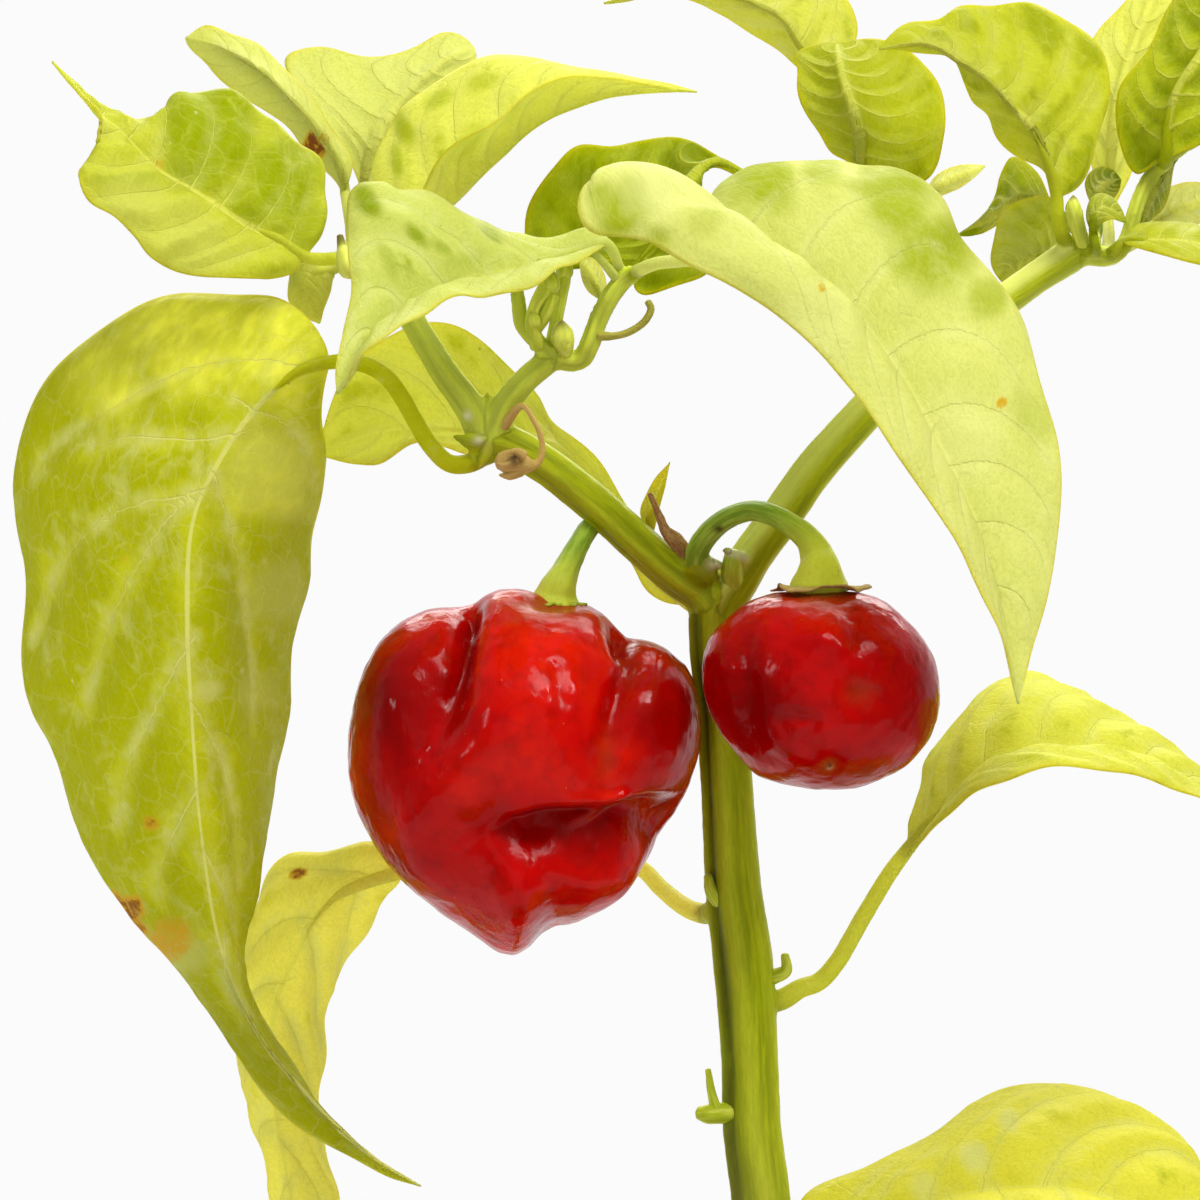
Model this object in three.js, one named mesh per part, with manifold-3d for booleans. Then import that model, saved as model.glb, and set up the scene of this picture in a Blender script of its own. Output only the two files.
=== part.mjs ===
// A potted chilli pepper plant in millimetres, +Z up, standing on z = 0 with the pot's bottom centre at the origin.
// Plant points are written as (u, v, depth): u and v are places in a square front view of 1200 x 1200 units, seen
// from VIEW_MM in front of the main stem, UNITS_PER_MM units to the millimetre on the stem's own plane, and depth is
// the distance in millimetres behind that plane (negative is nearer).
import * as THREE from "three";
import { mergeVertices } from "three/addons/utils/BufferGeometryUtils.js";
import Module from "manifold-3d";

// ---- driving dimensions (mm) ----
const VIEW_MM = 500;
const UNITS_PER_MM = 8;
const VIEW_X = -22; // x of the middle of the front view
const VIEW_Z = 284; // z of the middle of the front view
const POT_HEIGHT = 125;
const POT_TOP_R = 70;
const POT_BASE_R = 48;
const POT_WALL = 6;
const POT_FLOOR = 9;
const RIM_HEIGHT = 27;
const RIM_PROUD = 4.5;
const DRAIN_HOLE_R = 4.5;
const DRAIN_RING_R = 24;
const SOIL_TOP = 108;
const GAP = 0.35; // between pieces that touch
const LEAF_T = 0.7;
const POT_SEGMENTS = 32;

const wasm = await Module();
wasm.setup();

// ---- geometry helpers ----
const at = ([u, v, d = 0]) => {
  const k = (VIEW_MM + d) / VIEW_MM / UNITS_PER_MM;
  return new THREE.Vector3(VIEW_X + (u - 600) * k, d, VIEW_Z + (600 - v) * k);
};

function solid(points, faces) {
  const g = new THREE.BufferGeometry();
  g.setAttribute("position", new THREE.Float32BufferAttribute(points.flatMap((p) => [p.x, p.y, p.z]), 3));
  g.setIndex(faces.flat());
  return toSolid(g);
}

function toSolid(geometry) {
  geometry.deleteAttribute("normal");
  geometry.deleteAttribute("uv");
  const m = mergeVertices(geometry, 1e-4);
  const made = new wasm.Manifold(
    new wasm.Mesh({
      numProp: 3,
      vertProperties: new Float32Array(m.attributes.position.array),
      triVerts: new Uint32Array(m.index.array),
    }),
  );
  if (made.volume() > 0) return made;
  const t = new Uint32Array(m.index.array);
  for (let i = 0; i < t.length; i += 3) [t[i + 1], t[i + 2]] = [t[i + 2], t[i + 1]];
  return new wasm.Manifold(
    new wasm.Mesh({ numProp: 3, vertProperties: new Float32Array(m.attributes.position.array), triVerts: t }),
  );
}

function largest(s) {
  return s.decompose().sort((a, b) => b.volume() - a.volume())[0];
}

// The same solid with its vertices on a fine grid, so that the slivers left by a join or cut are welded away.
function tidy(s) {
  const m = s.getMesh(), n = m.numProp;
  for (const size of [0.02, 0.03, 0.01, 0.015, 0.04, 0.025, 0.05, 0.035, 0.06, 0.008, 0.005, 0.003]) {
    const seen = new Map(), points = [], index = [], faces = new Map(), kept = [];
    for (let i = 0; i < m.numVert; i++) {
      const q = [0, 1, 2].map((k) => Math.round(m.vertProperties[i * n + k] / size)), key = q.join(",");
      if (!seen.has(key)) seen.set(key, points.push(...q.map((c) => c * size)) / 3 - 1);
      index.push(seen.get(key));
    }
    for (let i = 0; i < m.triVerts.length; i += 3) {
      const [a, b, c] = [0, 1, 2].map((k) => index[m.triVerts[i + k]]);
      if (a !== b && b !== c && a !== c) faces.set([a, b, c].sort((x, y) => x - y).join(","),
        [...(faces.get([a, b, c].sort((x, y) => x - y).join(",")) ?? []), [a, b, c]]);
    }
    for (const same of faces.values()) if (same.length % 2) kept.push(...same[same.length - 1]); // flat flaps go in pairs
    const edges = new Set();
    for (let i = 0; i < kept.length; i += 3)
      for (let k = 0; k < 3; k++) edges.add(kept[i + k] * points.length + kept[i + ((k + 1) % 3)]);
    if (edges.size !== kept.length) continue;
    try {
      const made = new wasm.Manifold(
        new wasm.Mesh({ numProp: 3, vertProperties: new Float32Array(points), triVerts: new Uint32Array(kept) }),
      );
      const same = Math.abs(made.volume() - s.volume()) < 0.02 * s.volume();
      if (same && made.decompose().length === 1 && made.numTri() === kept.length / 3) return made;
    } catch {
      // this grid would open the mesh: the next one is tried
    }
  }
  return null;
}

function toGeometry(s) {
  const m = s.getMesh(), n = m.numProp, v = new Float32Array(m.numVert * 3);
  for (let i = 0; i < m.numVert; i++) v.set(m.vertProperties.subarray(i * n, i * n + 3), i * 3);
  const g = new THREE.BufferGeometry();
  g.setAttribute("position", new THREE.BufferAttribute(v, 3));
  g.setIndex(new THREE.BufferAttribute(new Uint32Array(m.triVerts), 1));
  g.computeVertexNormals();
  return g;
}

// A tapered tube with round closed ends. Points are (u, v, depth, diameter in mm).
function tube(points, { sides = 8, grow = 0, step = 3.2, ribs = 0 } = {}) {
  const centre = points.map(at), curve = new THREE.CatmullRomCurve3(centre, false, "centripetal");
  const n = Math.max(2, Math.round(curve.getLength() / step));
  const along = points.length - 1;
  const place = [], radius = [];
  for (let i = 0; i <= n; i++) {
    const t = i / n, k = Math.min(along - 1, Math.floor(t * along)), f = t * along - k;
    place.push(curve.getPoint(t));
    radius.push(((points[k][3] ?? 2) * (1 - f) + (points[k + 1][3] ?? 2) * f) / 2 + grow);
  }
  const rings = [], normal = new THREE.Vector3(0, -1, 0);
  for (let i = 0; i <= n; i++) {
    const dir = curve.getTangent(i / n);
    normal.addScaledVector(dir, -normal.dot(dir)).normalize();
    const side = new THREE.Vector3().crossVectors(dir, normal);
    const ring = [];
    for (let j = 0; j < sides; j++) {
      const a = (j / sides) * 2 * Math.PI, r = radius[i] * (1 + ribs * Math.cos(5 * a));
      ring.push(place[i].clone().addScaledVector(normal, r * Math.cos(a)).addScaledVector(side, r * Math.sin(a)));
    }
    rings.push(ring);
  }
  const start = place[0].clone().addScaledVector(curve.getTangent(0), -radius[0] * 0.6);
  const end = place[n].clone().addScaledVector(curve.getTangent(1), radius[n] * 0.6);
  return loft(rings, start, end);
}

// Rings of points, closed by a fan at each end.
function loft(rings, start, end) {
  const sides = rings[0].length, points = rings.flat(), faces = [];
  for (let i = 0; i + 1 < rings.length; i++)
    for (let j = 0; j < sides; j++) {
      const a = i * sides + j, b = i * sides + ((j + 1) % sides), c = a + sides, d = b + sides;
      faces.push([a, b, d], [a, d, c]);
    }
  const s = points.push(start) - 1, e = points.push(end) - 1, last = (rings.length - 1) * sides;
  for (let j = 0; j < sides; j++) {
    const k = (j + 1) % sides;
    faces.push([s, k, j], [e, last + j, last + k]);
  }
  return solid(points, faces);
}

// A rail given as (u, v, depth, station): places at n + 1 even stations from 0 to 1. Where a point states no station,
// it takes one by its distance along the rail.
function rail(points, n) {
  const p = points.map(at), len = [0];
  for (let i = 1; i < p.length; i++) len.push(len[i - 1] + p[i].distanceTo(p[i - 1]));
  const st = points.map((q) => q[3]);
  st[0] = 0;
  st[st.length - 1] = 1;
  for (let i = 0; i < st.length; ) {
    let j = i + 1;
    while (j < st.length && st[j] === undefined) j++;
    for (let k = i + 1; k < j && j < st.length; k++)
      st[k] = st[i] + ((st[j] - st[i]) * (len[k] - len[i])) / (len[j] - len[i] || 1);
    i = j;
  }
  const curve = new THREE.CatmullRomCurve3(p, false, "centripetal"), out = [];
  for (let i = 0; i <= n; i++) {
    const s = i / n;
    let k = 0;
    while (k < st.length - 2 && st[k + 1] < s) k++;
    const f = (s - st[k]) / (st[k + 1] - st[k] || 1);
    out.push(curve.getPoint((k + Math.min(1, Math.max(0, f))) / (p.length - 1)));
  }
  return out;
}

// The middle surface of a leaf as a grid of (2k + 1) points across at n + 1 stations: margin a, midrib m, margin b.
// Each half rises from the midrib by bulge times its width, to the upper face.
function leafGrid({ a, m, b, face = 1, bulge = [0.1, 0.1], n = 10, k = 2 }) {
  const A = rail(a, n), M = rail(m, n), B = rail(b, n), grid = [];
  const mid = Math.round(n * 0.4), t0 = M[mid + 1].clone().sub(M[mid - 1]);
  const up0 = new THREE.Vector3().crossVectors(t0, A[mid].clone().sub(M[mid]));
  const flip = Math.sign(-up0.y * face) || 1;
  for (let i = 0; i <= n; i++) {
    const dir = M[Math.min(n, i + 1)].clone().sub(M[Math.max(0, i - 1)]).normalize();
    const s = i / n, q = s * (bulge.length - 1), qi = Math.min(bulge.length - 2, Math.floor(q));
    const h = bulge[qi] + (bulge[qi + 1] - bulge[qi]) * (q - qi), row = [];
    const least = i === 0 || i === n ? 0.45 : 0.8;
    for (const [X, sign] of [[A, 1], [B, -1]]) {
      const w = X[i].clone().sub(M[i]);
      if (w.length() < least) {
        const near = X[Math.min(n - 1, Math.max(1, i))].clone().sub(M[Math.min(n - 1, Math.max(1, i))]);
        near.addScaledVector(dir, -near.dot(dir));
        w.copy(near.lengthSq() > 1e-6 ? near : new THREE.Vector3(0, sign, 0)).setLength(least);
      }
      const up = new THREE.Vector3().crossVectors(dir, w).multiplyScalar(sign * flip).normalize();
      const side = [];
      for (let j = 1; j <= k; j++) {
        const t = j / k;
        side.push(M[i].clone().addScaledVector(w, t).addScaledVector(up, h * w.length() * 4 * t * (1 - t)));
      }
      row.push(side);
    }
    grid.push([...row[0].reverse(), M[i].clone(), ...row[1]]);
  }
  return grid;
}

function sheet(grid, thick) {
  const n = grid.length - 1, c = grid[0].length, top = [], bottom = [];
  for (let i = 0; i <= n; i++)
    for (let j = 0; j < c; j++) {
      const du = grid[Math.min(n, i + 1)][j].clone().sub(grid[Math.max(0, i - 1)][j]);
      const dv = grid[i][Math.min(c - 1, j + 1)].clone().sub(grid[i][Math.max(0, j - 1)]);
      const nn = new THREE.Vector3().crossVectors(du, dv).normalize().multiplyScalar(thick / 2);
      top.push(grid[i][j].clone().add(nn));
      bottom.push(grid[i][j].clone().sub(nn));
    }
  const off = top.length, id = (i, j) => i * c + j, faces = [];
  for (let i = 0; i < n; i++)
    for (let j = 0; j + 1 < c; j++) {
      const [p, q, r, s] = [id(i, j), id(i, j + 1), id(i + 1, j + 1), id(i + 1, j)];
      faces.push([p, s, r], [p, r, q], [p + off, r + off, s + off], [p + off, q + off, r + off]);
    }
  const rim = [];
  for (let j = 0; j < c; j++) rim.push(id(0, j));
  for (let i = 1; i <= n; i++) rim.push(id(i, c - 1));
  for (let j = c - 2; j >= 0; j--) rim.push(id(n, j));
  for (let i = n - 1; i > 0; i--) rim.push(id(i, 0));
  rim.forEach((p, i) => {
    const q = rim[(i + 1) % rim.length];
    faces.push([p, q, q + off], [p, q + off, p + off]);
  });
  return solid([...top, ...bottom], faces);
}

// ---- the stem: main stem, fork, two branches and their shoots, (u, v, depth, diameter) ----
const STEM = {
  main: [[776, 2110, 0, 8.6], [776, 1960, 0, 9.4], [777, 1800, 0, 8.6], [775, 1600, 0, 8.0], [769, 1400, 0, 7.7],
    [760, 1200, 0, 7.4], [752, 1130, 0, 7.2], [750, 1055, 0, 7.0], [744, 960, 0, 7.5], [735, 889, 0, 7.0],
    [729, 800, 0, 6.5], [722, 700, 0, 6.3], [716, 650, 0, 6.4], [715, 596, 0, 6.6]],
  branch_left: [[718, 610, 0, 5.6], [700, 590, 0, 5.4], [678, 576, 0, 5.2], [646, 549, 0, 5.0], [610, 516, 0, 4.9],
    [585, 495, 0, 4.9], [560, 475, 0, 4.8], [535, 458, 0, 4.8], [505, 443, 0, 4.9], [480, 436, 0, 4.2]],
  branch_right: [[718, 612, 0, 5.6], [738, 580, 0, 5.4], [751, 558, 0, 5.2], [783, 514, 0, 5.1], [812, 472, 0, 5.0],
    [852, 426, 1, 4.9], [900, 375, 2, 4.7], [950, 335, 3, 4.5], [1000, 303, 4, 4.3], [1035, 278, 4, 4.1],
    [1086, 245, 4, 4.6]],
  shoot_left: [[484, 436, 0, 4.0], [468, 405, 0, 3.9], [448, 378, 1, 3.6], [430, 350, 2, 3.4], [412, 320, 3, 3.3],
    [395, 288, 4, 3.2], [372, 262, 5, 3.2], [348, 252, 6, 3.4]],
  shoot_middle: [[490, 440, 0, 3.6], [508, 401, -1, 3.4], [526, 379, -2, 3.2], [544, 364, -2, 3.2], [562, 350, -2, 3.0]],
  arm_left: [[556, 358, -2, 2.4], [533, 338, -3, 2.2], [522, 325, -3, 2.0], [519, 310, -3, 2.0], [517, 291, -2, 1.8]],
  arm_right: [[552, 358, -2, 2.8], [580, 360, -2, 2.6], [590, 345, -3, 2.5], [598, 322, -3, 2.4], [610, 298, -4, 2.4],
    [624, 280, -4, 2.4], [633, 273, -4, 2.2]],
  side_arm: [[1076, 250, 4, 3.0], [1101, 257, 4, 2.6], [1115, 255, 4, 2.3], [1127, 239, 5, 2.1], [1135, 211, 5, 2.0],
    [1145, 186, 6, 2.0], [1161, 164, 7, 2.0], [1181, 148, 8, 1.9], [1215, 130, 9, 1.8]],
};

// ---- pods: front outline (u, v) about a middle, with the depth of their front and back ----
const LARGE_POD = {
  middle: [525, 760], depth: -7, front: 19, back: 18,
  outline: [[349, 751], [353, 711], [363, 673], [380, 642], [400, 622], [429, 609], [462, 607], [474, 604], [484, 597],
    [501, 590], [518, 589], [538, 595], [550, 600], [573, 602], [590, 606], [604, 615], [616, 627], [626, 638],
    [644, 640], [667, 649], [685, 665], [696, 685], [700, 711], [700, 751], [693, 774], [682, 800], [664, 825],
    [656, 837], [647, 860], [633, 877], [616, 894], [596, 912], [578, 921], [555, 926], [541, 934], [531, 946],
    [515, 953], [498, 949], [478, 937], [461, 924], [438, 909], [415, 889], [395, 869], [372, 840], [357, 808],
    [350, 780]],
  grooves: [
    { line: [[470, 600], [465, 625], [461, 665], [452, 708], [432, 751]], deep: 3.4, wide: 2.2, end: 0.35 },
    { line: [[622, 634], [630, 665], [616, 702], [607, 736], [596, 774]], deep: 2.6, wide: 2.0, end: 0.4 },
    { line: [[505, 832], [545, 838], [600, 832], [650, 812]], deep: 4.2, wide: 3.0, end: 0.6 },
  ],
};
const SMALL_POD = {
  middle: [820, 690], depth: -16, front: 13.5, back: 12.5,
  outline: [[702, 685], [703, 655], [711, 636], [726, 619], [745, 603], [768, 594], [797, 591], [820, 590], [839, 591],
    [865, 594], [888, 603], [903, 617], [921, 636], [934, 659], [939, 687], [936, 718], [926, 744], [909, 763],
    [886, 777], [856, 787], [823, 789], [797, 787], [776, 783], [761, 777], [749, 769], [732, 750], [717, 725],
    [707, 704]],
  grooves: [{ line: [[735, 640], [742, 700], [787, 782]], deep: 0.8, wide: 2.0, end: 0.5 }],
};

// A pod grown by `grow` mm: rings from the front pole to the back pole, each following the outline.
function pod({ middle, depth, front, back, outline, grooves }, { around = 30, rings = 7, grow = 0 } = {}) {
  const c = at([...middle, depth]), polar = outline.map(([u, v]) => {
    const p = at([u, v, depth]);
    return [Math.atan2(p.z - c.z, p.x - c.x), Math.hypot(p.z - c.z, p.x - c.x)];
  }).sort((p, q) => p[0] - q[0]);
  const reach = (angle) => {
    const a = Math.atan2(Math.sin(angle), Math.cos(angle)), n = polar.length;
    let i = polar.findIndex((p) => p[0] > a);
    if (i < 0) i = 0;
    const [hi, lo] = [polar[i], polar[(i + n - 1) % n]];
    const span = (hi[0] - lo[0] + 2 * Math.PI) % (2 * Math.PI), f = ((a - lo[0] + 2 * Math.PI) % (2 * Math.PI)) / span;
    return lo[1] + (hi[1] - lo[1]) * f;
  };
  const lines = grooves.map((g) => ({ ...g, at: g.line.map(([u, v]) => at([u, v, depth])) }));
  const out = [];
  for (let i = 1; i < 2 * rings; i++) {
    const phi = (i / (2 * rings)) * Math.PI, s = Math.sin(phi), cphi = Math.cos(phi), ring = [];
    for (let j = 0; j < around; j++) {
      const th = (j / around) * 2 * Math.PI, r = (reach(th) + grow) * s;
      const x = c.x + r * Math.cos(th), z = c.z + r * Math.sin(th);
      let d = (cphi > 0 ? front + grow : back + grow) * Math.abs(cphi);
      for (const g of lines) {
        let best = 1e9, where = 0;
        for (let k = 0; k + 1 < g.at.length; k++) {
          const p = g.at[k], q = g.at[k + 1], ex = q.x - p.x, ez = q.z - p.z;
          const f = Math.min(1, Math.max(0, ((x - p.x) * ex + (z - p.z) * ez) / (ex * ex + ez * ez)));
          const dist = Math.hypot(x - p.x - f * ex, z - p.z - f * ez);
          if (dist < best) [best, where] = [dist, (k + f) / (g.at.length - 1)];
        }
        if (cphi > 0) d -= g.deep * (1 - (1 - g.end) * where) * Math.exp(-((best / g.wide) ** 2)) * Math.min(1, cphi * 2);
      }
      ring.push(new THREE.Vector3(x, c.y - Math.sign(cphi) * d, z));
    }
    out.push(ring);
  }
  return loft(out, new THREE.Vector3(c.x, c.y - front - grow, c.z), new THREE.Vector3(c.x, c.y + back + grow, c.z));
}

// ---- leaves: margin a, midrib m and margin b from the leaf's base to its tip, and the leaf stalk (u, v, depth, mm) ----
const LEAVES = {
  leaf_left_big: {
    n: 13, k: 2, face: 1, bulge: [0.02, 0.07, 0.07, 0.05, 0.02],
    a: [[330, 362, -2], [322, 335, -1], [287, 303, 3], [244, 297, 6], [169, 294, 9], [115, 316, 11], [57, 373, 12],
      [16, 451, 12], [14, 500, 12], [26, 594, 11], [30, 700, 10], [48, 741, 9], [83, 837, 8], [128, 898, 7],
      [166, 952, 6], [217, 1022, 4], [261, 1089, 2], [319, 1137, 0], [383, 1175, -2], [421, 1186, -3]],
    m: [[330, 362, -2], [301, 370, -3], [253, 411, -5], [215, 468, -7], [192, 525, -9], [187, 623, -10],
      [191, 700, -10], [201, 828, -9], [223, 955, -6], [265, 1044, -4], [303, 1089, -3], [335, 1124, -3],
      [376, 1159, -3], [421, 1186, -3]],
    b: [[330, 362, -2], [323, 388, 2], [321, 422, 6], [330, 457, 10], [324, 485, 12], [308, 528, 14], [311, 580, 15],
      [296, 623, 15], [282, 700, 15], [277, 748, 15], [266, 818, 14], [252, 885, 12], [238, 942, 10], [240, 985, 8],
      [255, 1022, 6], [277, 1054, 4], [300, 1086, 2], [344, 1140, -1], [383, 1169, -2], [421, 1186, -3]],
    stalk: [[492, 450, 0, 2.6], [470, 463, 0, 2.4], [450, 463, -1, 2.3], [432, 447, -1, 2.2], [415, 420, -2, 2.1],
      [402, 397, -2, 2.1], [388, 378, -2, 2.1], [370, 366, -2, 2.1], [352, 362, -2, 2.0], [330, 362, -2, 1.8],
      [301, 370, -3, 1.4]],
  },
  leaf_crinkled: {
    n: 9, k: 2, face: 1, bulge: [0.1, 0.12, 0.1, 0.04],
    a: [[306, 256, 0], [325, 225, 2], [329, 195, 4], [325, 172, 5], [306, 152, 6], [288, 130, 6], [262, 109, 6],
      [224, 95, 6], [190, 89, 5], [170, 98, 4], [160, 127, 2], [133, 122, 0], [110, 108, -2], [90, 98, -3],
      [74, 83, -5], [52, 61, -7]],
    m: [[306, 256, 0], [275, 237, -1], [237, 217, -2], [204, 196, -3], [166, 176, -4], [135, 150, -4],
      [107, 118, -5], [80, 92, -6], [52, 62, -7]],
    b: [[306, 258, 0], [290, 276, -1], [275, 279, -3], [230, 278, -6], [184, 274, -8], [145, 255, -10],
      [138, 240, -10], [110, 212, -11], [87, 201, -11], [78, 173, -10], [97, 145, -8], [103, 124, -7], [80, 96, -7],
      [52, 63, -7]],
    stalk: [[362, 258, 5, 1.8], [340, 258, 3, 1.7], [322, 259, 1, 1.7], [306, 257, 0, 1.6], [275, 237, -1, 1.2]],
  },
  leaf_back_narrow: {
    n: 6, face: -1, bulge: [0.1, 0.1, 0.02],
    a: [[345, 192, 24], [353, 160, 26], [340, 136, 27], [320, 112, 28], [306, 94, 29], [275, 58, 31], [255, 40, 32],
      [224, 31, 33], [206, 26, 34], [186, 38, 34]],
    m: [[345, 192, 23], [342, 170, 21], [314, 124, 20], [284, 92, 21], [257, 67, 24], [220, 47, 29], [186, 38, 34]],
    b: [[343, 192, 24], [331, 179, 26], [320, 165, 27], [288, 127, 29], [266, 112, 30], [244, 100, 31], [224, 80, 32],
      [210, 65, 33], [188, 47, 34], [186, 38, 34]],
    stalk: [[352, 252, 6, 1.8], [352, 236, 12, 1.6], [349, 214, 18, 1.5], [345, 192, 23, 1.4], [342, 170, 21, 1.1]],
  },
  leaf_back_wide: {
    n: 8, k: 1, face: -1, bulge: [0.1, 0.09, 0.05],
    a: [[362, 190, 31], [345, 150, 32], [318, 112, 33], [290, 75, 35], [283, 56, 36], [324, 46, 37], [364, 58, 37],
      [400, 54, 38], [427, 42, 39], [442, 31, 40], [465, 36, 40], [474, 48, 40]],
    m: [[362, 190, 30], [372, 150, 29], [392, 110, 31], [420, 80, 33], [450, 58, 36], [474, 48, 40]],
    b: [[364, 190, 31], [382, 172, 32], [405, 150, 33], [430, 125, 34], [452, 98, 36], [470, 72, 38], [477, 58, 39],
      [474, 48, 40]],
    stalk: [[366, 258, 5, 1.8], [366, 240, 14, 1.6], [364, 215, 24, 1.5], [362, 190, 30, 1.5], [365, 176, 30, 1.2]],
  },
  leaf_top_folded: {
    n: 8, k: 2, face: 1, bulge: [0.1, 0.08, 0.03],
    a: [[398, 226, 6], [380, 202, 9], [373, 179, 10], [376, 153, 11], [387, 133, 12], [402, 107, 12], [422, 92, 12],
      [445, 76, 12], [486, 57, 11], [519, 57, 10], [545, 60, 9], [575, 67, 8], [606, 71, 7], [639, 78, 6],
      [670, 84, 4], [697, 92, 3]],
    m: [[398, 226, 6], [420, 218, 4], [448, 204, 2], [484, 168, 0], [504, 150, 0], [522, 133, 0], [545, 117, 0],
      [568, 107, 1], [606, 95, 2], [644, 91, 3], [683, 91, 3], [697, 92, 3]],
    b: [[400, 226, 5], [408, 208, 0], [422, 191, -5], [435, 163, -8], [453, 145, -10], [484, 130, -11],
      [504, 117, -11], [519, 99, -10], [542, 84, -8], [570, 75, -4], [606, 77, -1], [650, 84, 2], [697, 92, 3]],
    stalk: [[384, 272, 4, 2.0], [386, 254, 6, 1.8], [390, 240, 7, 1.6], [398, 226, 6, 1.5], [420, 218, 4, 1.2]],
  },
  leaf_left_near: {
    n: 9, k: 2, face: 1, bulge: [0.1, 0.12, 0.12, 0.03],
    a: [[607, 238, -5], [596, 229, -3], [560, 244, -3], [540, 246, -4], [514, 241, -4], [496, 236, -5], [479, 223, -6],
      [446, 206, -8], [424, 194, -10], [400, 194, -12], [378, 189, -14], [369, 180, -16], [350, 190, -19],
      [346, 216, -22], [350, 266, -29], [352, 291, -33], [346, 316, -37], [340, 346, -41], [335, 370, -44],
      [337, 394, -46]],
    m: [[607, 241, -6], [590, 247, -8], [540, 262, -12], [500, 272, -16], [470, 282, -20], [440, 293, -24],
      [410, 305, -29], [385, 322, -34], [365, 345, -39], [350, 370, -43], [337, 394, -46]],
    b: [[607, 245, -7], [585, 257, -12], [560, 269, -16], [545, 281, -19], [532, 288, -22], [494, 293, -28],
      [466, 298, -33], [441, 305, -37], [426, 313, -40], [399, 324, -44], [383, 337, -47], [366, 354, -48],
      [350, 383, -47], [337, 394, -46]],
    stalk: [[622, 282, -4, 1.5], [618, 264, -5, 1.3], [612, 250, -6, 1.4], [604, 243, -7, 1.6], [585, 249, -8, 1.5],
      [540, 262, -12, 1.1]],
  },
  leaf_right_big: {
    n: 15, k: 2, face: 1, bulge: [0.16, 0.16, 0.12, 0.1, 0.06, 0.02],
    a: [[722, 238, -19], [712, 222, -15], [706, 204, -11], [713, 188, -9], [725, 180, -8, 0.05], [743, 170, -7],
      [772, 163, -6], [802, 158, -5], [833, 157, -5], [864, 168, -5], [887, 170, -5, 0.26], [910, 178, -6],
      [929, 189, -7], [944, 203, -8], [952, 220, -9], [959, 235, -10], [990, 270, -13], [1020, 310, -16],
      [1040, 370, -20, 0.54], [1055, 450, -24], [1060, 520, -28], [1050, 590, -32], [1030, 660, -35],
      [1018, 704, -36]],
    m: [[722, 240, -20], [745, 244, -20], [775, 256, -21], [800, 270, -22], [830, 290, -23], [870, 330, -25],
      [905, 380, -27], [930, 425, -29], [960, 485, -31], [985, 550, -33], [1005, 630, -35], [1018, 704, -36]],
    b: [[722, 242, -21], [708, 216, -23], [690, 200, -24], [661, 193, -26], [636, 175, -30], [616, 167, -34],
      [596, 164, -37], [582, 172, -40, 0.035], [574, 195, -43], [580, 228, -44, 0.06], [600, 236, -43],
      [636, 238, -41], [652, 245, -40], [687, 268, -39, 0.15], [725, 284, -38], [761, 304, -37, 0.26],
      [790, 325, -36], [820, 350, -36, 0.38], [860, 400, -36], [890, 450, -37, 0.54], [930, 500, -37],
      [960, 545, -38], [985, 600, -38], [1000, 640, -38], [1012, 682, -37], [1018, 704, -36]],
    stalk: [[628, 277, -4, 1.9], [640, 270, -6, 1.7], [655, 264, -9, 1.6], [680, 261, -13, 1.6], [702, 258, -17, 1.6],
      [722, 243, -20, 1.6], [745, 244, -20, 1.5], [775, 256, -21, 1.2]],
  },
  leaf_right_dark: {
    n: 9, k: 2, face: -1, bulge: [0.12, 0.14, 0.1, 0.02],
    a: [[632, 272, 0], [600, 262, 4], [560, 262, 6], [530, 255, 8], [525, 235, 10], [527, 209, 12], [539, 186, 13],
      [554, 168, 14], [577, 146, 15], [611, 146, 15], [639, 137, 15], [675, 135, 15], [705, 151, 14], [737, 171, 12],
      [757, 184, 11]],
    m: [[632, 272, 0], [655, 245, 0], [674, 215, 1], [688, 188, 3], [700, 170, 6], [716, 161, 8], [737, 169, 10],
      [757, 184, 11]],
    b: [[634, 274, -1], [637, 290, -1], [655, 290, -2], [687, 283, -2], [709, 274, -1], [724, 255, 0], [718, 225, 1],
      [702, 200, 2], [694, 188, 4], [702, 174, 6], [716, 168, 8], [737, 176, 10], [757, 185, 11]],
    stalk: [[618, 286, -4, 1.8], [624, 280, -2, 1.6], [632, 272, 0, 1.5], [655, 245, 0, 1.2]],
  },
  leaf_behind_branch: {
    n: 9, k: 2, face: -1, bulge: [0.05, 0.1, 0.1, 0.02],
    a: [[684, 600, 9], [660, 556, 11], [640, 525, 12], [623, 500, 13], [601, 462, 15], [570, 434, 17], [550, 419, 18],
      [540, 396, 19], [512, 370, 20], [484, 342, 21], [463, 328, 22], [443, 322, 22], [420, 322, 22], [395, 332, 22],
      [365, 352, 23], [342, 380, 23], [330, 410, 23], [322, 436, 22], [318, 455, 21]],
    m: [[684, 602, 9], [655, 572, 10], [630, 533, 11], [600, 493, 12], [570, 460, 13], [535, 440, 14], [490, 430, 15],
      [440, 426, 16], [395, 430, 17], [355, 441, 19], [318, 455, 21]],
    b: [[682, 604, 10], [668, 604, 10], [646, 591, 10], [631, 562, 11], [610, 540, 11], [580, 505, 11], [550, 480, 12],
      [510, 462, 13], [470, 452, 14], [440, 445, 15], [415, 443, 15], [392, 458, 16], [379, 466, 16], [351, 463, 18],
      [331, 459, 20], [318, 455, 21]],
    stalk: [[714, 610, 0, 1.9], [702, 612, 6, 1.6], [684, 602, 9, 1.5], [655, 572, 10, 1.2]],
  },
  leaf_lower_left: {
    n: 9, k: 2, face: 1, bulge: [0.1, 0.1, 0.08, 0.02],
    a: [[402, 868, 12], [373, 840, 14], [351, 845, 15], [319, 850, 17], [293, 850, 18], [277, 866, 19], [265, 891, 20],
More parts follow.
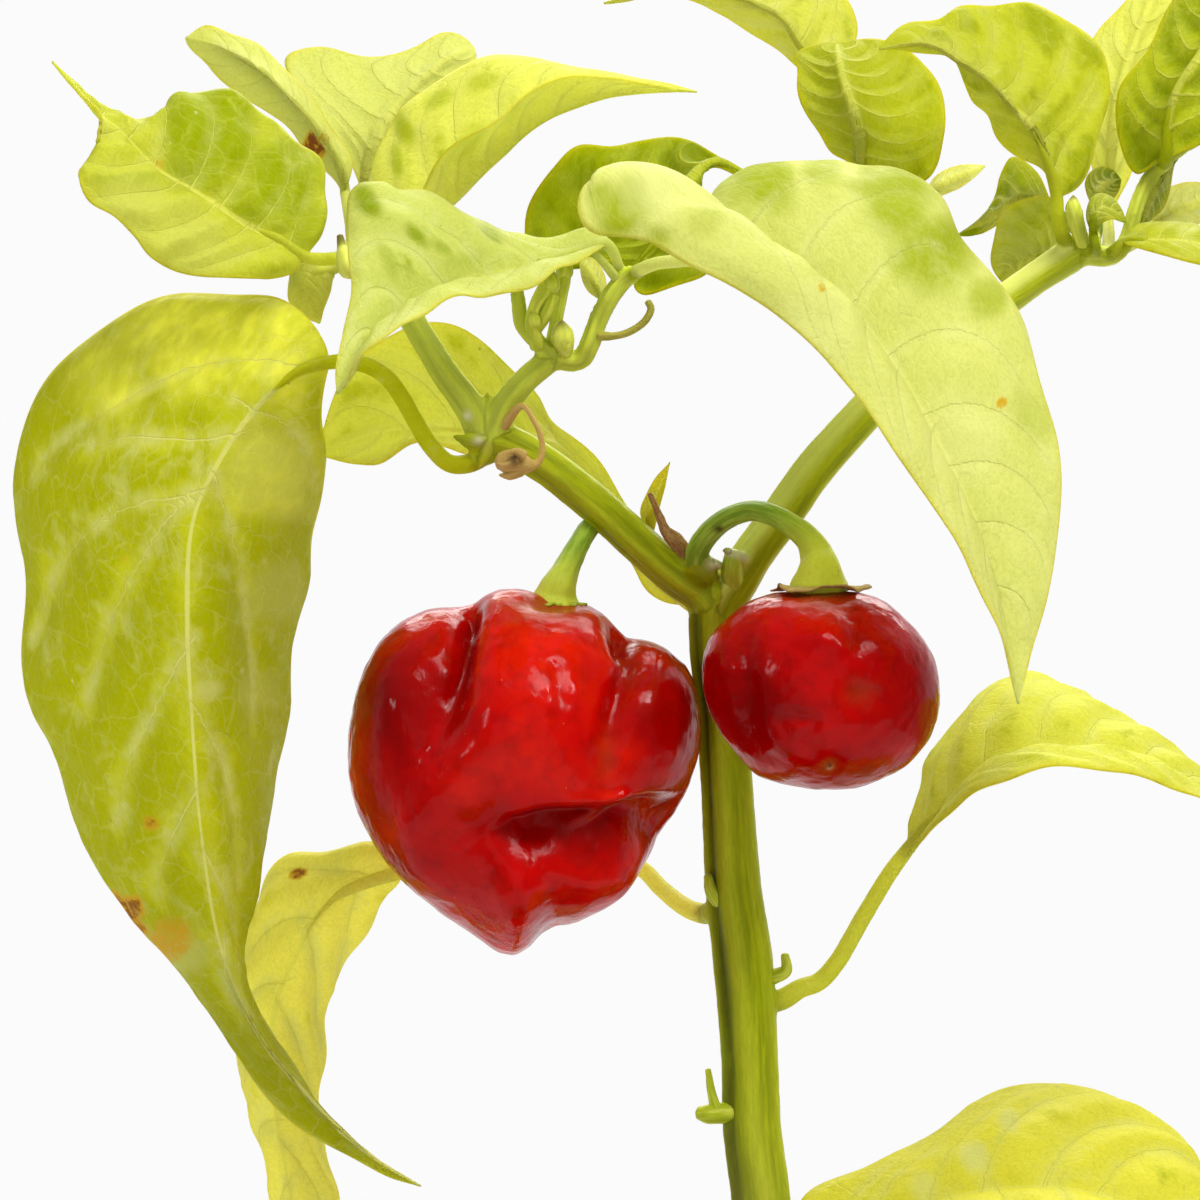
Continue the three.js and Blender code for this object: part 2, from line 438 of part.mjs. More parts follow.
      [255, 920, 21], [240, 960, 22], [241, 1000, 22], [242, 1060, 22], [245, 1099, 21], [255, 1130, 20],
      [265, 1159, 19], [271, 1200, 18], [283, 1250, 17], [298, 1300, 16], [318, 1345, 16], [330, 1365, 16]],
    m: [[402, 872, 12], [351, 888, 11], [319, 914, 11], [300, 949, 12], [281, 987, 13], [271, 1028, 14],
      [271, 1080, 14], [282, 1150, 14], [295, 1220, 14], [308, 1290, 15], [330, 1365, 16]],
    b: [[402, 876, 12], [395, 890, 14], [383, 904, 16], [360, 936, 18], [341, 971, 20], [328, 1012, 22],
      [322, 1048, 22], [319, 1083, 22], [322, 1115, 21], [328, 1156, 20], [335, 1200, 19], [340, 1260, 18],
      [338, 1310, 17], [330, 1365, 16]],
    stalk: [[716, 912, 1, 2.8], [704, 914, 3, 2.6], [688, 909, 6, 2.4], [663, 890, 12, 2.2], [640, 868, 17, 2.1],
      [590, 850, 20, 2.1], [530, 850, 20, 2.0], [470, 862, 18, 2.0], [428, 871, 14, 2.0], [402, 873, 12, 1.9],
      [388, 877, 12, 1.5]],
  },
  leaf_right_mid: {
    n: 9, k: 2, face: 1, bulge: [0.08, 0.1, 0.08, 0.02],
    a: [[905, 852, -2], [918, 813, 2], [931, 783, 5], [933, 767, 6], [951, 737, 8], [969, 706, 9], [987, 688, 10],
      [1000, 678, 10], [1035, 672, 10], [1058, 683, 9], [1081, 698, 8], [1099, 714, 7], [1130, 724, 6], [1155, 737, 4],
      [1181, 752, 2], [1200, 767, 0], [1235, 800, -3], [1262, 838, -6]],
    m: [[903, 856, -2], [930, 822, -5], [955, 792, -7], [985, 767, -9], [1020, 752, -10], [1060, 747, -10],
      [1100, 749, -10], [1140, 758, -9], [1180, 776, -8], [1225, 805, -7], [1262, 838, -6]],
    b: [[903, 860, -2], [925, 839, -6], [951, 813, -11], [976, 790, -15], [1007, 778, -18], [1043, 770, -19],
      [1089, 769, -19], [1130, 772, -18], [1168, 785, -16], [1200, 800, -13], [1235, 822, -10], [1262, 838, -6]],
    stalk: [[758, 1003, 0, 2.9], [780, 1000, 0, 2.7], [801, 988, -1, 2.4], [818, 982, -1, 2.3], [836, 963, -2, 2.2],
      [863, 917, -2, 2.1], [890, 873, -2, 2.0], [905, 853, -2, 1.8], [930, 822, -5, 1.4]],
  },
  leaf_lower_right: {
    n: 9, k: 2, face: 1, bulge: [0.06, 0.1, 0.08, 0.02],
    a: [[806, 1272, 0], [795, 1225, 3], [803, 1200, 5], [836, 1179, 8], [866, 1167, 10], [922, 1138, 13],
      [968, 1111, 15], [1012, 1089, 16], [1035, 1083, 16], [1065, 1083, 16], [1106, 1092, 15], [1157, 1119, 12],
      [1200, 1167, 8], [1240, 1220, 2], [1275, 1280, -5], [1290, 1330, -10]],
    m: [[806, 1275, 0], [850, 1240, -1], [900, 1215, -2], [960, 1195, -3], [1020, 1187, -4], [1080, 1190, -5],
      [1140, 1207, -6], [1190, 1236, -8], [1240, 1276, -9], [1290, 1330, -10]],
    b: [[806, 1278, 0], [825, 1290, -5], [870, 1300, -12], [930, 1295, -17], [1000, 1285, -20], [1070, 1285, -21],
      [1140, 1295, -20], [1200, 1310, -17], [1250, 1325, -13], [1290, 1330, -10]],
    stalk: [[768, 1392, 0, 2.8], [776, 1360, 0, 2.4], [786, 1318, 0, 2.2], [806, 1275, 0, 1.9], [850, 1240, -1, 1.4]],
  },
  leaf_upper_mid: {
    n: 9, k: 2, face: -1, bulge: [0.05, 0.1, 0.1, 0.03],
    a: [[858, 172, 19], [844, 160, 21], [831, 153, 23], [820, 134, 25], [806, 113, 26], [799, 96, 27], [797, 67, 29],
      [793, 55, 30], [802, 46, 31], [818, 44, 32], [836, 44, 33]],
    m: [[860, 172, 19], [860, 134, 17], [852, 105, 18], [844, 82, 21], [839, 59, 26], [836, 44, 33]],
    b: [[862, 172, 19], [890, 185, 20], [925, 182, 21], [937, 166, 22], [942, 145, 23], [946, 119, 25], [944, 96, 26],
      [936, 76, 28], [925, 65, 29], [910, 52, 31], [877, 40, 33], [856, 42, 34], [836, 44, 33]],
    stalk: [[922, 358, 2, 2.0], [910, 320, 6, 1.7], [890, 265, 12, 1.6], [868, 210, 17, 1.6], [860, 172, 19, 1.5],
      [860, 134, 17, 1.1]],
  },
  leaf_upper_far: {
    n: 8, k: 2, face: -1, bulge: [0.1, 0.1, 0.08, 0.02],
    a: [[838, 78, 37], [852, 50, 39], [858, 30, 40], [850, 5, 41], [830, -15, 42], [790, -28, 43], [745, -32, 43],
      [700, -26, 43], [650, -12, 43], [604, 3, 43]],
    m: [[836, 78, 37], [800, 46, 35], [783, 19, 35], [745, 0, 36], [700, -8, 38], [650, -5, 40], [604, 3, 43]],
    b: [[834, 80, 38], [797, 66, 41], [772, 48, 43], [737, 23, 44], [718, 11, 44], [699, 0, 44], [660, -2, 44],
      [604, 4, 43]],
    stalk: [[950, 334, 4, 2.0], [925, 270, 21, 1.7], [895, 200, 33, 1.6], [862, 130, 40, 1.6], [836, 78, 37, 1.4],
      [800, 46, 35, 1.1]],
  },
  leaf_upper_front: {
    n: 9, k: 2, face: -1, bulge: [0.03, 0.1, 0.1, 0.02],
    a: [[1056, 197, 1], [1040, 171, 4], [1019, 157, 6], [999, 137, 7], [988, 114, 8], [974, 104, 8], [967, 91, 8],
      [952, 61, 8], [940, 56, 8], [900, 48, 7], [879, 50, 6]],
    m: [[1057, 197, 0], [1047, 161, -1], [1033, 129, -2], [1011, 105, -2], [990, 82, -1], [961, 62, 1], [925, 44, 4],
      [879, 49, 6]],
    b: [[1059, 197, 1], [1074, 191, 3], [1083, 179, 5], [1092, 152, 7], [1099, 129, 9], [1106, 111, 10],
      [1110, 93, 11], [1104, 54, 12], [1092, 36, 13], [1065, 18, 13], [1033, 3, 13], [1011, 4, 12], [990, 9, 11],
      [958, 7, 10], [940, 20, 9], [910, 21, 8], [896, 29, 7], [879, 48, 6]],
    stalk: [[1068, 250, 3, 2.0], [1062, 232, 1, 1.8], [1058, 215, 0, 1.7], [1057, 197, 0, 1.6], [1047, 161, -1, 1.2]],
  },
  leaf_upper_right: {
    n: 9, k: 2, face: -1, bulge: [0.05, 0.1, 0.1, 0.02],
    a: [[1164, 158, 3], [1136, 175, 5], [1127, 166, 6], [1120, 148, 7], [1116, 121, 8], [1119, 88, 8], [1147, 54, 9],
      [1163, 16, 10], [1185, -20, 12], [1215, -50, 14], [1250, -70, 16]],
    m: [[1166, 156, 2], [1167, 125, 1], [1177, 89, 1], [1200, 57, 3], [1222, 15, 6], [1240, -30, 11], [1250, -70, 16]],
    b: [[1168, 158, 2], [1190, 148, 1], [1215, 138, 0], [1235, 115, 1], [1245, 85, 2], [1250, 40, 5], [1256, 0, 9],
      [1256, -40, 13], [1250, -70, 16]],
    stalk: [[1164, 164, 7, 1.8], [1165, 161, 4, 1.7], [1166, 156, 2, 1.6], [1167, 125, 1, 1.2]],
  },
  leaf_far_right: {
    n: 7, k: 2, face: -1, bulge: [0.08, 0.08, 0.04],
    a: [[1106, 215, 28], [1095, 180, 30], [1088, 140, 32], [1086, 90, 34], [1092, 40, 37], [1119, 9, 40],
      [1150, -25, 43], [1172, -60, 46]],
    m: [[1108, 216, 28], [1110, 170, 27], [1115, 120, 29], [1128, 65, 33], [1148, 10, 39], [1172, -60, 46]],
    b: [[1110, 215, 28], [1127, 180, 30], [1142, 140, 32], [1160, 95, 35], [1174, 50, 38], [1182, 0, 42],
      [1172, -60, 46]],
    stalk: [[1104, 256, 6, 1.8], [1108, 249, 14, 1.6], [1109, 234, 21, 1.6], [1108, 216, 28, 1.6],
      [1109, 202, 28, 1.3]],
  },
  leaf_node_left: {
    n: 6, face: -1, bulge: [0.1, 0.1, 0.03],
    a: [[1066, 241, 9], [1060, 215, 11], [1051, 196, 13], [1029, 198, 14], [1011, 205, 14], [1001, 214, 14],
      [995, 241, 13], [991, 259, 12], [993, 272, 11], [1001, 281, 10]],
    m: [[1066, 243, 9], [1045, 253, 8], [1025, 262, 8], [1012, 272, 9], [1001, 281, 10]],
    b: [[1066, 245, 9], [1056, 262, 11], [1038, 277, 12], [1016, 286, 12], [1001, 282, 10]],
    stalk: [[1070, 258, 5, 1.9], [1067, 251, 8, 1.6], [1066, 243, 9, 1.4], [1045, 253, 8, 1.1]],
  },
  leaf_node_behind: {
    n: 6, face: -1, bulge: [0.1, 0.1, 0.03],
    a: [[1052, 203, 21], [1036, 172, 23], [1011, 156, 24], [1004, 166, 24], [999, 179, 23], [993, 198, 22],
      [984, 213, 21], [972, 225, 20], [958, 234, 19]],
    m: [[1052, 205, 21], [1030, 197, 20], [1012, 203, 19], [993, 217, 19], [958, 235, 19]],
    b: [[1052, 207, 21], [1035, 211, 21], [1015, 215, 21], [999, 224, 20], [985, 232, 20], [972, 236, 19],
      [958, 236, 19]],
    stalk: [[1083, 241, 5, 1.7], [1078, 233, 12, 1.4], [1066, 221, 19, 1.3], [1052, 205, 21, 1.2], [1030, 197, 20, 0.9]],
  },
  leaf_node_right: {
    n: 9, face: 1, bulge: [0.08, 0.08, 0.03],
    a: [[1124, 240, 3], [1135, 230, 5], [1154, 226, 6], [1177, 223, 7], [1200, 226, 7], [1240, 235, 6], [1290, 262, 3]],
    m: [[1124, 242, 2], [1145, 240, 0], [1175, 241, -1], [1200, 245, -1], [1245, 252, 0], [1290, 262, 3]],
    b: [[1124, 244, 1], [1145, 250, -2], [1172, 257, -5], [1200, 262, -6], [1240, 266, -4], [1270, 267, 0],
      [1290, 263, 3]],
    stalk: [[1109, 256, 3, 1.7], [1115, 249, 2, 1.5], [1124, 242, 2, 1.4], [1145, 240, 0, 1.1]],
  },
  leaf_far_pale: {
    n: 6, k: 1, face: -1, bulge: [0.1, 0.1, 0.03],
    a: [[925, 198, 31], [932, 180, 32], [945, 170, 34], [962, 165, 35], [985, 165, 36]],
    m: [[925, 200, 31], [934, 190, 30], [948, 181, 32], [966, 174, 34], [985, 166, 36]],
    b: [[926, 202, 31], [940, 196, 32], [955, 190, 34], [970, 181, 35], [985, 167, 36]],
    stalk: [[962, 326, 4, 1.8], [958, 290, 14, 1.5], [944, 240, 26, 1.4], [925, 200, 31, 1.4], [929, 195, 31, 1.1]],
  },
  leaf_arm_dark: {
    n: 6, k: 1, face: -1, bulge: [0.1, 0.08, 0.03],
    a: [[1176, 158, 11], [1172, 172, 13], [1168, 188, 14], [1162, 205, 14], [1152, 218, 13], [1140, 228, 12]],
    m: [[1174, 158, 11], [1162, 174, 10], [1154, 190, 10], [1148, 208, 11], [1140, 228, 12]],
    b: [[1172, 158, 11], [1154, 168, 13], [1147, 186, 14], [1143, 206, 13], [1140, 227, 12]],
    stalk: [[1176, 152, 8, 1.4], [1175, 155, 10, 1.2], [1174, 158, 11, 1.2], [1170, 163, 11, 1.0]],
  },
  leaf_node_young: {
    n: 5, face: 1, bulge: [0.1, 0.1, 0.03],
    a: [[1092, 232, -1], [1085, 214, -1], [1088, 200, -1], [1100, 194, 0], [1112, 200, 0], [1122, 212, 0],
      [1126, 222, 0]],
    m: [[1093, 233, -1], [1094, 218, -3], [1101, 207, -3], [1112, 211, -2], [1126, 222, 0]],
    b: [[1095, 233, -1], [1103, 222, -3], [1112, 219, -3], [1120, 221, -2], [1126, 223, 0]],
    stalk: [[1096, 252, 2, 1.4], [1095, 243, -1.5, 1.3], [1093, 233, -1, 1.2], [1094, 219, -3, 1.0]],
  },
  leaf_node_dark: {
    n: 5, face: -1, bulge: [0.1, 0.1, 0.03],
    a: [[1096, 212, 12], [1087, 196, 13], [1085, 180, 14], [1094, 168, 15], [1108, 166, 15], [1120, 178, 15]],
    m: [[1098, 213, 12], [1098, 197, 11], [1103, 186, 12], [1120, 179, 15]],
    b: [[1100, 212, 12], [1110, 202, 13], [1118, 192, 14], [1121, 180, 15]],
    stalk: [[1095, 243, 5, 1.3], [1098, 230, 9, 1.2], [1098, 213, 12, 1.1], [1098, 197, 11, 0.9]],
  },
  leaf_pale_right: {
    n: 5, face: -1, bulge: [0.1, 0.1, 0.03],
    a: [[1150, 226, 20], [1152, 205, 21], [1165, 190, 22], [1185, 183, 23], [1210, 186, 24], [1235, 200, 26]],
    m: [[1152, 228, 20], [1168, 216, 19], [1185, 208, 20], [1208, 202, 22], [1235, 201, 26]],
    b: [[1154, 230, 20], [1172, 228, 21], [1192, 226, 22], [1214, 216, 24], [1235, 202, 26]],
    stalk: [[1120, 249, 6, 1.6], [1130, 246, 12, 1.4], [1140, 240, 17, 1.3], [1152, 228, 20, 1.2],
      [1168, 216, 19, 0.9]],
  },
  leaflet_curled: {
    n: 5, face: 1, bulge: [0.12, 0.1, 0.03],
    a: [[331, 268, 9], [322, 262, 9], [306, 259, 8], [292, 264, 7], [288, 281, 7], [289, 301, 7], [303, 316, 8],
      [319, 323, 9]],
    m: [[333, 270, 8], [318, 270, 5], [306, 278, 4], [305, 292, 4], [310, 308, 6], [319, 323, 9]],
    b: [[334, 273, 9], [330, 285, 8], [327, 296, 8], [324, 308, 8], [320, 323, 9]],
    stalk: [[354, 258, 6, 1.4], [345, 264, 8, 1.3], [333, 270, 8, 1.2], [318, 270, 5, 0.9]],
  },
  leaflet_pale: {
    n: 5, face: -1, bulge: [0.1, 0.1, 0.03],
    a: [[604, 300, 1], [606, 282, 2], [600, 266, 3], [590, 257, 4], [581, 262, 4]],
    m: [[602, 300, 1], [596, 285, 0], [590, 272, 1], [581, 263, 4]],
    b: [[600, 300, 1], [588, 291, 2], [582, 277, 3], [580, 264, 4]],
    stalk: [[597, 332, -2, 1.2], [600, 316, 0, 1.1], [602, 300, 1, 1.0], [596, 285, 0, 0.8]],
  },
  leaflet_yellow: {
    n: 6, face: 1, bulge: [0.08, 0.06, 0.02],
    a: [[646, 530, 2], [641, 511, 3], [647, 494, 3], [656, 477, 3], [670, 462, 3]],
    m: [[650, 532, 2], [650, 514, 1], [656, 496, 2], [663, 479, 3], [670, 462, 3]],
    b: [[654, 530, 2], [659, 508, 2], [665, 486, 3], [670, 463, 3]],
    stalk: [[664, 562, 0.5, 1.3], [656, 546, 1, 1.2], [650, 532, 2, 1.1], [650, 514, 1, 0.8]],
  },
  leaf_low_left: {
    n: 8, k: 2, face: 1, bulge: [0.06, 0.1, 0.08, 0.02],
    a: [[640, 1462, -20], [600, 1440, -16], [540, 1425, -14], [470, 1430, -16], [410, 1460, -22], [360, 1510, -32],
      [330, 1570, -44]],
    m: [[640, 1466, -21], [590, 1462, -26], [530, 1462, -32], [465, 1475, -38], [405, 1508, -42], [360, 1540, -44],
      [330, 1572, -45]],
    b: [[642, 1470, -22], [620, 1492, -34], [570, 1510, -46], [510, 1522, -53], [450, 1535, -56], [390, 1552, -53],
      [330, 1574, -46]],
    stalk: [[774, 1520, 0, 2.8], [750, 1505, -5, 2.4], [700, 1482, -13, 2.2], [640, 1466, -21, 1.9],
      [590, 1462, -26, 1.4]],
  },
  leaf_low_right: {
    n: 8, k: 2, face: 1, bulge: [0.06, 0.1, 0.08, 0.02],
    a: [[880, 1552, 18], [920, 1520, 24], [980, 1500, 30], [1050, 1500, 34], [1110, 1530, 36], [1150, 1580, 36],
      [1165, 1630, 34]],
    m: [[880, 1556, 17], [930, 1540, 16], [990, 1535, 17], [1050, 1545, 20], [1105, 1572, 25], [1140, 1602, 30],
      [1165, 1632, 34]],
    b: [[882, 1560, 16], [920, 1575, 6], [975, 1588, 0], [1035, 1600, 2], [1090, 1612, 10], [1130, 1625, 20],
      [1165, 1634, 33]],
    stalk: [[776, 1640, 0, 2.8], [800, 1610, 4, 2.4], [840, 1575, 11, 2.2], [880, 1556, 17, 1.9], [930, 1540, 16, 1.4]],
  },
  leaf_low_back: {
    n: 8, k: 2, face: -1, bulge: [0.06, 0.1, 0.08, 0.02],
    a: [[708, 1372, 34], [690, 1345, 42], [655, 1318, 52], [600, 1305, 62], [540, 1320, 70], [495, 1360, 76]],
    m: [[708, 1376, 34], [675, 1368, 40], [635, 1358, 48], [590, 1352, 58], [540, 1358, 68], [495, 1364, 76]],
    b: [[706, 1380, 34], [665, 1400, 34], [620, 1408, 38], [570, 1408, 46], [530, 1395, 58], [495, 1366, 76]],
    stalk: [[771, 1440, 0, 2.8], [765, 1420, 8, 2.4], [740, 1395, 20, 2.2], [708, 1376, 34, 1.9], [675, 1368, 40, 1.4]],
  },
};

// ---- small growths (u, v, depth, diameter) ----
const STALK_LARGE = [[712, 590, 2, 2.6], [690, 585, 4, 2.6], [668, 566, 5, 2.4], [640, 541, 5, 2.4], [614, 521, 4.6, 2.4],
  [594, 524, 2, 2.5], [578, 546, -2, 2.6], [566, 570, -5, 3.2], [558, 588, -7, 4.4], [555, 604, -7, 5.6]];
const STALK_SMALL = [[702, 575, -2, 3.2], [697, 553, -4, 2.9], [709, 533, -6, 2.8], [728, 518, -8, 2.6], [751, 511, -10, 2.5],
  [772, 515, -12, 2.6], [792, 526, -13, 2.8], [809, 540, -14, 3.2], [818, 558, -15, 4.2], [820, 575, -16, 6.4],
  [820, 584, -16, 9.0], [820, 589, -16, 12.2]];
const SMALL = {
  dried_flower: [[[500, 432, -1, 1.4], [522, 406, -4, 0.8], [533, 419, -5, 0.7], [542, 442, -5, 0.8], [540, 460, -5, 0.8],
    [533, 465, -5, 1.2], [520, 464, -6, 2.6], [508, 462, -6, 3.2], [500, 461, -6, 2.2]]],
  flower_bud_stalk: [[[552, 348, -2, 1.8], [556, 322, -3, 1.5], [560, 301, -3, 1.5], [564, 280, -3, 1.6],
    [565, 264, -3, 1.5]]],
  flower_buds: [[[538, 346, -3, 2.0], [532, 324, -5, 1.8], [536, 305, -6, 1.6], [545, 290, -6, 2.2], [551, 280, -6, 1.6]],
    [[536, 330, -4, 1.4], [547, 312, -6, 1.6], [553, 296, -6, 1.5]]],
  flower_bud_axil: [[[566, 352, -3, 1.6], [564, 342, -5, 2.6], [562, 332, -5, 2.6], [560, 325, -5, 1.6]]],
  hooked_flower_stalk: [[[600, 336, -4, 1.2], [614, 336, -5, 0.9], [629, 332, -5, 0.9], [644, 322, -5, 0.9],
    [651, 309, -5, 0.9], [648, 302, -5, 0.8]]],
  flower_bud_upper: [[[1083, 243, 2, 1.8], [1078, 228, 0, 1.9], [1074, 212, -1, 2.2], [1073, 202, -1, 1.4]]],
  bud_shoot_tip: [[[364, 264, 4, 1.6], [355, 271, 0, 2.0], [348, 268, -2, 2.6], [345, 257, -2, 2.2], [342, 247, -1, 1.2],
    [340, 236, -1, 0.8]]],
  dry_scar_fork: [[[690, 560, -1, 1.6], [676, 541, -2, 2.0], [666, 531, -2, 1.4], [657, 510, -2, 0.8],
    [650, 494, -2, 0.6]]],
  stub_fork: [[[735, 588, -1, 2.8], [732, 568, -3, 2.6], [734, 554, -3, 2.2]]],
  axil_bud_left: [[[722, 904, -1, 2.0], [711, 890, -2, 1.6], [708, 876, -2, 1.0]]],
  axil_bud_right: [[[770, 978, -1, 2.0], [786, 970, -2, 1.5], [785, 955, -2, 1.0]]],
  stub_lower_left: [[[732, 1112, -1, 2.6], [708, 1114, -2, 2.4], [699, 1113, -2, 1.6]],
    [[716, 1110, -2, 1.4], [711, 1090, -2, 1.0], [708, 1070, -2, 0.7]]],
};

// ---- building ----
const group = new THREE.Group();
group.name = "potted_chilli_plant";

function put(name, made, color, roughness, parent = group) {
  // a leaf stalk is thickened by a hair where its join with the blade would leave an edge that touches itself
  let s = null;
  for (const grow of [0, 0.02, 0.04, 0.06, 0.08, 0.1, 0.13]) if ((s ??= tidy(made(grow)))) break;
  if (!s) throw new Error(name + " isn't closed");
  const mesh = new THREE.Mesh(toGeometry(s), new THREE.MeshStandardMaterial({ color, roughness, metalness: 0 }));
  mesh.name = name;
  parent.add(mesh);
  return mesh;
}

// Pot: one turned shell with a rim band and three drain holes.
const slope = (z) => POT_BASE_R + ((POT_TOP_R - RIM_PROUD - POT_BASE_R) * z) / POT_HEIGHT;
const potProfile = [
  [0, 0], [POT_BASE_R - 1.2, 0], [POT_BASE_R, 1.2], [slope(POT_HEIGHT - RIM_HEIGHT), POT_HEIGHT - RIM_HEIGHT],
  [slope(POT_HEIGHT - RIM_HEIGHT) + RIM_PROUD - 0.8, POT_HEIGHT - RIM_HEIGHT + 0.6], [POT_TOP_R, POT_HEIGHT - 1.5],
  [POT_TOP_R - 1.5, POT_HEIGHT], [POT_TOP_R - 7.5, POT_HEIGHT], [POT_TOP_R - 9, POT_HEIGHT - 1.5],
  [slope(POT_FLOOR + 3) - POT_WALL, POT_FLOOR + 3], [slope(POT_FLOOR) - POT_WALL - 3, POT_FLOOR], [0, POT_FLOOR],
].map(([r, z]) => new THREE.Vector2(r, z));
function turned(profile, segments) {
  const g = new THREE.LatheGeometry(profile, segments);
  g.rotateX(Math.PI / 2);
  return toSolid(g);
}
let pot = turned(potProfile, POT_SEGMENTS);
for (let i = 0; i < 3; i++) {
  const hole = new THREE.CylinderGeometry(DRAIN_HOLE_R, DRAIN_HOLE_R, POT_FLOOR * 3, 12);
  hole.rotateX(Math.PI / 2);
  const a = ((90 + 120 * i) * Math.PI) / 180;
  hole.translate(DRAIN_RING_R * Math.cos(a), DRAIN_RING_R * Math.sin(a), POT_FLOOR / 2);
  pot = pot.subtract(toSolid(hole));
}

// Soil: fills the pot up to SOIL_TOP, a little lower at the wall, with a socket round the buried stem.
const inner = (z) => {
  const top = POT_TOP_R - 9, low = slope(POT_FLOOR + 3) - POT_WALL;
  return low + ((top - low) * (z - POT_FLOOR - 3)) / (POT_HEIGHT - 1.5 - POT_FLOOR - 3);
};
const soilProfile = [
  [0, POT_FLOOR + GAP], [slope(POT_FLOOR) - POT_WALL - 3.2 - GAP, POT_FLOOR + GAP],
  [inner(POT_FLOOR + 3.2) - GAP - 0.2, POT_FLOOR + 3.4], [inner(SOIL_TOP - 2.5) - GAP - 0.2, SOIL_TOP - 2.5],
  [inner(SOIL_TOP) - 5, SOIL_TOP - 1.2], [30, SOIL_TOP], [12, SOIL_TOP + 0.8], [0, SOIL_TOP + 1.2],
].map(([r, z]) => new THREE.Vector2(r, z));
let soil = turned(soilProfile, POT_SEGMENTS);

// Stem and branches, fused into one solid.
const stemTubes = (grow) =>
  Object.entries(STEM).map(([name, points]) =>
    tube(points, { sides: name === "main" ? 10 : 7, grow, step: name === "main" ? 16 : 8 }));
const stemPlain = stemTubes(0).reduce((x, y) => x.add(y));
const stemWide = stemTubes(GAP).reduce((x, y) => x.add(y));
soil = largest(soil.subtract(stemWide));
pot = largest(pot);
put("pot", () => pot, 0xb5653f, 0.85);
put("soil", () => soil, 0x3b2a20, 1.0);

// Pods and their stalks with the calyx.
const largePod = pod(LARGE_POD, { around: 30, rings: 6 }), largeWide = pod(LARGE_POD, { around: 30, rings: 6, grow: GAP });
const smallPod = pod(SMALL_POD, { around: 24, rings: 5 }), smallWide = pod(SMALL_POD, { around: 24, rings: 5, grow: GAP });
const plant = new THREE.Group();
plant.name = "plant";
group.add(plant);
put("stem", () => largest(stemPlain), 0x93a83a, 0.6, plant);
put("large_pod", () => largePod, 0xc8160c, 0.25, plant);
put("small_pod", () => smallPod, 0xc2120c, 0.22, plant);
put("large_pod_stalk", (grow) => largest(tube(STALK_LARGE, { step: 4, grow }).subtract(stemWide).subtract(largeWide)), 0x7d9a3c, 0.5, plant);
put("small_pod_stalk", (grow) => largest(tube(STALK_SMALL, { step: 3, grow }).subtract(stemWide).subtract(smallWide)), 0x8da545, 0.5, plant);

// Leaves, each fused with its own stalk.
for (const [name, leaf] of Object.entries(LEAVES)) {
  const blade = sheet(leafGrid(leaf), LEAF_T);
  put(name, (grow) => largest(blade.add(tube(leaf.stalk, { sides: 5, step: 9, grow })).subtract(stemWide)), 0xc9d44a, 0.55, plant);
}
for (const [name, tubes] of Object.entries(SMALL)) {
  put(name, (grow) => largest(tubes.map((t) => tube(t, { sides: 5, step: 3, grow })).reduce((x, y) => x.add(y)).subtract(stemWide)), 0xa9a05a, 0.7, plant);
}

export default group;
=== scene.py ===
"""The looks of a potted chilli pepper plant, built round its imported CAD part. Lengths in the data are millimetres."""

import math

import bpy
import numpy as np
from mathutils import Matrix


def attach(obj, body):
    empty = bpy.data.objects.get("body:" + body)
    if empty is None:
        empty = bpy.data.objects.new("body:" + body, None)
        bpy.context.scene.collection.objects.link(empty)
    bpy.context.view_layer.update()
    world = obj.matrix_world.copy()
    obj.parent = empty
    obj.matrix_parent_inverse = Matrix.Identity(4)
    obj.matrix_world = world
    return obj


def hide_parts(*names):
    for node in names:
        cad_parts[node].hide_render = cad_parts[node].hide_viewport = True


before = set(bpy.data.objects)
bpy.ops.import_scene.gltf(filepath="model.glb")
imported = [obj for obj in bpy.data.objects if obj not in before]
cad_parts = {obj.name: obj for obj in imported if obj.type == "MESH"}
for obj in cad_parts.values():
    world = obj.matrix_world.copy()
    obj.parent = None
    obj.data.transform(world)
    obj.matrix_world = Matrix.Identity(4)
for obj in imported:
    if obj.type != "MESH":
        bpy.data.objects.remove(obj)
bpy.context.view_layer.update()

# ---- driving dimensions (mm), the same as the CAD part's ----
VIEW_MM = 500.0
UNITS_PER_MM = 8.0
VIEW_X = -22.0
VIEW_Z = 284.0
POT_HEIGHT = 125.0
POT_TOP_R = 70.0
POT_BASE_R = 48.0
POT_WALL = 6.0
POT_FLOOR = 9.0
RIM_HEIGHT = 27.0
RIM_PROUD = 4.5
DRAIN_HOLE_R = 4.5
DRAIN_RING_R = 24.0
SOIL_TOP = 108.0

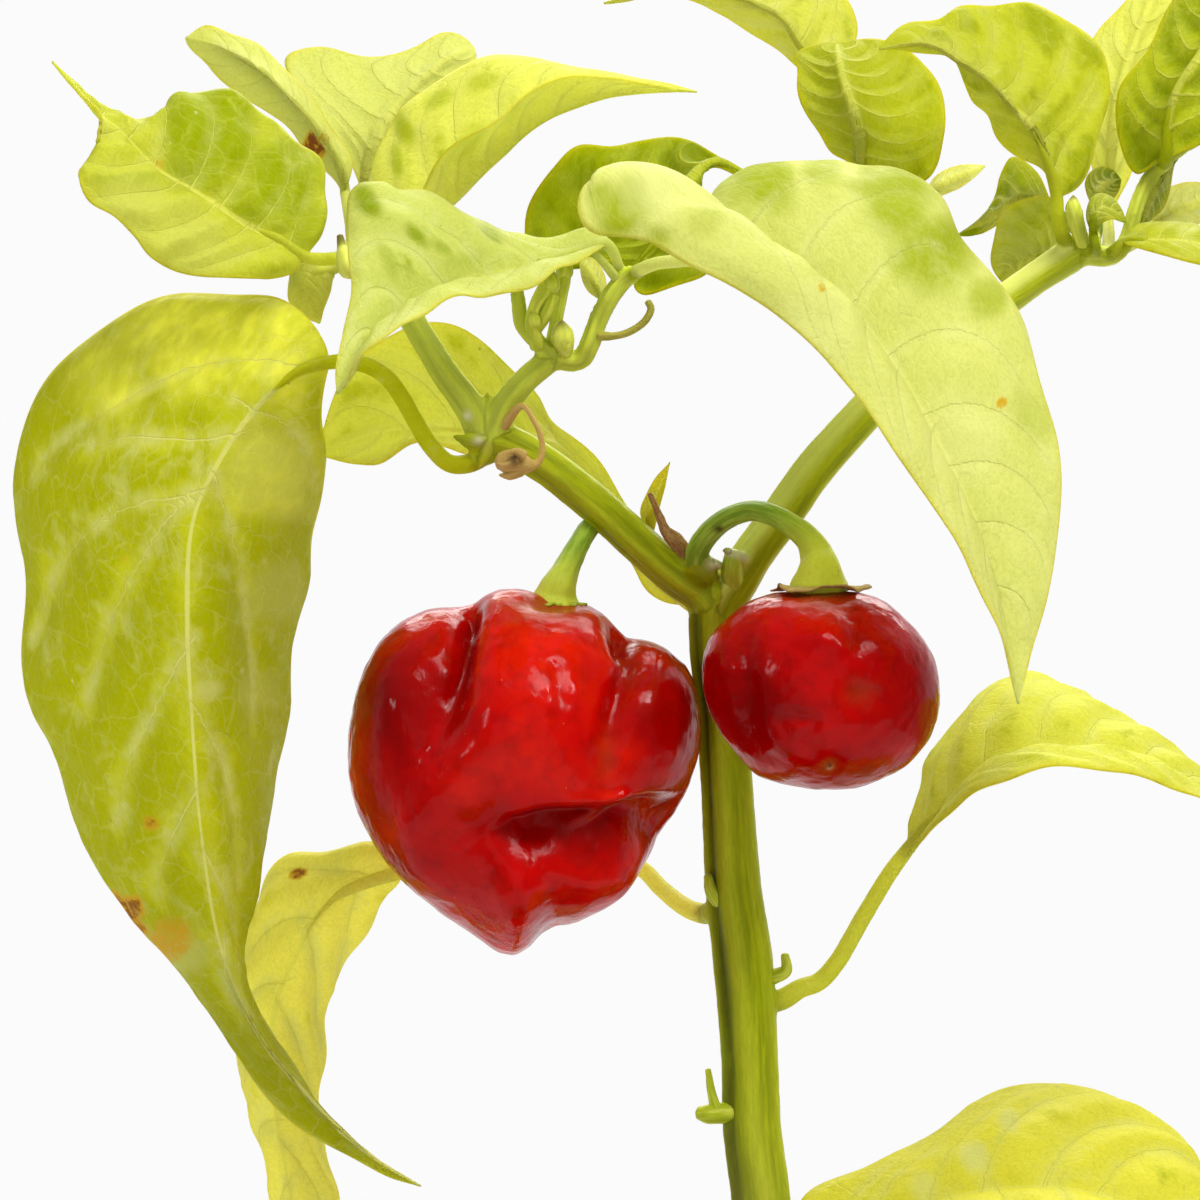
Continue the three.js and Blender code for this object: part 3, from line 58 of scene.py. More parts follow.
STEM = {
    "main": [(776, 2110, 0, 8.6), (776, 1960, 0, 9.4), (777, 1800, 0, 8.6), (775, 1600, 0, 8), (769, 1400, 0, 7.7), (760, 1200, 0, 7.4), (752, 1130, 0, 7.2), (750, 1055, 0, 7), (744, 960, 0, 7.5), (735, 889, 0, 7), (729, 800, 0, 6.5), (722, 700, 0, 6.3), (716, 650, 0, 6.4), (715, 596, 0, 6.6)],
    "branch_left": [(718, 610, 0, 5.6), (700, 590, 0, 5.4), (678, 576, 0, 5.2), (646, 549, 0, 5), (610, 516, 0, 4.9), (585, 495, 0, 4.9), (560, 475, 0, 4.8), (535, 458, 0, 4.8), (505, 443, 0, 4.9), (480, 436, 0, 4.2)],
    "branch_right": [(718, 612, 0, 5.6), (738, 580, 0, 5.4), (751, 558, 0, 5.2), (783, 514, 0, 5.1), (812, 472, 0, 5), (852, 426, 1, 4.9), (900, 375, 2, 4.7), (950, 335, 3, 4.5), (1000, 303, 4, 4.3), (1035, 278, 4, 4.1), (1086, 245, 4, 4.6)],
    "shoot_left": [(484, 436, 0, 4), (468, 405, 0, 3.9), (448, 378, 1, 3.6), (430, 350, 2, 3.4), (412, 320, 3, 3.3), (395, 288, 4, 3.2), (372, 262, 5, 3.2), (348, 252, 6, 3.4)],
    "shoot_middle": [(490, 440, 0, 3.6), (508, 401, -1, 3.4), (526, 379, -2, 3.2), (544, 364, -2, 3.2), (562, 350, -2, 3)],
    "arm_left": [(556, 358, -2, 2.4), (533, 338, -3, 2.2), (522, 325, -3, 2), (519, 310, -3, 2), (517, 291, -2, 1.8)],
    "arm_right": [(552, 358, -2, 2.8), (580, 360, -2, 2.6), (590, 345, -3, 2.5), (598, 322, -3, 2.4), (610, 298, -4, 2.4), (624, 280, -4, 2.4), (633, 273, -4, 2.2)],
    "side_arm": [(1076, 250, 4, 3), (1101, 257, 4, 2.6), (1115, 255, 4, 2.3), (1127, 239, 5, 2.1), (1135, 211, 5, 2), (1145, 186, 6, 2), (1161, 164, 7, 2), (1181, 148, 8, 1.9), (1215, 130, 9, 1.8)]}

LARGE_POD = {
    "middle": (525, 760),
    "depth": -7,
    "front": 19,
    "back": 18,
    "outline": [(349, 751), (353, 711), (363, 673), (380, 642), (400, 622), (429, 609), (462, 607), (474, 604), (484, 597), (501, 590), (518, 589), (538, 595), (550, 600), (573, 602), (590, 606), (604, 615), (616, 627), (626, 638), (644, 640), (667, 649), (685, 665), (696, 685), (700, 711), (700, 751), (693, 774), (682, 800), (664, 825), (656, 837), (647, 860), (633, 877), (616, 894), (596, 912), (578, 921), (555, 926), (541, 934), (531, 946), (515, 953), (498, 949), (478, 937), (461, 924), (438, 909), (415, 889), (395, 869), (372, 840), (357, 808), (350, 780)],
    "grooves": [{
        "line": [(470, 600), (465, 625), (461, 665), (452, 708), (432, 751)],
        "deep": 3.4,
        "wide": 2.2,
        "end": 0.35}, {
        "line": [(622, 634), (630, 665), (616, 702), (607, 736), (596, 774)],
        "deep": 2.6,
        "wide": 2,
        "end": 0.4}, {
        "line": [(505, 832), (545, 838), (600, 832), (650, 812)],
        "deep": 4.2,
        "wide": 3,
        "end": 0.6}]}

SMALL_POD = {
    "middle": (820, 690),
    "depth": -16,
    "front": 13.5,
    "back": 12.5,
    "outline": [(702, 685), (703, 655), (711, 636), (726, 619), (745, 603), (768, 594), (797, 591), (820, 590), (839, 591), (865, 594), (888, 603), (903, 617), (921, 636), (934, 659), (939, 687), (936, 718), (926, 744), (909, 763), (886, 777), (856, 787), (823, 789), (797, 787), (776, 783), (761, 777), (749, 769), (732, 750), (717, 725), (707, 704)],
    "grooves": [{
        "line": [(735, 640), (742, 700), (787, 782)],
        "deep": 0.8,
        "wide": 2,
        "end": 0.5}]}

LEAVES = {
    "leaf_left_big": {
        "n": 13,
        "k": 2,
        "face": 1,
        "bulge": (0.02, 0.07, 0.07, 0.05, 0.02),
        "a": [(330, 362, -2), (322, 335, -1), (287, 303, 3), (244, 297, 6), (169, 294, 9), (115, 316, 11), (57, 373, 12), (16, 451, 12), (14, 500, 12), (26, 594, 11), (30, 700, 10), (48, 741, 9), (83, 837, 8), (128, 898, 7), (166, 952, 6), (217, 1022, 4), (261, 1089, 2), (319, 1137, 0), (383, 1175, -2), (421, 1186, -3)],
        "m": [(330, 362, -2), (301, 370, -3), (253, 411, -5), (215, 468, -7), (192, 525, -9), (187, 623, -10), (191, 700, -10), (201, 828, -9), (223, 955, -6), (265, 1044, -4), (303, 1089, -3), (335, 1124, -3), (376, 1159, -3), (421, 1186, -3)],
        "b": [(330, 362, -2), (323, 388, 2), (321, 422, 6), (330, 457, 10), (324, 485, 12), (308, 528, 14), (311, 580, 15), (296, 623, 15), (282, 700, 15), (277, 748, 15), (266, 818, 14), (252, 885, 12), (238, 942, 10), (240, 985, 8), (255, 1022, 6), (277, 1054, 4), (300, 1086, 2), (344, 1140, -1), (383, 1169, -2), (421, 1186, -3)],
        "stalk": [(492, 450, 0, 2.6), (470, 463, 0, 2.4), (450, 463, -1, 2.3), (432, 447, -1, 2.2), (415, 420, -2, 2.1), (402, 397, -2, 2.1), (388, 378, -2, 2.1), (370, 366, -2, 2.1), (352, 362, -2, 2), (330, 362, -2, 1.8), (301, 370, -3, 1.4)]},
    "leaf_crinkled": {
        "n": 9,
        "k": 2,
        "face": 1,
        "bulge": (0.1, 0.12, 0.1, 0.04),
        "a": [(306, 256, 0), (325, 225, 2), (329, 195, 4), (325, 172, 5), (306, 152, 6), (288, 130, 6), (262, 109, 6), (224, 95, 6), (190, 89, 5), (170, 98, 4), (160, 127, 2), (133, 122, 0), (110, 108, -2), (90, 98, -3), (74, 83, -5), (52, 61, -7)],
        "m": [(306, 256, 0), (275, 237, -1), (237, 217, -2), (204, 196, -3), (166, 176, -4), (135, 150, -4), (107, 118, -5), (80, 92, -6), (52, 62, -7)],
        "b": [(306, 258, 0), (290, 276, -1), (275, 279, -3), (230, 278, -6), (184, 274, -8), (145, 255, -10), (138, 240, -10), (110, 212, -11), (87, 201, -11), (78, 173, -10), (97, 145, -8), (103, 124, -7), (80, 96, -7), (52, 63, -7)],
        "stalk": [(362, 258, 5, 1.8), (340, 258, 3, 1.7), (322, 259, 1, 1.7), (306, 257, 0, 1.6), (275, 237, -1, 1.2)]},
    "leaf_back_narrow": {
        "n": 6,
        "face": -1,
        "bulge": (0.1, 0.1, 0.02),
        "a": [(345, 192, 24), (353, 160, 26), (340, 136, 27), (320, 112, 28), (306, 94, 29), (275, 58, 31), (255, 40, 32), (224, 31, 33), (206, 26, 34), (186, 38, 34)],
        "m": [(345, 192, 23), (342, 170, 21), (314, 124, 20), (284, 92, 21), (257, 67, 24), (220, 47, 29), (186, 38, 34)],
        "b": [(343, 192, 24), (331, 179, 26), (320, 165, 27), (288, 127, 29), (266, 112, 30), (244, 100, 31), (224, 80, 32), (210, 65, 33), (188, 47, 34), (186, 38, 34)],
        "stalk": [(352, 252, 6, 1.8), (352, 236, 12, 1.6), (349, 214, 18, 1.5), (345, 192, 23, 1.4), (342, 170, 21, 1.1)]},
    "leaf_back_wide": {
        "n": 6,
        "face": -1,
        "bulge": (0.12, 0.1, 0.04),
        "a": [(362, 190, 31), (345, 150, 32), (318, 112, 33), (290, 75, 35), (283, 56, 36), (324, 46, 37), (364, 58, 37), (400, 54, 38), (427, 42, 39), (442, 31, 40), (465, 36, 40), (474, 48, 40)],
        "m": [(362, 190, 30), (372, 150, 29), (392, 110, 31), (420, 80, 33), (450, 58, 36), (474, 48, 40)],
        "b": [(364, 190, 31), (382, 172, 32), (405, 150, 33), (430, 125, 34), (452, 98, 36), (470, 72, 38), (477, 58, 39), (474, 48, 40)],
        "stalk": [(366, 258, 5, 1.8), (366, 240, 14, 1.6), (364, 215, 24, 1.5), (362, 190, 30, 1.4), (372, 150, 29, 1.1)]},
    "leaf_top_folded": {
        "n": 8,
        "k": 2,
        "face": 1,
        "bulge": (0.1, 0.08, 0.03),
        "a": [(398, 226, 6), (380, 202, 9), (373, 179, 10), (376, 153, 11), (387, 133, 12), (402, 107, 12), (422, 92, 12), (445, 76, 12), (486, 57, 11), (519, 57, 10), (545, 60, 9), (575, 67, 8), (606, 71, 7), (639, 78, 6), (670, 84, 4), (697, 92, 3)],
        "m": [(398, 226, 6), (420, 218, 4), (448, 204, 2), (484, 168, 0), (504, 150, 0), (522, 133, 0), (545, 117, 0), (568, 107, 1), (606, 95, 2), (644, 91, 3), (683, 91, 3), (697, 92, 3)],
        "b": [(400, 226, 5), (408, 208, 0), (422, 191, -5), (435, 163, -8), (453, 145, -10), (484, 130, -11), (504, 117, -11), (519, 99, -10), (542, 84, -8), (570, 75, -4), (606, 77, -1), (650, 84, 2), (697, 92, 3)],
        "stalk": [(384, 272, 4, 2), (386, 254, 6, 1.8), (390, 240, 7, 1.6), (398, 226, 6, 1.5), (420, 218, 4, 1.2)]},
    "leaf_left_near": {
        "n": 9,
        "k": 2,
        "face": 1,
        "bulge": (0.1, 0.12, 0.12, 0.03),
        "a": [(607, 238, -5), (596, 229, -3), (560, 244, -3), (540, 246, -4), (514, 241, -4), (496, 236, -5), (479, 223, -6), (446, 206, -8), (424, 194, -10), (400, 194, -12), (378, 189, -14), (369, 180, -16), (350, 190, -19), (346, 216, -22), (350, 266, -29), (352, 291, -33), (346, 316, -37), (340, 346, -41), (335, 370, -44), (337, 394, -46)],
        "m": [(607, 241, -6), (590, 247, -8), (540, 262, -12), (500, 272, -16), (470, 282, -20), (440, 293, -24), (410, 305, -29), (385, 322, -34), (365, 345, -39), (350, 370, -43), (337, 394, -46)],
        "b": [(607, 245, -7), (585, 257, -12), (560, 269, -16), (545, 281, -19), (532, 288, -22), (494, 293, -28), (466, 298, -33), (441, 305, -37), (426, 313, -40), (399, 324, -44), (383, 337, -47), (366, 354, -48), (350, 383, -47), (337, 394, -46)],
        "stalk": [(622, 282, -4, 1.5), (618, 264, -5, 1.3), (612, 250, -6, 1.4), (604, 243, -7, 1.6), (585, 249, -8, 1.5), (540, 262, -12, 1.1)]},
    "leaf_right_big": {
        "n": 15,
        "k": 2,
        "face": 1,
        "bulge": (0.16, 0.16, 0.12, 0.1, 0.06, 0.02),
        "a": [(722, 238, -19), (712, 222, -15), (706, 204, -11), (713, 188, -9), (725, 180, -8, 0.05), (743, 170, -7), (772, 163, -6), (802, 158, -5), (833, 157, -5), (864, 168, -5), (887, 170, -5, 0.26), (910, 178, -6), (929, 189, -7), (944, 203, -8), (952, 220, -9), (959, 235, -10), (990, 270, -13), (1020, 310, -16), (1040, 370, -20, 0.54), (1055, 450, -24), (1060, 520, -28), (1050, 590, -32), (1030, 660, -35), (1018, 704, -36)],
        "m": [(722, 240, -20), (745, 244, -20), (775, 256, -21), (800, 270, -22), (830, 290, -23), (870, 330, -25), (905, 380, -27), (930, 425, -29), (960, 485, -31), (985, 550, -33), (1005, 630, -35), (1018, 704, -36)],
        "b": [(722, 242, -21), (708, 216, -23), (690, 200, -24), (661, 193, -26), (636, 175, -30), (616, 167, -34), (596, 164, -37), (582, 172, -40, 0.035), (574, 195, -43), (580, 228, -44, 0.06), (600, 236, -43), (636, 238, -41), (652, 245, -40), (687, 268, -39, 0.15), (725, 284, -38), (761, 304, -37, 0.26), (790, 325, -36), (820, 350, -36, 0.38), (860, 400, -36), (890, 450, -37, 0.54), (930, 500, -37), (960, 545, -38), (985, 600, -38), (1000, 640, -38), (1012, 682, -37), (1018, 704, -36)],
        "stalk": [(628, 277, -4, 1.9), (640, 270, -6, 1.7), (655, 264, -9, 1.6), (680, 261, -13, 1.6), (702, 258, -17, 1.6), (722, 243, -20, 1.6), (745, 244, -20, 1.5), (775, 256, -21, 1.2)]},
    "leaf_right_dark": {
        "n": 9,
        "k": 2,
        "face": -1,
        "bulge": (0.12, 0.14, 0.1, 0.02),
        "a": [(632, 272, 0), (600, 262, 4), (560, 262, 6), (530, 255, 8), (525, 235, 10), (527, 209, 12), (539, 186, 13), (554, 168, 14), (577, 146, 15), (611, 146, 15), (639, 137, 15), (675, 135, 15), (705, 151, 14), (737, 171, 12), (757, 184, 11)],
        "m": [(632, 272, 0), (655, 245, 0), (674, 215, 1), (688, 188, 3), (700, 170, 6), (716, 161, 8), (737, 169, 10), (757, 184, 11)],
        "b": [(634, 274, -1), (637, 290, -1), (655, 290, -2), (687, 283, -2), (709, 274, -1), (724, 255, 0), (718, 225, 1), (702, 200, 2), (694, 188, 4), (702, 174, 6), (716, 168, 8), (737, 176, 10), (757, 185, 11)],
        "stalk": [(618, 286, -4, 1.8), (624, 280, -2, 1.6), (632, 272, 0, 1.5), (655, 245, 0, 1.2)]},
    "leaf_behind_branch": {
        "n": 9,
        "k": 2,
        "face": -1,
        "bulge": (0.05, 0.1, 0.1, 0.02),
        "a": [(684, 600, 9), (660, 556, 11), (640, 525, 12), (623, 500, 13), (601, 462, 15), (570, 434, 17), (550, 419, 18), (540, 396, 19), (512, 370, 20), (484, 342, 21), (463, 328, 22), (443, 322, 22), (420, 322, 22), (395, 332, 22), (365, 352, 23), (342, 380, 23), (330, 410, 23), (322, 436, 22), (318, 455, 21)],
        "m": [(684, 602, 9), (655, 572, 10), (630, 533, 11), (600, 493, 12), (570, 460, 13), (535, 440, 14), (490, 430, 15), (440, 426, 16), (395, 430, 17), (355, 441, 19), (318, 455, 21)],
        "b": [(682, 604, 10), (668, 604, 10), (646, 591, 10), (631, 562, 11), (610, 540, 11), (580, 505, 11), (550, 480, 12), (510, 462, 13), (470, 452, 14), (440, 445, 15), (415, 443, 15), (392, 458, 16), (379, 466, 16), (351, 463, 18), (331, 459, 20), (318, 455, 21)],
        "stalk": [(714, 610, 0, 1.9), (702, 612, 6, 1.6), (684, 602, 9, 1.5), (655, 572, 10, 1.2)]},
    "leaf_lower_left": {
        "n": 9,
        "k": 2,
        "face": 1,
        "bulge": (0.1, 0.1, 0.08, 0.02),
        "a": [(402, 868, 12), (373, 840, 14), (351, 845, 15), (319, 850, 17), (293, 850, 18), (277, 866, 19), (265, 891, 20), (255, 920, 21), (240, 960, 22), (241, 1000, 22), (242, 1060, 22), (245, 1099, 21), (255, 1130, 20), (265, 1159, 19), (271, 1200, 18), (283, 1250, 17), (298, 1300, 16), (318, 1345, 16), (330, 1365, 16)],
        "m": [(402, 872, 12), (351, 888, 11), (319, 914, 11), (300, 949, 12), (281, 987, 13), (271, 1028, 14), (271, 1080, 14), (282, 1150, 14), (295, 1220, 14), (308, 1290, 15), (330, 1365, 16)],
        "b": [(402, 876, 12), (395, 890, 14), (383, 904, 16), (360, 936, 18), (341, 971, 20), (328, 1012, 22), (322, 1048, 22), (319, 1083, 22), (322, 1115, 21), (328, 1156, 20), (335, 1200, 19), (340, 1260, 18), (338, 1310, 17), (330, 1365, 16)],
        "stalk": [(716, 912, 1, 2.8), (704, 914, 3, 2.6), (688, 909, 6, 2.4), (663, 890, 12, 2.2), (640, 868, 17, 2.1), (590, 850, 20, 2.1), (530, 850, 20, 2), (470, 862, 18, 2), (428, 871, 14, 2), (402, 873, 12, 1.9), (353, 888, 11, 1.5)]},
    "leaf_right_mid": {
        "n": 9,
        "k": 2,
        "face": 1,
        "bulge": (0.08, 0.1, 0.08, 0.02),
        "a": [(905, 852, -2), (918, 813, 2), (931, 783, 5), (933, 767, 6), (951, 737, 8), (969, 706, 9), (987, 688, 10), (1000, 678, 10), (1035, 672, 10), (1058, 683, 9), (1081, 698, 8), (1099, 714, 7), (1130, 724, 6), (1155, 737, 4), (1181, 752, 2), (1200, 767, 0), (1235, 800, -3), (1262, 838, -6)],
        "m": [(903, 856, -2), (930, 822, -5), (955, 792, -7), (985, 767, -9), (1020, 752, -10), (1060, 747, -10), (1100, 749, -10), (1140, 758, -9), (1180, 776, -8), (1225, 805, -7), (1262, 838, -6)],
        "b": [(903, 860, -2), (925, 839, -6), (951, 813, -11), (976, 790, -15), (1007, 778, -18), (1043, 770, -19), (1089, 769, -19), (1130, 772, -18), (1168, 785, -16), (1200, 800, -13), (1235, 822, -10), (1262, 838, -6)],
        "stalk": [(758, 1003, 0, 2.9), (780, 1000, 0, 2.7), (801, 988, -1, 2.4), (818, 982, -1, 2.3), (836, 963, -2, 2.2), (863, 917, -2, 2.1), (890, 873, -2, 2), (905, 853, -2, 1.8), (930, 822, -5, 1.4)]},
    "leaf_lower_right": {
        "n": 9,
        "k": 2,
        "face": 1,
        "bulge": (0.06, 0.1, 0.08, 0.02),
        "a": [(806, 1272, 0), (795, 1225, 3), (803, 1200, 5), (836, 1179, 8), (866, 1167, 10), (922, 1138, 13), (968, 1111, 15), (1012, 1089, 16), (1035, 1083, 16), (1065, 1083, 16), (1106, 1092, 15), (1157, 1119, 12), (1200, 1167, 8), (1240, 1220, 2), (1275, 1280, -5), (1290, 1330, -10)],
        "m": [(806, 1275, 0), (850, 1240, -1), (900, 1215, -2), (960, 1195, -3), (1020, 1187, -4), (1080, 1190, -5), (1140, 1207, -6), (1190, 1236, -8), (1240, 1276, -9), (1290, 1330, -10)],
        "b": [(806, 1278, 0), (825, 1290, -5), (870, 1300, -12), (930, 1295, -17), (1000, 1285, -20), (1070, 1285, -21), (1140, 1295, -20), (1200, 1310, -17), (1250, 1325, -13), (1290, 1330, -10)],
        "stalk": [(768, 1392, 0, 2.8), (776, 1360, 0, 2.4), (786, 1318, 0, 2.2), (806, 1275, 0, 1.9), (850, 1240, -1, 1.4)]},
    "leaf_upper_mid": {
        "n": 9,
        "k": 2,
        "face": -1,
        "bulge": (0.05, 0.1, 0.1, 0.03),
        "a": [(858, 172, 19), (844, 160, 21), (831, 153, 23), (820, 134, 25), (806, 113, 26), (799, 96, 27), (797, 67, 29), (793, 55, 30), (802, 46, 31), (818, 44, 32), (836, 44, 33)],
        "m": [(860, 172, 19), (860, 134, 17), (852, 105, 18), (844, 82, 21), (839, 59, 26), (836, 44, 33)],
        "b": [(862, 172, 19), (890, 185, 20), (925, 182, 21), (937, 166, 22), (942, 145, 23), (946, 119, 25), (944, 96, 26), (936, 76, 28), (925, 65, 29), (910, 52, 31), (877, 40, 33), (856, 42, 34), (836, 44, 33)],
        "stalk": [(922, 358, 2, 2), (910, 320, 6, 1.7), (890, 265, 12, 1.6), (868, 210, 17, 1.6), (860, 172, 19, 1.5), (860, 134, 17, 1.1)]},
    "leaf_upper_far": {
        "n": 8,
        "k": 2,
        "face": -1,
        "bulge": (0.1, 0.1, 0.08, 0.02),
        "a": [(838, 78, 37), (852, 50, 39), (858, 30, 40), (850, 5, 41), (830, -15, 42), (790, -28, 43), (745, -32, 43), (700, -26, 43), (650, -12, 43), (604, 3, 43)],
        "m": [(836, 78, 37), (800, 46, 35), (783, 19, 35), (745, 0, 36), (700, -8, 38), (650, -5, 40), (604, 3, 43)],
        "b": [(834, 80, 38), (797, 66, 41), (772, 48, 43), (737, 23, 44), (718, 11, 44), (699, 0, 44), (660, -2, 44), (604, 4, 43)],
        "stalk": [(950, 334, 4, 2), (925, 270, 21, 1.7), (895, 200, 33, 1.6), (862, 130, 40, 1.6), (836, 78, 37, 1.4), (800, 46, 35, 1.1)]},
    "leaf_upper_front": {
        "n": 9,
        "k": 2,
        "face": -1,
        "bulge": (0.03, 0.1, 0.1, 0.02),
        "a": [(1056, 197, 1), (1040, 171, 4), (1019, 157, 6), (999, 137, 7), (988, 114, 8), (974, 104, 8), (967, 91, 8), (952, 61, 8), (940, 56, 8), (900, 48, 7), (879, 50, 6)],
        "m": [(1057, 197, 0), (1047, 161, -1), (1033, 129, -2), (1011, 105, -2), (990, 82, -1), (961, 62, 1), (925, 44, 4), (879, 49, 6)],
        "b": [(1059, 197, 1), (1074, 191, 3), (1083, 179, 5), (1092, 152, 7), (1099, 129, 9), (1106, 111, 10), (1110, 93, 11), (1104, 54, 12), (1092, 36, 13), (1065, 18, 13), (1033, 3, 13), (1011, 4, 12), (990, 9, 11), (958, 7, 10), (940, 20, 9), (910, 21, 8), (896, 29, 7), (879, 48, 6)],
        "stalk": [(1068, 250, 3, 2), (1062, 232, 1, 1.8), (1058, 215, 0, 1.7), (1057, 197, 0, 1.6), (1047, 161, -1, 1.2)]},
    "leaf_upper_right": {
        "n": 9,
        "k": 2,
        "face": -1,
        "bulge": (0.05, 0.1, 0.1, 0.02),
        "a": [(1164, 158, 3), (1136, 175, 5), (1127, 166, 6), (1120, 148, 7), (1116, 121, 8), (1119, 88, 8), (1147, 54, 9), (1163, 16, 10), (1185, -20, 12), (1215, -50, 14), (1250, -70, 16)],
        "m": [(1166, 156, 2), (1167, 125, 1), (1177, 89, 1), (1200, 57, 3), (1222, 15, 6), (1240, -30, 11), (1250, -70, 16)],
        "b": [(1168, 158, 2), (1190, 148, 1), (1215, 138, 0), (1235, 115, 1), (1245, 85, 2), (1250, 40, 5), (1256, 0, 9), (1256, -40, 13), (1250, -70, 16)],
        "stalk": [(1164, 164, 7, 1.8), (1165, 161, 4, 1.7), (1166, 156, 2, 1.6), (1167, 125, 1, 1.2)]},
    "leaf_far_right": {
        "n": 6,
        "face": -1,
        "bulge": (0.1, 0.1, 0.03),
        "a": [(1106, 215, 28), (1095, 180, 30), (1088, 140, 32), (1086, 90, 34), (1092, 40, 37), (1119, 9, 40), (1150, -25, 43), (1172, -60, 46)],
        "m": [(1108, 216, 28), (1110, 170, 27), (1115, 120, 29), (1128, 65, 33), (1148, 10, 39), (1172, -60, 46)],
        "b": [(1110, 215, 28), (1127, 180, 30), (1142, 140, 32), (1160, 95, 35), (1174, 50, 38), (1182, 0, 42), (1172, -60, 46)],
        "stalk": [(1104, 256, 6, 1.8), (1108, 249, 14, 1.6), (1109, 234, 21, 1.6), (1108, 216, 28, 1.5), (1110, 170, 27, 1.1)]},
    "leaf_node_left": {
        "n": 6,
        "face": -1,
        "bulge": (0.1, 0.1, 0.03),
        "a": [(1066, 241, 9), (1060, 215, 11), (1051, 196, 13), (1029, 198, 14), (1011, 205, 14), (1001, 214, 14), (995, 241, 13), (991, 259, 12), (993, 272, 11), (1001, 281, 10)],
        "m": [(1066, 243, 9), (1045, 253, 8), (1025, 262, 8), (1012, 272, 9), (1001, 281, 10)],
        "b": [(1066, 245, 9), (1056, 262, 11), (1038, 277, 12), (1016, 286, 12), (1001, 282, 10)],
        "stalk": [(1070, 258, 5, 1.9), (1067, 251, 8, 1.6), (1066, 243, 9, 1.4), (1045, 253, 8, 1.1)]},
    "leaf_node_behind": {
        "n": 6,
        "face": -1,
        "bulge": (0.1, 0.1, 0.03),
        "a": [(1052, 203, 21), (1036, 172, 23), (1011, 156, 24), (1004, 166, 24), (999, 179, 23), (993, 198, 22), (984, 213, 21), (972, 225, 20), (958, 234, 19)],
        "m": [(1052, 205, 21), (1030, 197, 20), (1012, 203, 19), (993, 217, 19), (958, 235, 19)],
        "b": [(1052, 207, 21), (1035, 211, 21), (1015, 215, 21), (999, 224, 20), (985, 232, 20), (972, 236, 19), (958, 236, 19)],
        "stalk": [(1083, 241, 5, 1.7), (1078, 233, 12, 1.4), (1066, 221, 19, 1.3), (1052, 205, 21, 1.2), (1030, 197, 20, 0.9)]},
    "leaf_node_right": {
        "n": 9,
        "face": 1,
        "bulge": (0.08, 0.08, 0.03),
        "a": [(1124, 240, 3), (1135, 230, 5), (1154, 226, 6), (1177, 223, 7), (1200, 226, 7), (1240, 235, 6), (1290, 262, 3)],
        "m": [(1124, 242, 2), (1145, 240, 0), (1175, 241, -1), (1200, 245, -1), (1245, 252, 0), (1290, 262, 3)],
        "b": [(1124, 244, 1), (1145, 250, -2), (1172, 257, -5), (1200, 262, -6), (1240, 266, -4), (1270, 267, 0), (1290, 263, 3)],
        "stalk": [(1109, 256, 3, 1.7), (1115, 249, 2, 1.5), (1124, 242, 2, 1.4), (1145, 240, 0, 1.1)]},
    "leaf_far_pale": {
        "n": 5,
        "face": -1,
        "bulge": (0.1, 0.1, 0.03),
        "a": [(925, 198, 31), (932, 180, 32), (945, 170, 34), (962, 165, 35), (985, 165, 36)],
        "m": [(925, 200, 31), (934, 190, 30), (948, 181, 32), (966, 174, 34), (985, 166, 36)],
        "b": [(926, 202, 31), (940, 196, 32), (955, 190, 34), (970, 181, 35), (985, 167, 36)],
        "stalk": [(962, 326, 4, 1.8), (958, 290, 14, 1.5), (944, 240, 26, 1.4), (925, 200, 31, 1.3), (934, 190, 30, 1)]},
    "leaf_arm_dark": {
        "n": 5,
        "face": -1,
        "bulge": (0.1, 0.08, 0.03),
        "a": [(1176, 158, 11), (1172, 172, 13), (1168, 188, 14), (1162, 205, 14), (1152, 218, 13), (1140, 228, 12)],
        "m": [(1174, 158, 11), (1162, 174, 10), (1154, 190, 10), (1148, 208, 11), (1140, 228, 12)],
        "b": [(1172, 158, 11), (1154, 168, 13), (1147, 186, 14), (1143, 206, 13), (1140, 227, 12)],
        "stalk": [(1176, 152, 8, 1.4), (1175, 155, 10, 1.2), (1174, 158, 11, 1.1), (1162, 174, 10, 0.9)]},
    "leaf_node_young": {
        "n": 5,
        "face": 1,
        "bulge": (0.1, 0.1, 0.03),
        "a": [(1092, 232, -1), (1085, 214, -1), (1088, 200, -1), (1100, 194, 0), (1112, 200, 0), (1122, 212, 0), (1126, 222, 0)],
        "m": [(1093, 233, -1), (1094, 218, -3), (1101, 207, -3), (1112, 211, -2), (1126, 222, 0)],
        "b": [(1095, 233, -1), (1103, 222, -3), (1112, 219, -3), (1120, 221, -2), (1126, 223, 0)],
        "stalk": [(1096, 253, 2, 1.4), (1095, 243, -2, 1.2), (1093, 233, -1, 1.1), (1094, 218, -3, 0.9)]},
    "leaf_node_dark": {
        "n": 5,
        "face": -1,
        "bulge": (0.1, 0.1, 0.03),
        "a": [(1096, 212, 12), (1087, 196, 13), (1085, 180, 14), (1094, 168, 15), (1108, 166, 15), (1120, 178, 15)],
        "m": [(1098, 213, 12), (1098, 197, 11), (1103, 186, 12), (1120, 179, 15)],
        "b": [(1100, 212, 12), (1110, 202, 13), (1118, 192, 14), (1121, 180, 15)],
        "stalk": [(1095, 243, 5, 1.3), (1098, 230, 9, 1.2), (1098, 213, 12, 1.1), (1098, 197, 11, 0.9)]},
    "leaf_pale_right": {
        "n": 5,
        "face": -1,
        "bulge": (0.1, 0.1, 0.03),
        "a": [(1150, 226, 20), (1152, 205, 21), (1165, 190, 22), (1185, 183, 23), (1210, 186, 24), (1235, 200, 26)],
        "m": [(1152, 228, 20), (1168, 216, 19), (1185, 208, 20), (1208, 202, 22), (1235, 201, 26)],
        "b": [(1154, 230, 20), (1172, 228, 21), (1192, 226, 22), (1214, 216, 24), (1235, 202, 26)],
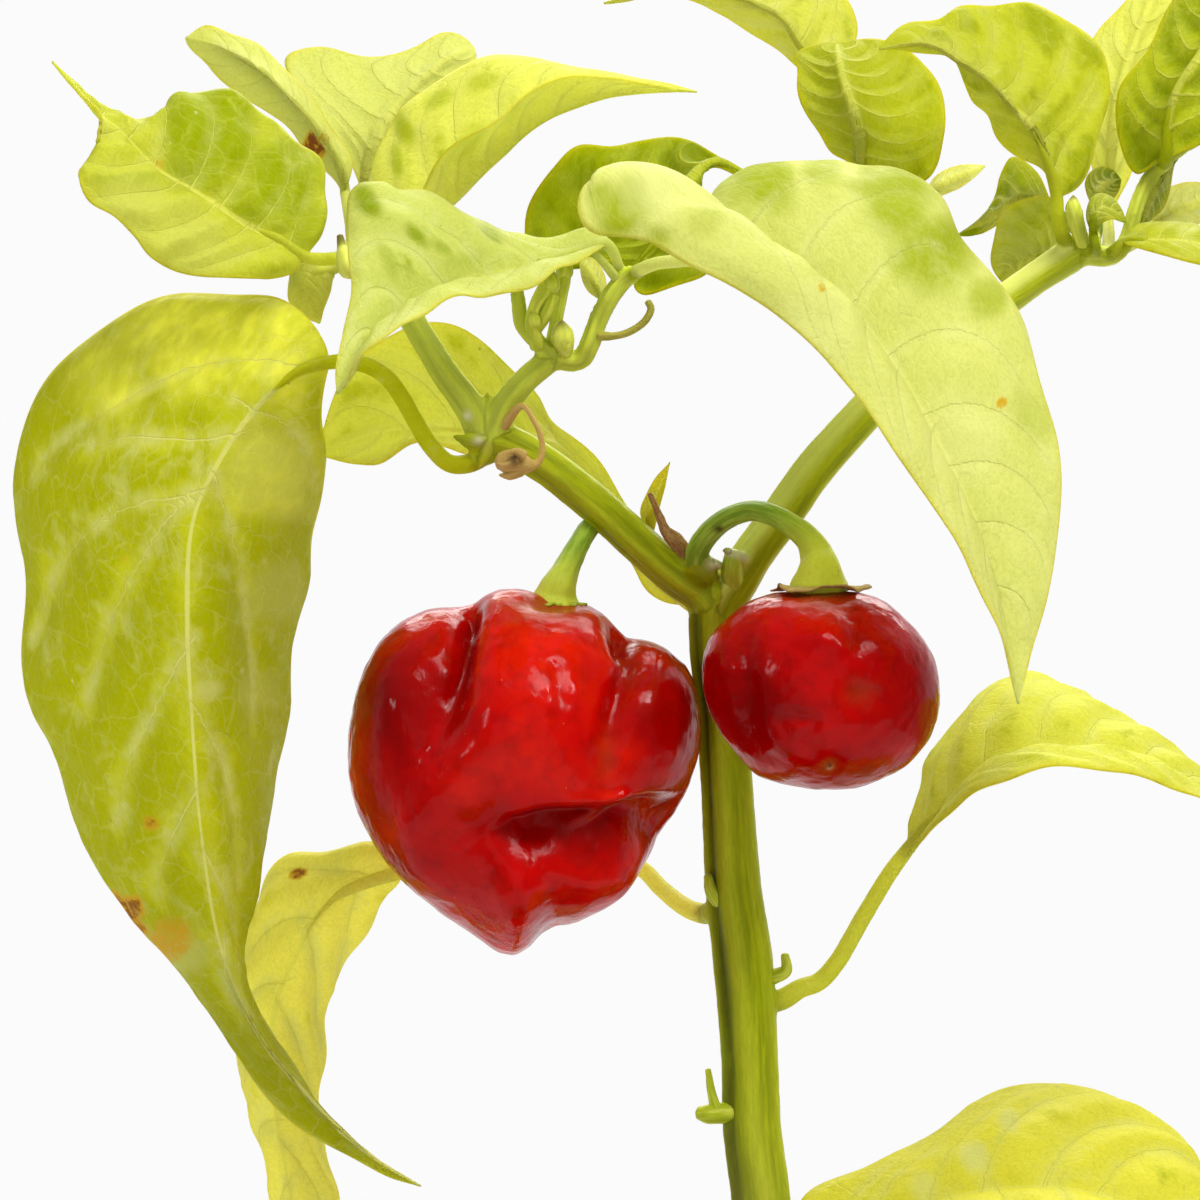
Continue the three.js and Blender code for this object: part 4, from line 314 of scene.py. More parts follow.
        "stalk": [(1120, 249, 6, 1.6), (1130, 246, 12, 1.4), (1140, 240, 17, 1.3), (1152, 228, 20, 1.2), (1168, 216, 19, 0.9)]},
    "leaflet_curled": {
        "n": 5,
        "face": 1,
        "bulge": (0.12, 0.1, 0.03),
        "a": [(331, 268, 9), (322, 262, 9), (306, 259, 8), (292, 264, 7), (288, 281, 7), (289, 301, 7), (303, 316, 8), (319, 323, 9)],
        "m": [(333, 270, 8), (318, 270, 5), (306, 278, 4), (305, 292, 4), (310, 308, 6), (319, 323, 9)],
        "b": [(334, 273, 9), (330, 285, 8), (327, 296, 8), (324, 308, 8), (320, 323, 9)],
        "stalk": [(354, 258, 6, 1.4), (345, 264, 8, 1.3), (333, 270, 8, 1.2), (318, 270, 5, 0.9)]},
    "leaflet_pale": {
        "n": 5,
        "face": -1,
        "bulge": (0.1, 0.1, 0.03),
        "a": [(604, 300, 1), (606, 282, 2), (600, 266, 3), (590, 257, 4), (581, 262, 4)],
        "m": [(602, 300, 1), (596, 285, 0), (590, 272, 1), (581, 263, 4)],
        "b": [(600, 300, 1), (588, 291, 2), (582, 277, 3), (580, 264, 4)],
        "stalk": [(597, 332, -2, 1.2), (600, 316, 0, 1.1), (602, 300, 1, 1), (596, 285, 0, 0.8)]},
    "leaflet_yellow": {
        "n": 6,
        "face": 1,
        "bulge": (0.08, 0.06, 0.02),
        "a": [(646, 530, 2), (641, 511, 3), (647, 494, 3), (656, 477, 3), (670, 462, 3)],
        "m": [(650, 532, 2), (650, 514, 1), (656, 496, 2), (663, 479, 3), (670, 462, 3)],
        "b": [(654, 530, 2), (659, 508, 2), (665, 486, 3), (670, 463, 3)],
        "stalk": [(664, 562, 0.5, 1.3), (656, 546, 1, 1.2), (650, 532, 2, 1.1), (650, 514, 1, 0.8)]},
    "leaf_low_left": {
        "n": 8,
        "k": 2,
        "face": 1,
        "bulge": (0.06, 0.1, 0.08, 0.02),
        "a": [(640, 1462, -20), (600, 1440, -16), (540, 1425, -14), (470, 1430, -16), (410, 1460, -22), (360, 1510, -32), (330, 1570, -44)],
        "m": [(640, 1466, -21), (590, 1462, -26), (530, 1462, -32), (465, 1475, -38), (405, 1508, -42), (360, 1540, -44), (330, 1572, -45)],
        "b": [(642, 1470, -22), (620, 1492, -34), (570, 1510, -46), (510, 1522, -53), (450, 1535, -56), (390, 1552, -53), (330, 1574, -46)],
        "stalk": [(774, 1520, 0, 2.8), (750, 1505, -5, 2.4), (700, 1482, -13, 2.2), (640, 1466, -21, 1.9), (590, 1462, -26, 1.4)]},
    "leaf_low_right": {
        "n": 8,
        "k": 2,
        "face": 1,
        "bulge": (0.06, 0.1, 0.08, 0.02),
        "a": [(880, 1552, 18), (920, 1520, 24), (980, 1500, 30), (1050, 1500, 34), (1110, 1530, 36), (1150, 1580, 36), (1165, 1630, 34)],
        "m": [(880, 1556, 17), (930, 1540, 16), (990, 1535, 17), (1050, 1545, 20), (1105, 1572, 25), (1140, 1602, 30), (1165, 1632, 34)],
        "b": [(882, 1560, 16), (920, 1575, 6), (975, 1588, 0), (1035, 1600, 2), (1090, 1612, 10), (1130, 1625, 20), (1165, 1634, 33)],
        "stalk": [(776, 1640, 0, 2.8), (800, 1610, 4, 2.4), (840, 1575, 11, 2.2), (880, 1556, 17, 1.9), (930, 1540, 16, 1.4)]},
    "leaf_low_back": {
        "n": 8,
        "k": 2,
        "face": -1,
        "bulge": (0.06, 0.1, 0.08, 0.02),
        "a": [(708, 1372, 34), (690, 1345, 42), (655, 1318, 52), (600, 1305, 62), (540, 1320, 70), (495, 1360, 76)],
        "m": [(708, 1376, 34), (675, 1368, 40), (635, 1358, 48), (590, 1352, 58), (540, 1358, 68), (495, 1364, 76)],
        "b": [(706, 1380, 34), (665, 1400, 34), (620, 1408, 38), (570, 1408, 46), (530, 1395, 58), (495, 1366, 76)],
        "stalk": [(771, 1440, 0, 2.8), (765, 1420, 8, 2.4), (740, 1395, 20, 2.2), (708, 1376, 34, 1.9), (675, 1368, 40, 1.4)]}}

STALK_LARGE = [(712, 590, 2, 2.6), (690, 585, 4, 2.6), (668, 566, 5, 2.4), (640, 541, 5, 2.4), (614, 521, 4.6, 2.4), (594, 524, 2, 2.5), (578, 546, -2, 2.6), (566, 570, -5, 3.2), (558, 588, -7, 4.4), (555, 604, -7, 5.6)]

STALK_SMALL = [(702, 575, -2, 3.2), (697, 553, -4, 2.9), (709, 533, -6, 2.8), (728, 518, -8, 2.6), (751, 511, -10, 2.5), (772, 515, -12, 2.6), (792, 526, -13, 2.8), (809, 540, -14, 3.2), (818, 558, -15, 4.2), (820, 575, -16, 6.4), (820, 584, -16, 9), (820, 589, -16, 12.2)]

SMALL = {
    "dried_flower": [[(500, 432, -1, 1.4), (522, 406, -4, 0.8), (533, 419, -5, 0.7), (542, 442, -5, 0.8), (540, 460, -5, 0.8), (533, 465, -5, 1.2), (520, 464, -6, 2.6), (508, 462, -6, 3.2), (500, 461, -6, 2.2)]],
    "flower_bud_stalk": [[(552, 348, -2, 1.8), (556, 322, -3, 1.5), (560, 301, -3, 1.5), (564, 280, -3, 1.6), (565, 264, -3, 1.5)]],
    "flower_buds": [[(538, 346, -3, 2), (532, 324, -5, 1.8), (536, 305, -6, 1.6), (545, 290, -6, 2.2), (551, 280, -6, 1.6)], [(536, 330, -4, 1.4), (547, 312, -6, 1.6), (553, 296, -6, 1.5)]],
    "flower_bud_axil": [[(566, 352, -3, 1.6), (564, 342, -5, 2.6), (562, 332, -5, 2.6), (560, 325, -5, 1.6)]],
    "hooked_flower_stalk": [[(600, 336, -4, 1.2), (614, 336, -5, 0.9), (629, 332, -5, 0.9), (644, 322, -5, 0.9), (651, 309, -5, 0.9), (648, 302, -5, 0.8)]],
    "flower_bud_upper": [[(1083, 243, 2, 1.8), (1078, 228, 0, 1.9), (1074, 212, -1, 2.2), (1073, 202, -1, 1.4)]],
    "bud_shoot_tip": [[(364, 264, 4, 1.6), (355, 271, 0, 2), (348, 268, -2, 2.6), (345, 257, -2, 2.2), (342, 247, -1, 1.2), (340, 236, -1, 0.8)]],
    "dry_scar_fork": [[(690, 560, -1, 1.6), (676, 541, -2, 2), (666, 531, -2, 1.4), (657, 510, -2, 0.8), (650, 494, -2, 0.6)]],
    "stub_fork": [[(735, 588, -1, 2.8), (732, 568, -3, 2.6), (734, 554, -3, 2.2)]],
    "axil_bud_left": [[(722, 904, -1, 2), (711, 890, -2, 1.6), (708, 876, -2, 1)]],
    "axil_bud_right": [[(770, 978, -1, 2), (786, 970, -2, 1.5), (785, 955, -2, 1)]],
    "stub_lower_left": [[(732, 1112, -1, 2.6), (708, 1114, -2, 2.4), (699, 1113, -2, 1.6)], [(716, 1110, -2, 1.4), (711, 1090, -2, 1), (708, 1070, -2, 0.7)]]}


# ---- small numeric helpers ----
def at(p):
    """A point (u, v, depth) of the front view as millimetres in the part's frame."""
    p = np.asarray(p, float)
    d = p[..., 2]
    k = (VIEW_MM + d) / VIEW_MM / UNITS_PER_MM
    return np.stack([VIEW_X + (p[..., 0] - 600.0) * k, d, VIEW_Z + (600.0 - p[..., 1]) * k], -1)


def view_uv(x):
    """Front-view units of points in millimetres."""
    k = (VIEW_MM + x[..., 1]) / VIEW_MM / UNITS_PER_MM
    return np.stack([600.0 + (x[..., 0] - VIEW_X) / k, 600.0 - (x[..., 2] - VIEW_Z) / k], -1)


def unit(v):
    return v / np.maximum(np.linalg.norm(v, axis=-1, keepdims=True), 1e-12)


def smooth(x, lo=0.0, hi=1.0):
    t = np.clip((np.asarray(x, float) - lo) / (hi - lo), 0, 1)
    return t * t * (3 - 2 * t)


def bell(x, w):
    return np.exp(-((np.asarray(x, float) / w) ** 2))


def curve(points, ts):
    """Centripetal Catmull-Rom through points, at parameters 0 to 1 with an even share for each span."""
    p = np.asarray(points, float)
    n = len(p)
    ext = np.vstack([2 * p[0] - p[1], p, 2 * p[-1] - p[-2]])
    q = np.clip(np.asarray(ts, float), 0, 1) * (n - 1)
    i = np.minimum(q.astype(int), n - 2)
    w = (q - i)[:, None]
    a, b, c, d = ext[i], ext[i + 1], ext[i + 2], ext[i + 3]

    def gap(x, y):
        return np.maximum(np.linalg.norm(x[:, :3] - y[:, :3], axis=1), 1e-6)[:, None] ** 0.5

    t0, t1, t2 = gap(a, b), gap(b, c), gap(c, d)
    m1 = ((b - a) / t0 - (c - a) / (t0 + t1) + (c - b) / t1) * t1
    m2 = ((c - b) / t1 - (d - b) / (t1 + t2) + (d - c) / t2) * t1
    return b + m1 * w + (-3 * b + 3 * c - 2 * m1 - m2) * w**2 + (2 * b - 2 * c + m1 + m2) * w**3


def rail(points, s):
    """Places along a rail of (u, v, depth[, station]) at the stations s."""
    p = at([q[:3] for q in points])
    length = np.concatenate([[0], np.cumsum(np.linalg.norm(np.diff(p, axis=0), axis=1))])
    known = [0] + [i for i in range(1, len(points) - 1) if len(points[i]) > 3] + [len(points) - 1]
    value = [0.0] + [points[i][3] for i in known[1:-1]] + [1.0]
    st = np.interp(length, length[known], value)
    where = np.interp(s, st, np.linspace(0, 1, len(p)))
    return curve(p, where)


def _hash(i, j, k, seed):
    h = (i * 374761393 + j * 668265263 + k * 2147483647 + seed * 974634777) & 0xFFFFFFFF
    h = ((h ^ (h >> 13)) * 1274126177) & 0xFFFFFFFF
    return ((h ^ (h >> 16)) & 0xFFFFFF) / float(0xFFFFFF) * 2 - 1


def noise(p, seed=0):
    """Smooth value noise of points (n, 3) in about -1 to 1, one cell to the unit."""
    p = np.asarray(p, float)
    f = np.floor(p).astype(np.int64)
    t = p - f
    t = t * t * t * (t * (6 * t - 15) + 10)
    out = 0
    for a in (0, 1):
        for b in (0, 1):
            for c in (0, 1):
                w = (t[:, 0] if a else 1 - t[:, 0]) * (t[:, 1] if b else 1 - t[:, 1]) * (t[:, 2] if c else 1 - t[:, 2])
                out = out + w * _hash(f[:, 0] + a, f[:, 1] + b, f[:, 2] + c, seed)
    return out


def fbm(p, seed=0, octaves=3):
    out, amp, total = 0, 1.0, 0.0
    for i in range(octaves):
        out = out + amp * noise(np.asarray(p) * 2.03**i + 17.3 * i, seed + i)
        total += amp
        amp *= 0.5
    return out / total


def nearest(points, targets):
    """For each point the distance to the nearest target and its index."""
    best = np.full(len(points), 1e18)
    index = np.zeros(len(points), int)
    t2 = (targets**2).sum(1)
    for lo in range(0, len(points), 4000):
        q = points[lo:lo + 4000]
        d = (q**2).sum(1)[:, None] + t2[None] - 2 * q @ targets.T
        k = d.argmin(1)
        index[lo:lo + 4000] = k
        best[lo:lo + 4000] = d[np.arange(len(q)), k]
    return np.sqrt(np.maximum(best, 0)), index


def to_line(p, line):
    """Distance of 2-D points to a polyline, the share of its length there, and the side (positive to its right)."""
    line = np.asarray(line, float)
    seg = np.linalg.norm(np.diff(line, axis=0), axis=1)
    start = np.concatenate([[0], np.cumsum(seg)])
    best = np.full(len(p), 1e18)
    share = np.zeros(len(p))
    side = np.ones(len(p))
    for i in range(len(line) - 1):
        a, e = line[i], line[i + 1] - line[i]
        f = np.clip(((p - a) @ e) / (e @ e), 0, 1)
        off = p - a - f[:, None] * e
        d = np.hypot(off[:, 0], off[:, 1])
        near = d < best
        best[near] = d[near]
        share[near] = (start[i] + f[near] * seg[i]) / start[-1]
        cross = e[0] * (p[:, 1] - a[1]) - e[1] * (p[:, 0] - a[0])
        side[near] = np.sign(cross[near])
    return best, share, side


# ---- meshes ----
class Geo:
    """Vertices in millimetres, faces and per-vertex values of one piece, gathered from several shells."""

    def __init__(self):
        self.v, self.f, self.a, self.n = [], [], [], 0

    def add(self, v, f, **values):
        v = np.asarray(v, float)
        self.v.append(v)
        self.f.extend([tuple(int(i) + self.n for i in face) for face in f])
        self.a.append((len(v), values))
        self.n += len(v)
        return self

    def verts(self):
        return np.vstack(self.v)

    def values(self):
        names = {}
        for _, vals in self.a:
            for k, x in vals.items():
                names[k] = 3 if np.ndim(x) == 2 or (np.ndim(x) == 1 and len(x) == 3 and k == "co") else 1
        out = {}
        for k, dim in names.items():
            rows = []
            for count, vals in self.a:
                x = vals.get(k, 0.0 if dim == 1 else (0.0, 0.0, 0.0))
                rows.append(np.broadcast_to(np.asarray(x, float), (count,) if dim == 1 else (count, 3)))
            out[k] = np.concatenate(rows)
        return out


def set_values(mesh, values):
    for name, x in values.items():
        kind = "FLOAT_VECTOR" if x.ndim == 2 else "FLOAT"
        layer = mesh.attributes.new(name, kind, "POINT")
        layer.data.foreach_set("vector" if x.ndim == 2 else "value", np.ascontiguousarray(x, np.float32).ravel())


def new_object(name, geo, material, materials=()):
    mesh = bpy.data.meshes.new(name)
    mesh.from_pydata((geo.verts() * 0.001).tolist(), [], geo.f)
    mesh.validate(verbose=False)
    if len(mesh.vertices) == geo.n:
        set_values(mesh, geo.values())
    mesh.polygons.foreach_set("use_smooth", np.ones(len(mesh.polygons), bool))
    for m in (material, *materials):
        mesh.materials.append(m)
    obj = bpy.data.objects.new(name, mesh)
    bpy.context.scene.collection.objects.link(obj)
    return obj


def piece(name, obj, nodes):
    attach(obj, "root")
    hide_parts(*nodes)
    return obj


def grid_faces(rows, cols, wrap=False, base=0, flip=False):
    out = []
    for i in range(rows - 1):
        for j in range(cols if wrap else cols - 1):
            k = (j + 1) % cols
            q = (base + i * cols + j, base + i * cols + k, base + (i + 1) * cols + k, base + (i + 1) * cols + j)
            out.append(q[::-1] if flip else q)
    return out


def tube(points, sides=18, step=0.55, ribs=0.0, ribcount=5, rough=0.0, seed=1, scale=1.0, twist=0.0, cut=False):
    """A closed tube through (u, v, depth, diameter). Gives vertices, faces and values."""
    pts = np.array([q[:4] for q in points], float)
    centre = at(pts[:, :3])
    total = np.linalg.norm(np.diff(centre, axis=0), axis=1).sum()
    n = max(6, int(round(total / step)))
    fine = np.linspace(0, 1, n * 4 + 1)
    place = curve(centre, fine)
    arc = np.concatenate([[0], np.cumsum(np.linalg.norm(np.diff(place, axis=0), axis=1))])
    t = np.interp(np.linspace(0, arc[-1], n + 1), arc, fine)
    c = curve(centre, t)
    knots = np.linspace(0, 1, len(pts))
    r = np.interp(t, knots, pts[:, 3]) / 2 * scale
    for _ in range(2):  # rounds the corners of the radius
        r[1:-1] = (r[:-2] + 2 * r[1:-1] + r[2:]) / 4
    tan = unit(np.gradient(c, axis=0))
    normal = np.array([0.0, -1.0, 0.0])
    ang = np.linspace(0, 2 * np.pi, sides, endpoint=False)
    rows = []
    along = np.linspace(0, arc[-1], n + 1)
    co = []
    for i in range(n + 1):
        normal = unit(normal - (normal @ tan[i]) * tan[i])
        side = np.cross(tan[i], normal)
        a = ang + twist * along[i]
        rr = r[i] * (1 + ribs * np.cos(ribcount * a + 0.7 * math.sin(along[i] * 0.11 + seed)))
        ring = c[i] + rr[:, None] * (np.cos(ang)[:, None] * normal + np.sin(ang)[:, None] * side)
        rows.append(ring)
        co.append(np.stack([np.cos(ang) * r[i], np.sin(ang) * r[i], np.full(sides, along[i])], -1))
    caps = []
    for end, i in ((-1, 0), (1, n)):
        for share in (0.45, 0.8):
            rr = math.sqrt(1 - share**2)
            caps.append((end, i, share, rr))
    head = [(c[0] - tan[0] * r[0] * 0.55 * s) + (rows[0] - c[0]) * rr for e, i, s, rr in caps if e < 0][::-1]
    tail = [(c[n] + tan[n] * r[n] * 0.55 * s) + (rows[n] - c[n]) * rr for e, i, s, rr in caps if e > 0]
    co = [co[0]] * len(head) + co + [co[-1]] * len(tail)
    rows = head + rows + tail
    v = np.vstack([np.vstack(rows), c[0] - tan[0] * r[0] * 0.6, c[n] + tan[n] * r[n] * 0.6])
    co = np.vstack([np.vstack(co), [[0, 0, 0]], [[0, 0, arc[-1]]]])
    m = len(rows)
    f = grid_faces(m, sides, wrap=True)
    s, e, last = m * sides, m * sides + 1, (m - 1) * sides
    for j in range(sides):
        k = (j + 1) % sides
        f.append((s, k, j))
        f.append((e, last + j, last + k))
    share = np.clip(co[:, 2] / max(arc[-1], 1e-6), 0, 1)
    if rough:
        out = unit(v - np.vstack([np.repeat(np.vstack([c[0]] * len(head) + list(c) + [c[n]] * len(tail)), sides, 0), c[0], c[n]]))
        v = v + out * (rough * fbm(v * 0.9, seed))[:, None]
    return v, f, {"co": co + np.array([seed * 13.7, 0, 0]), "along": share}

# ---- leaves ----
def leaf_surface(leaf, n, k):
    """Middle surface on a fine grid, as (n + 1, 2k + 1, 3), its upper normals, and stations and shares across."""
    s = np.linspace(0, 1, n + 1)
    A, M, B = rail(leaf["a"], s), rail(leaf["m"], s), rail(leaf["b"], s)
    for _ in range(3):
        M[1:-1] = (M[:-2] + 2 * M[1:-1] + M[2:]) / 4
        A[1:-1] = (A[:-2] + 2 * A[1:-1] + A[2:]) / 4
        B[1:-1] = (B[:-2] + 2 * B[1:-1] + B[2:]) / 4
    tan = unit(np.gradient(M, axis=0))
    mid = int(round(n * 0.4))
    up0 = np.cross(tan[mid], A[mid] - M[mid])
    flip = np.sign(-up0[1] * leaf.get("face", 1)) or 1.0
    h = np.interp(s, np.linspace(0, 1, len(leaf["bulge"])), leaf["bulge"])
    t = (np.arange(1, k + 1) / k) ** 0.94
    halves = []
    for X, sign in ((A, 1.0), (B, -1.0)):
        w = X - M
        size = np.linalg.norm(w, axis=1)
        thin = size < 0.12
        if thin.any():
            ref = w.copy()
            good = np.where(~thin)[0]
            for i in np.where(thin)[0]:
                ref[i] = unit(w[good[np.abs(good - i).argmin()]]) * 0.12
            w = np.where(thin[:, None], ref, w)
        up = unit(np.cross(tan, w) * sign * flip)
        size = np.linalg.norm(w, axis=1)
        rise = (h * size)[:, None] * 4 * t * (1 - t)
        halves.append(M[:, None] + w[:, None] * t[None, :, None] + up[:, None] * rise[..., None])
    g = np.concatenate([halves[0][:, ::-1], M[:, None], halves[1]], 1)
    T = np.concatenate([-t[::-1], [0], t])
    nrm = unit(np.cross(np.gradient(g, axis=0), np.gradient(g, axis=1)))
    ref = np.cross(np.gradient(g, axis=0)[mid, k], np.gradient(g, axis=1)[mid, k])
    if unit(ref) @ (unit(np.cross(tan[mid], A[mid] - M[mid])) * flip) < 0:
        nrm = -nrm
    return g, nrm, s, T


def vein_lines(leaf, look):
    """Side veins as rows of (station, share across), from the midrib towards the margin."""
    lines = []
    count, sweep = look["veins"], look["sweep"]
    rng = np.random.RandomState(look["seed"])
    for side in (-1, 1):
        for i in range(count):
            s0 = 0.02 + (0.86 * (i + 0.25 + 0.5 * (side > 0) * 0.6) / count) + rng.uniform(-0.012, 0.012)
            reach = rng.uniform(0.86, 0.97)
            t = np.linspace(0, reach, 26)
            far = sweep * (0.75 + 0.5 * rng.rand()) * (1 - 0.45 * s0)
            s = s0 + far * (0.55 * t + 0.75 * t**2.2)
            keep = s < 0.985
            if keep.sum() > 3:
                lines.append(np.stack([s, side * t], -1)[keep])
    return lines


def leaf_geo(leaf, look, stalk=True):
    n, k = look["n"], look["k"]
    g, nrm, S, T = leaf_surface(leaf, n, k)
    du = np.linalg.norm(np.diff(g, axis=0), axis=2)
    length = np.concatenate([[0], np.cumsum(du[:, k])])
    across = np.zeros(g.shape[:2])
    dv = np.linalg.norm(np.diff(g, axis=1), axis=2)
    for j in range(k + 1, 2 * k + 1):
        across[:, j] = across[:, j - 1] + dv[:, j - 1]
    for j in range(k - 1, -1, -1):
        across[:, j] = across[:, j + 1] - dv[:, j]
    half = np.where(T[None] < 0, -across[:, :1], across[:, -1:])
    margin = half - np.abs(across)
    mid = np.abs(across)
    flat = g.reshape(-1, 3)

    def on_surface(st):
        i = np.clip(st[:, 0], 0, 1) * n
        j = np.interp(st[:, 1], T, np.arange(2 * k + 1))
        i0, j0 = np.minimum(i.astype(int), n - 1), np.minimum(j.astype(int), 2 * k - 1)
        fi, fj = (i - i0)[:, None], (j - j0)[:, None]
        return (g[i0, j0] * (1 - fi) * (1 - fj) + g[i0 + 1, j0] * fi * (1 - fj)
                + g[i0, j0 + 1] * (1 - fi) * fj + g[i0 + 1, j0 + 1] * fi * fj)

    lines = vein_lines(leaf, look)
    if look.get("drawn"):
        uv = view_uv(flat)
        lines = []
        for drawn in look["drawn"]:
            p = np.array(drawn, float)
            q = np.linspace(0, 1, 30)
            fine = np.stack([np.interp(q, np.linspace(0, 1, len(p)), p[:, 0]), np.interp(q, np.linspace(0, 1, len(p)), p[:, 1])], -1)
            _, idx = nearest(fine, uv)
            st = np.stack([S[idx // (2 * k + 1)], T[idx % (2 * k + 1)]], -1)
            for _ in range(8):
                st[1:-1] = (st[:-2] + 2 * st[1:-1] + st[2:]) / 4
            lines.append(st)
    pts, wide, heads = [], [], []
    for line in lines:
        p = on_surface(line)
        pts.append(p)
        heads.append(unit(np.gradient(p, axis=0)))
        wide.append(np.linspace(1.0, 0.35, len(p)))
    pts, heads, wide = np.vstack(pts), np.vstack(heads), np.concatenate(wide)
    far, index = nearest(flat, pts)
    side_of = np.sign((np.cross(nrm.reshape(-1, 3), heads[index]) * (flat - pts[index])).sum(1))
    signed = (far * np.where(side_of == 0, 1, side_of)).reshape(mid.shape)
    far, thick = far.reshape(mid.shape), wide[index].reshape(mid.shape)
    room = smooth(half, 0.5, 4.0)  # narrow parts of the blade are calmer
    cell = look["cell"]
    vein = thick * bell(far, 0.42) * room * (1 - bell(mid, 0.8))
    rib = bell(mid, 0.55 + 0.35 * (1 - S[:, None])) * np.clip(1.25 - S[:, None], 0.2, 1)
    puff = (1 - bell(far, cell)) * (1 - bell(mid, cell * 0.9)) * smooth(margin, 0.0, cell)
    co = np.stack([across, np.broadcast_to(length[:, None], across.shape), np.zeros_like(across)], -1)
    c3 = co.reshape(-1, 3)
    crinkle = fbm(c3 / look["crinkle_size"], look["seed"], 3).reshape(mid.shape)
    small = fbm(c3 / 2.1 + 40, look["seed"] + 5, 2).reshape(mid.shape)
    wave = np.zeros_like(across)
    for side in (0, 1):
        sel = (T < 0) if side == 0 else (T > 0)
        ph = look["seed"] * 1.7 + side * 2.1
        wv = np.sin(length * 2 * math.pi / look["wave_len"] + ph) + 0.5 * np.sin(length * 2 * math.pi / (look["wave_len"] * 0.53) + 2 * ph)
        wave[:, sel] = (wv[:, None] * (np.abs(T[sel])[None] ** 3))
    ends = (smooth(S, 0, 0.08) * smooth(1 - S, 0, 0.08))[:, None]
    calm = 0.25 + 0.75 * smooth(margin, 0.0, 3.0)
    lift = (look["puff"] * puff + look["crinkle"] * crinkle * room * calm + 0.10 * small * room * look["rough"] * calm
            + look["wave"] * wave * room - 0.18 * vein - 0.22 * rib * room) * ends
    g = g + nrm * lift[..., None]
    calmed = g.copy()
    for _ in range(6):  # the margins and the midrib run smoothly
        for j in (0, 1, 2, k - 1, k, k + 1, 2 * k - 2, 2 * k - 1, 2 * k):
            calmed[1:-1, j] = (calmed[:-2, j] + 2 * calmed[1:-1, j] + calmed[2:, j]) / 4
    g = g + (calmed - g) * smooth(half, 0.6, 1.6)[..., None]
    nrm2 = unit(np.cross(np.gradient(g, axis=0), np.gradient(g, axis=1)))
    nrm2 = np.where((nrm2 * nrm).sum(-1, keepdims=True) < 0, -nrm2, nrm2)
    trust = np.broadcast_to(smooth(half, 0.6, 2.6), across.shape)[..., None]
    nrm2 = unit(nrm2 * trust + nrm * (1 - trust))
    for _ in range(4):
        nrm2[1:-1, k - 1:k + 2] = unit(nrm2[:-2, k - 1:k + 2] + 2 * nrm2[1:-1, k - 1:k + 2] + nrm2[2:, k - 1:k + 2])
    edge_thin = smooth(margin, 0, 0.6)
    base = 0.11 + 0.06 * edge_thin
    under = base + (0.34 * rib + 0.16 * vein) * smooth(half, 0.2, 2.5)
    top = g + nrm2 * base[..., None]
    bottom = g - nrm2 * under[..., None]
    rows, cols = g.shape[:2]
    v = np.vstack([top.reshape(-1, 3), bottom.reshape(-1, 3)])
    order = np.cross(top[mid_i(rows) + 1, k] - top[mid_i(rows), k], top[mid_i(rows), k + 1] - top[mid_i(rows), k])
    flip = order @ nrm2[mid_i(rows), k] > 0
    f = grid_faces(rows, cols, flip=flip) + grid_faces(rows, cols, base=rows * cols, flip=not flip)
    rim = [(0, j) for j in range(cols)] + [(i, cols - 1) for i in range(1, rows)]
    rim += [(rows - 1, j) for j in range(cols - 2, -1, -1)] + [(i, 0) for i in range(rows - 2, 0, -1)]
    ids = [i * cols + j for i, j in rim]
    off = rows * cols
    for a, b in zip(ids, ids[1:] + ids[:1]):
        q = (a, a + off, b + off, b)
        f.append(q[::-1] if flip else q)
    both = lambda x: np.concatenate([x.ravel(), x.ravel()])
    uv = view_uv(np.vstack([flat, flat]))
    mark = np.zeros(len(uv))
    pale = np.zeros(len(uv))
    for spot in look.get("spots", ()):
        u, w_, size, amount = spot
        d = np.hypot(uv[:, 0] - u, uv[:, 1] - w_) * (1 + 0.35 * fbm(np.column_stack([uv / 9.0, uv[:, :1] * 0]), 3))
        mark = np.maximum(mark, amount * (1 - smooth(d, size * 0.5, size)))
    for spot in look.get("pale_spots", ()):
        u, w_, size, amount = spot
        d = np.hypot(uv[:, 0] - u, uv[:, 1] - w_) * (1 + 0.35 * fbm(np.column_stack([uv / 12.0, uv[:, :1] * 0]), 9))
        pale = np.maximum(pale, amount * (1 - smooth(d, size * 0.35, size)))
    # given spots of deeper green: greener tissue, and on the curled lobe of leaf_right_big painted shade on its inner
    # face
    lush = np.zeros(len(uv))
    for spot in look.get("lush_spots", ()):
        u, w_, size, amount, ratio, turn = (tuple(spot) + (1.0, 0.0))[:6] if len(spot) < 6 else spot
        ex, ey = uv[:, 0] - u, uv[:, 1] - w_
        d = np.hypot((ex * math.cos(turn) + ey * math.sin(turn)) / ratio, ey * math.cos(turn) - ex * math.sin(turn)) * (1 + 0.5 * fbm(np.column_stack([uv / 30.0, uv[:, :1] * 0]), 4))
        lush = np.maximum(lush, amount * (1 - smooth(d, size * 0.3, size)))
    # painted sunlight: given patches where the leaf is painted paler and yellower as if lit
    sun = np.zeros(len(uv))
    for spot in look.get("sun_spots", ()):
        u, w_, size, amount = spot
        d = np.hypot(uv[:, 0] - u, uv[:, 1] - w_) * (1 + 0.4 * fbm(np.column_stack([uv / 26.0, uv[:, :1] * 0]), 6))
        sun = np.maximum(sun, amount * (1 - smooth(d, size * 0.3, size)))
    geo = Geo()
    co2 = np.vstack([c3, c3]) + np.array([0, 0, look["seed"] * 7.3])
    ribwide = np.broadcast_to((0.10 + 0.28 * (1 - S[:, None]) ** 0.8) * smooth(half, 0.1, 2.0), across.shape)
    face = np.concatenate([np.ones(across.size), -np.ones(across.size)])
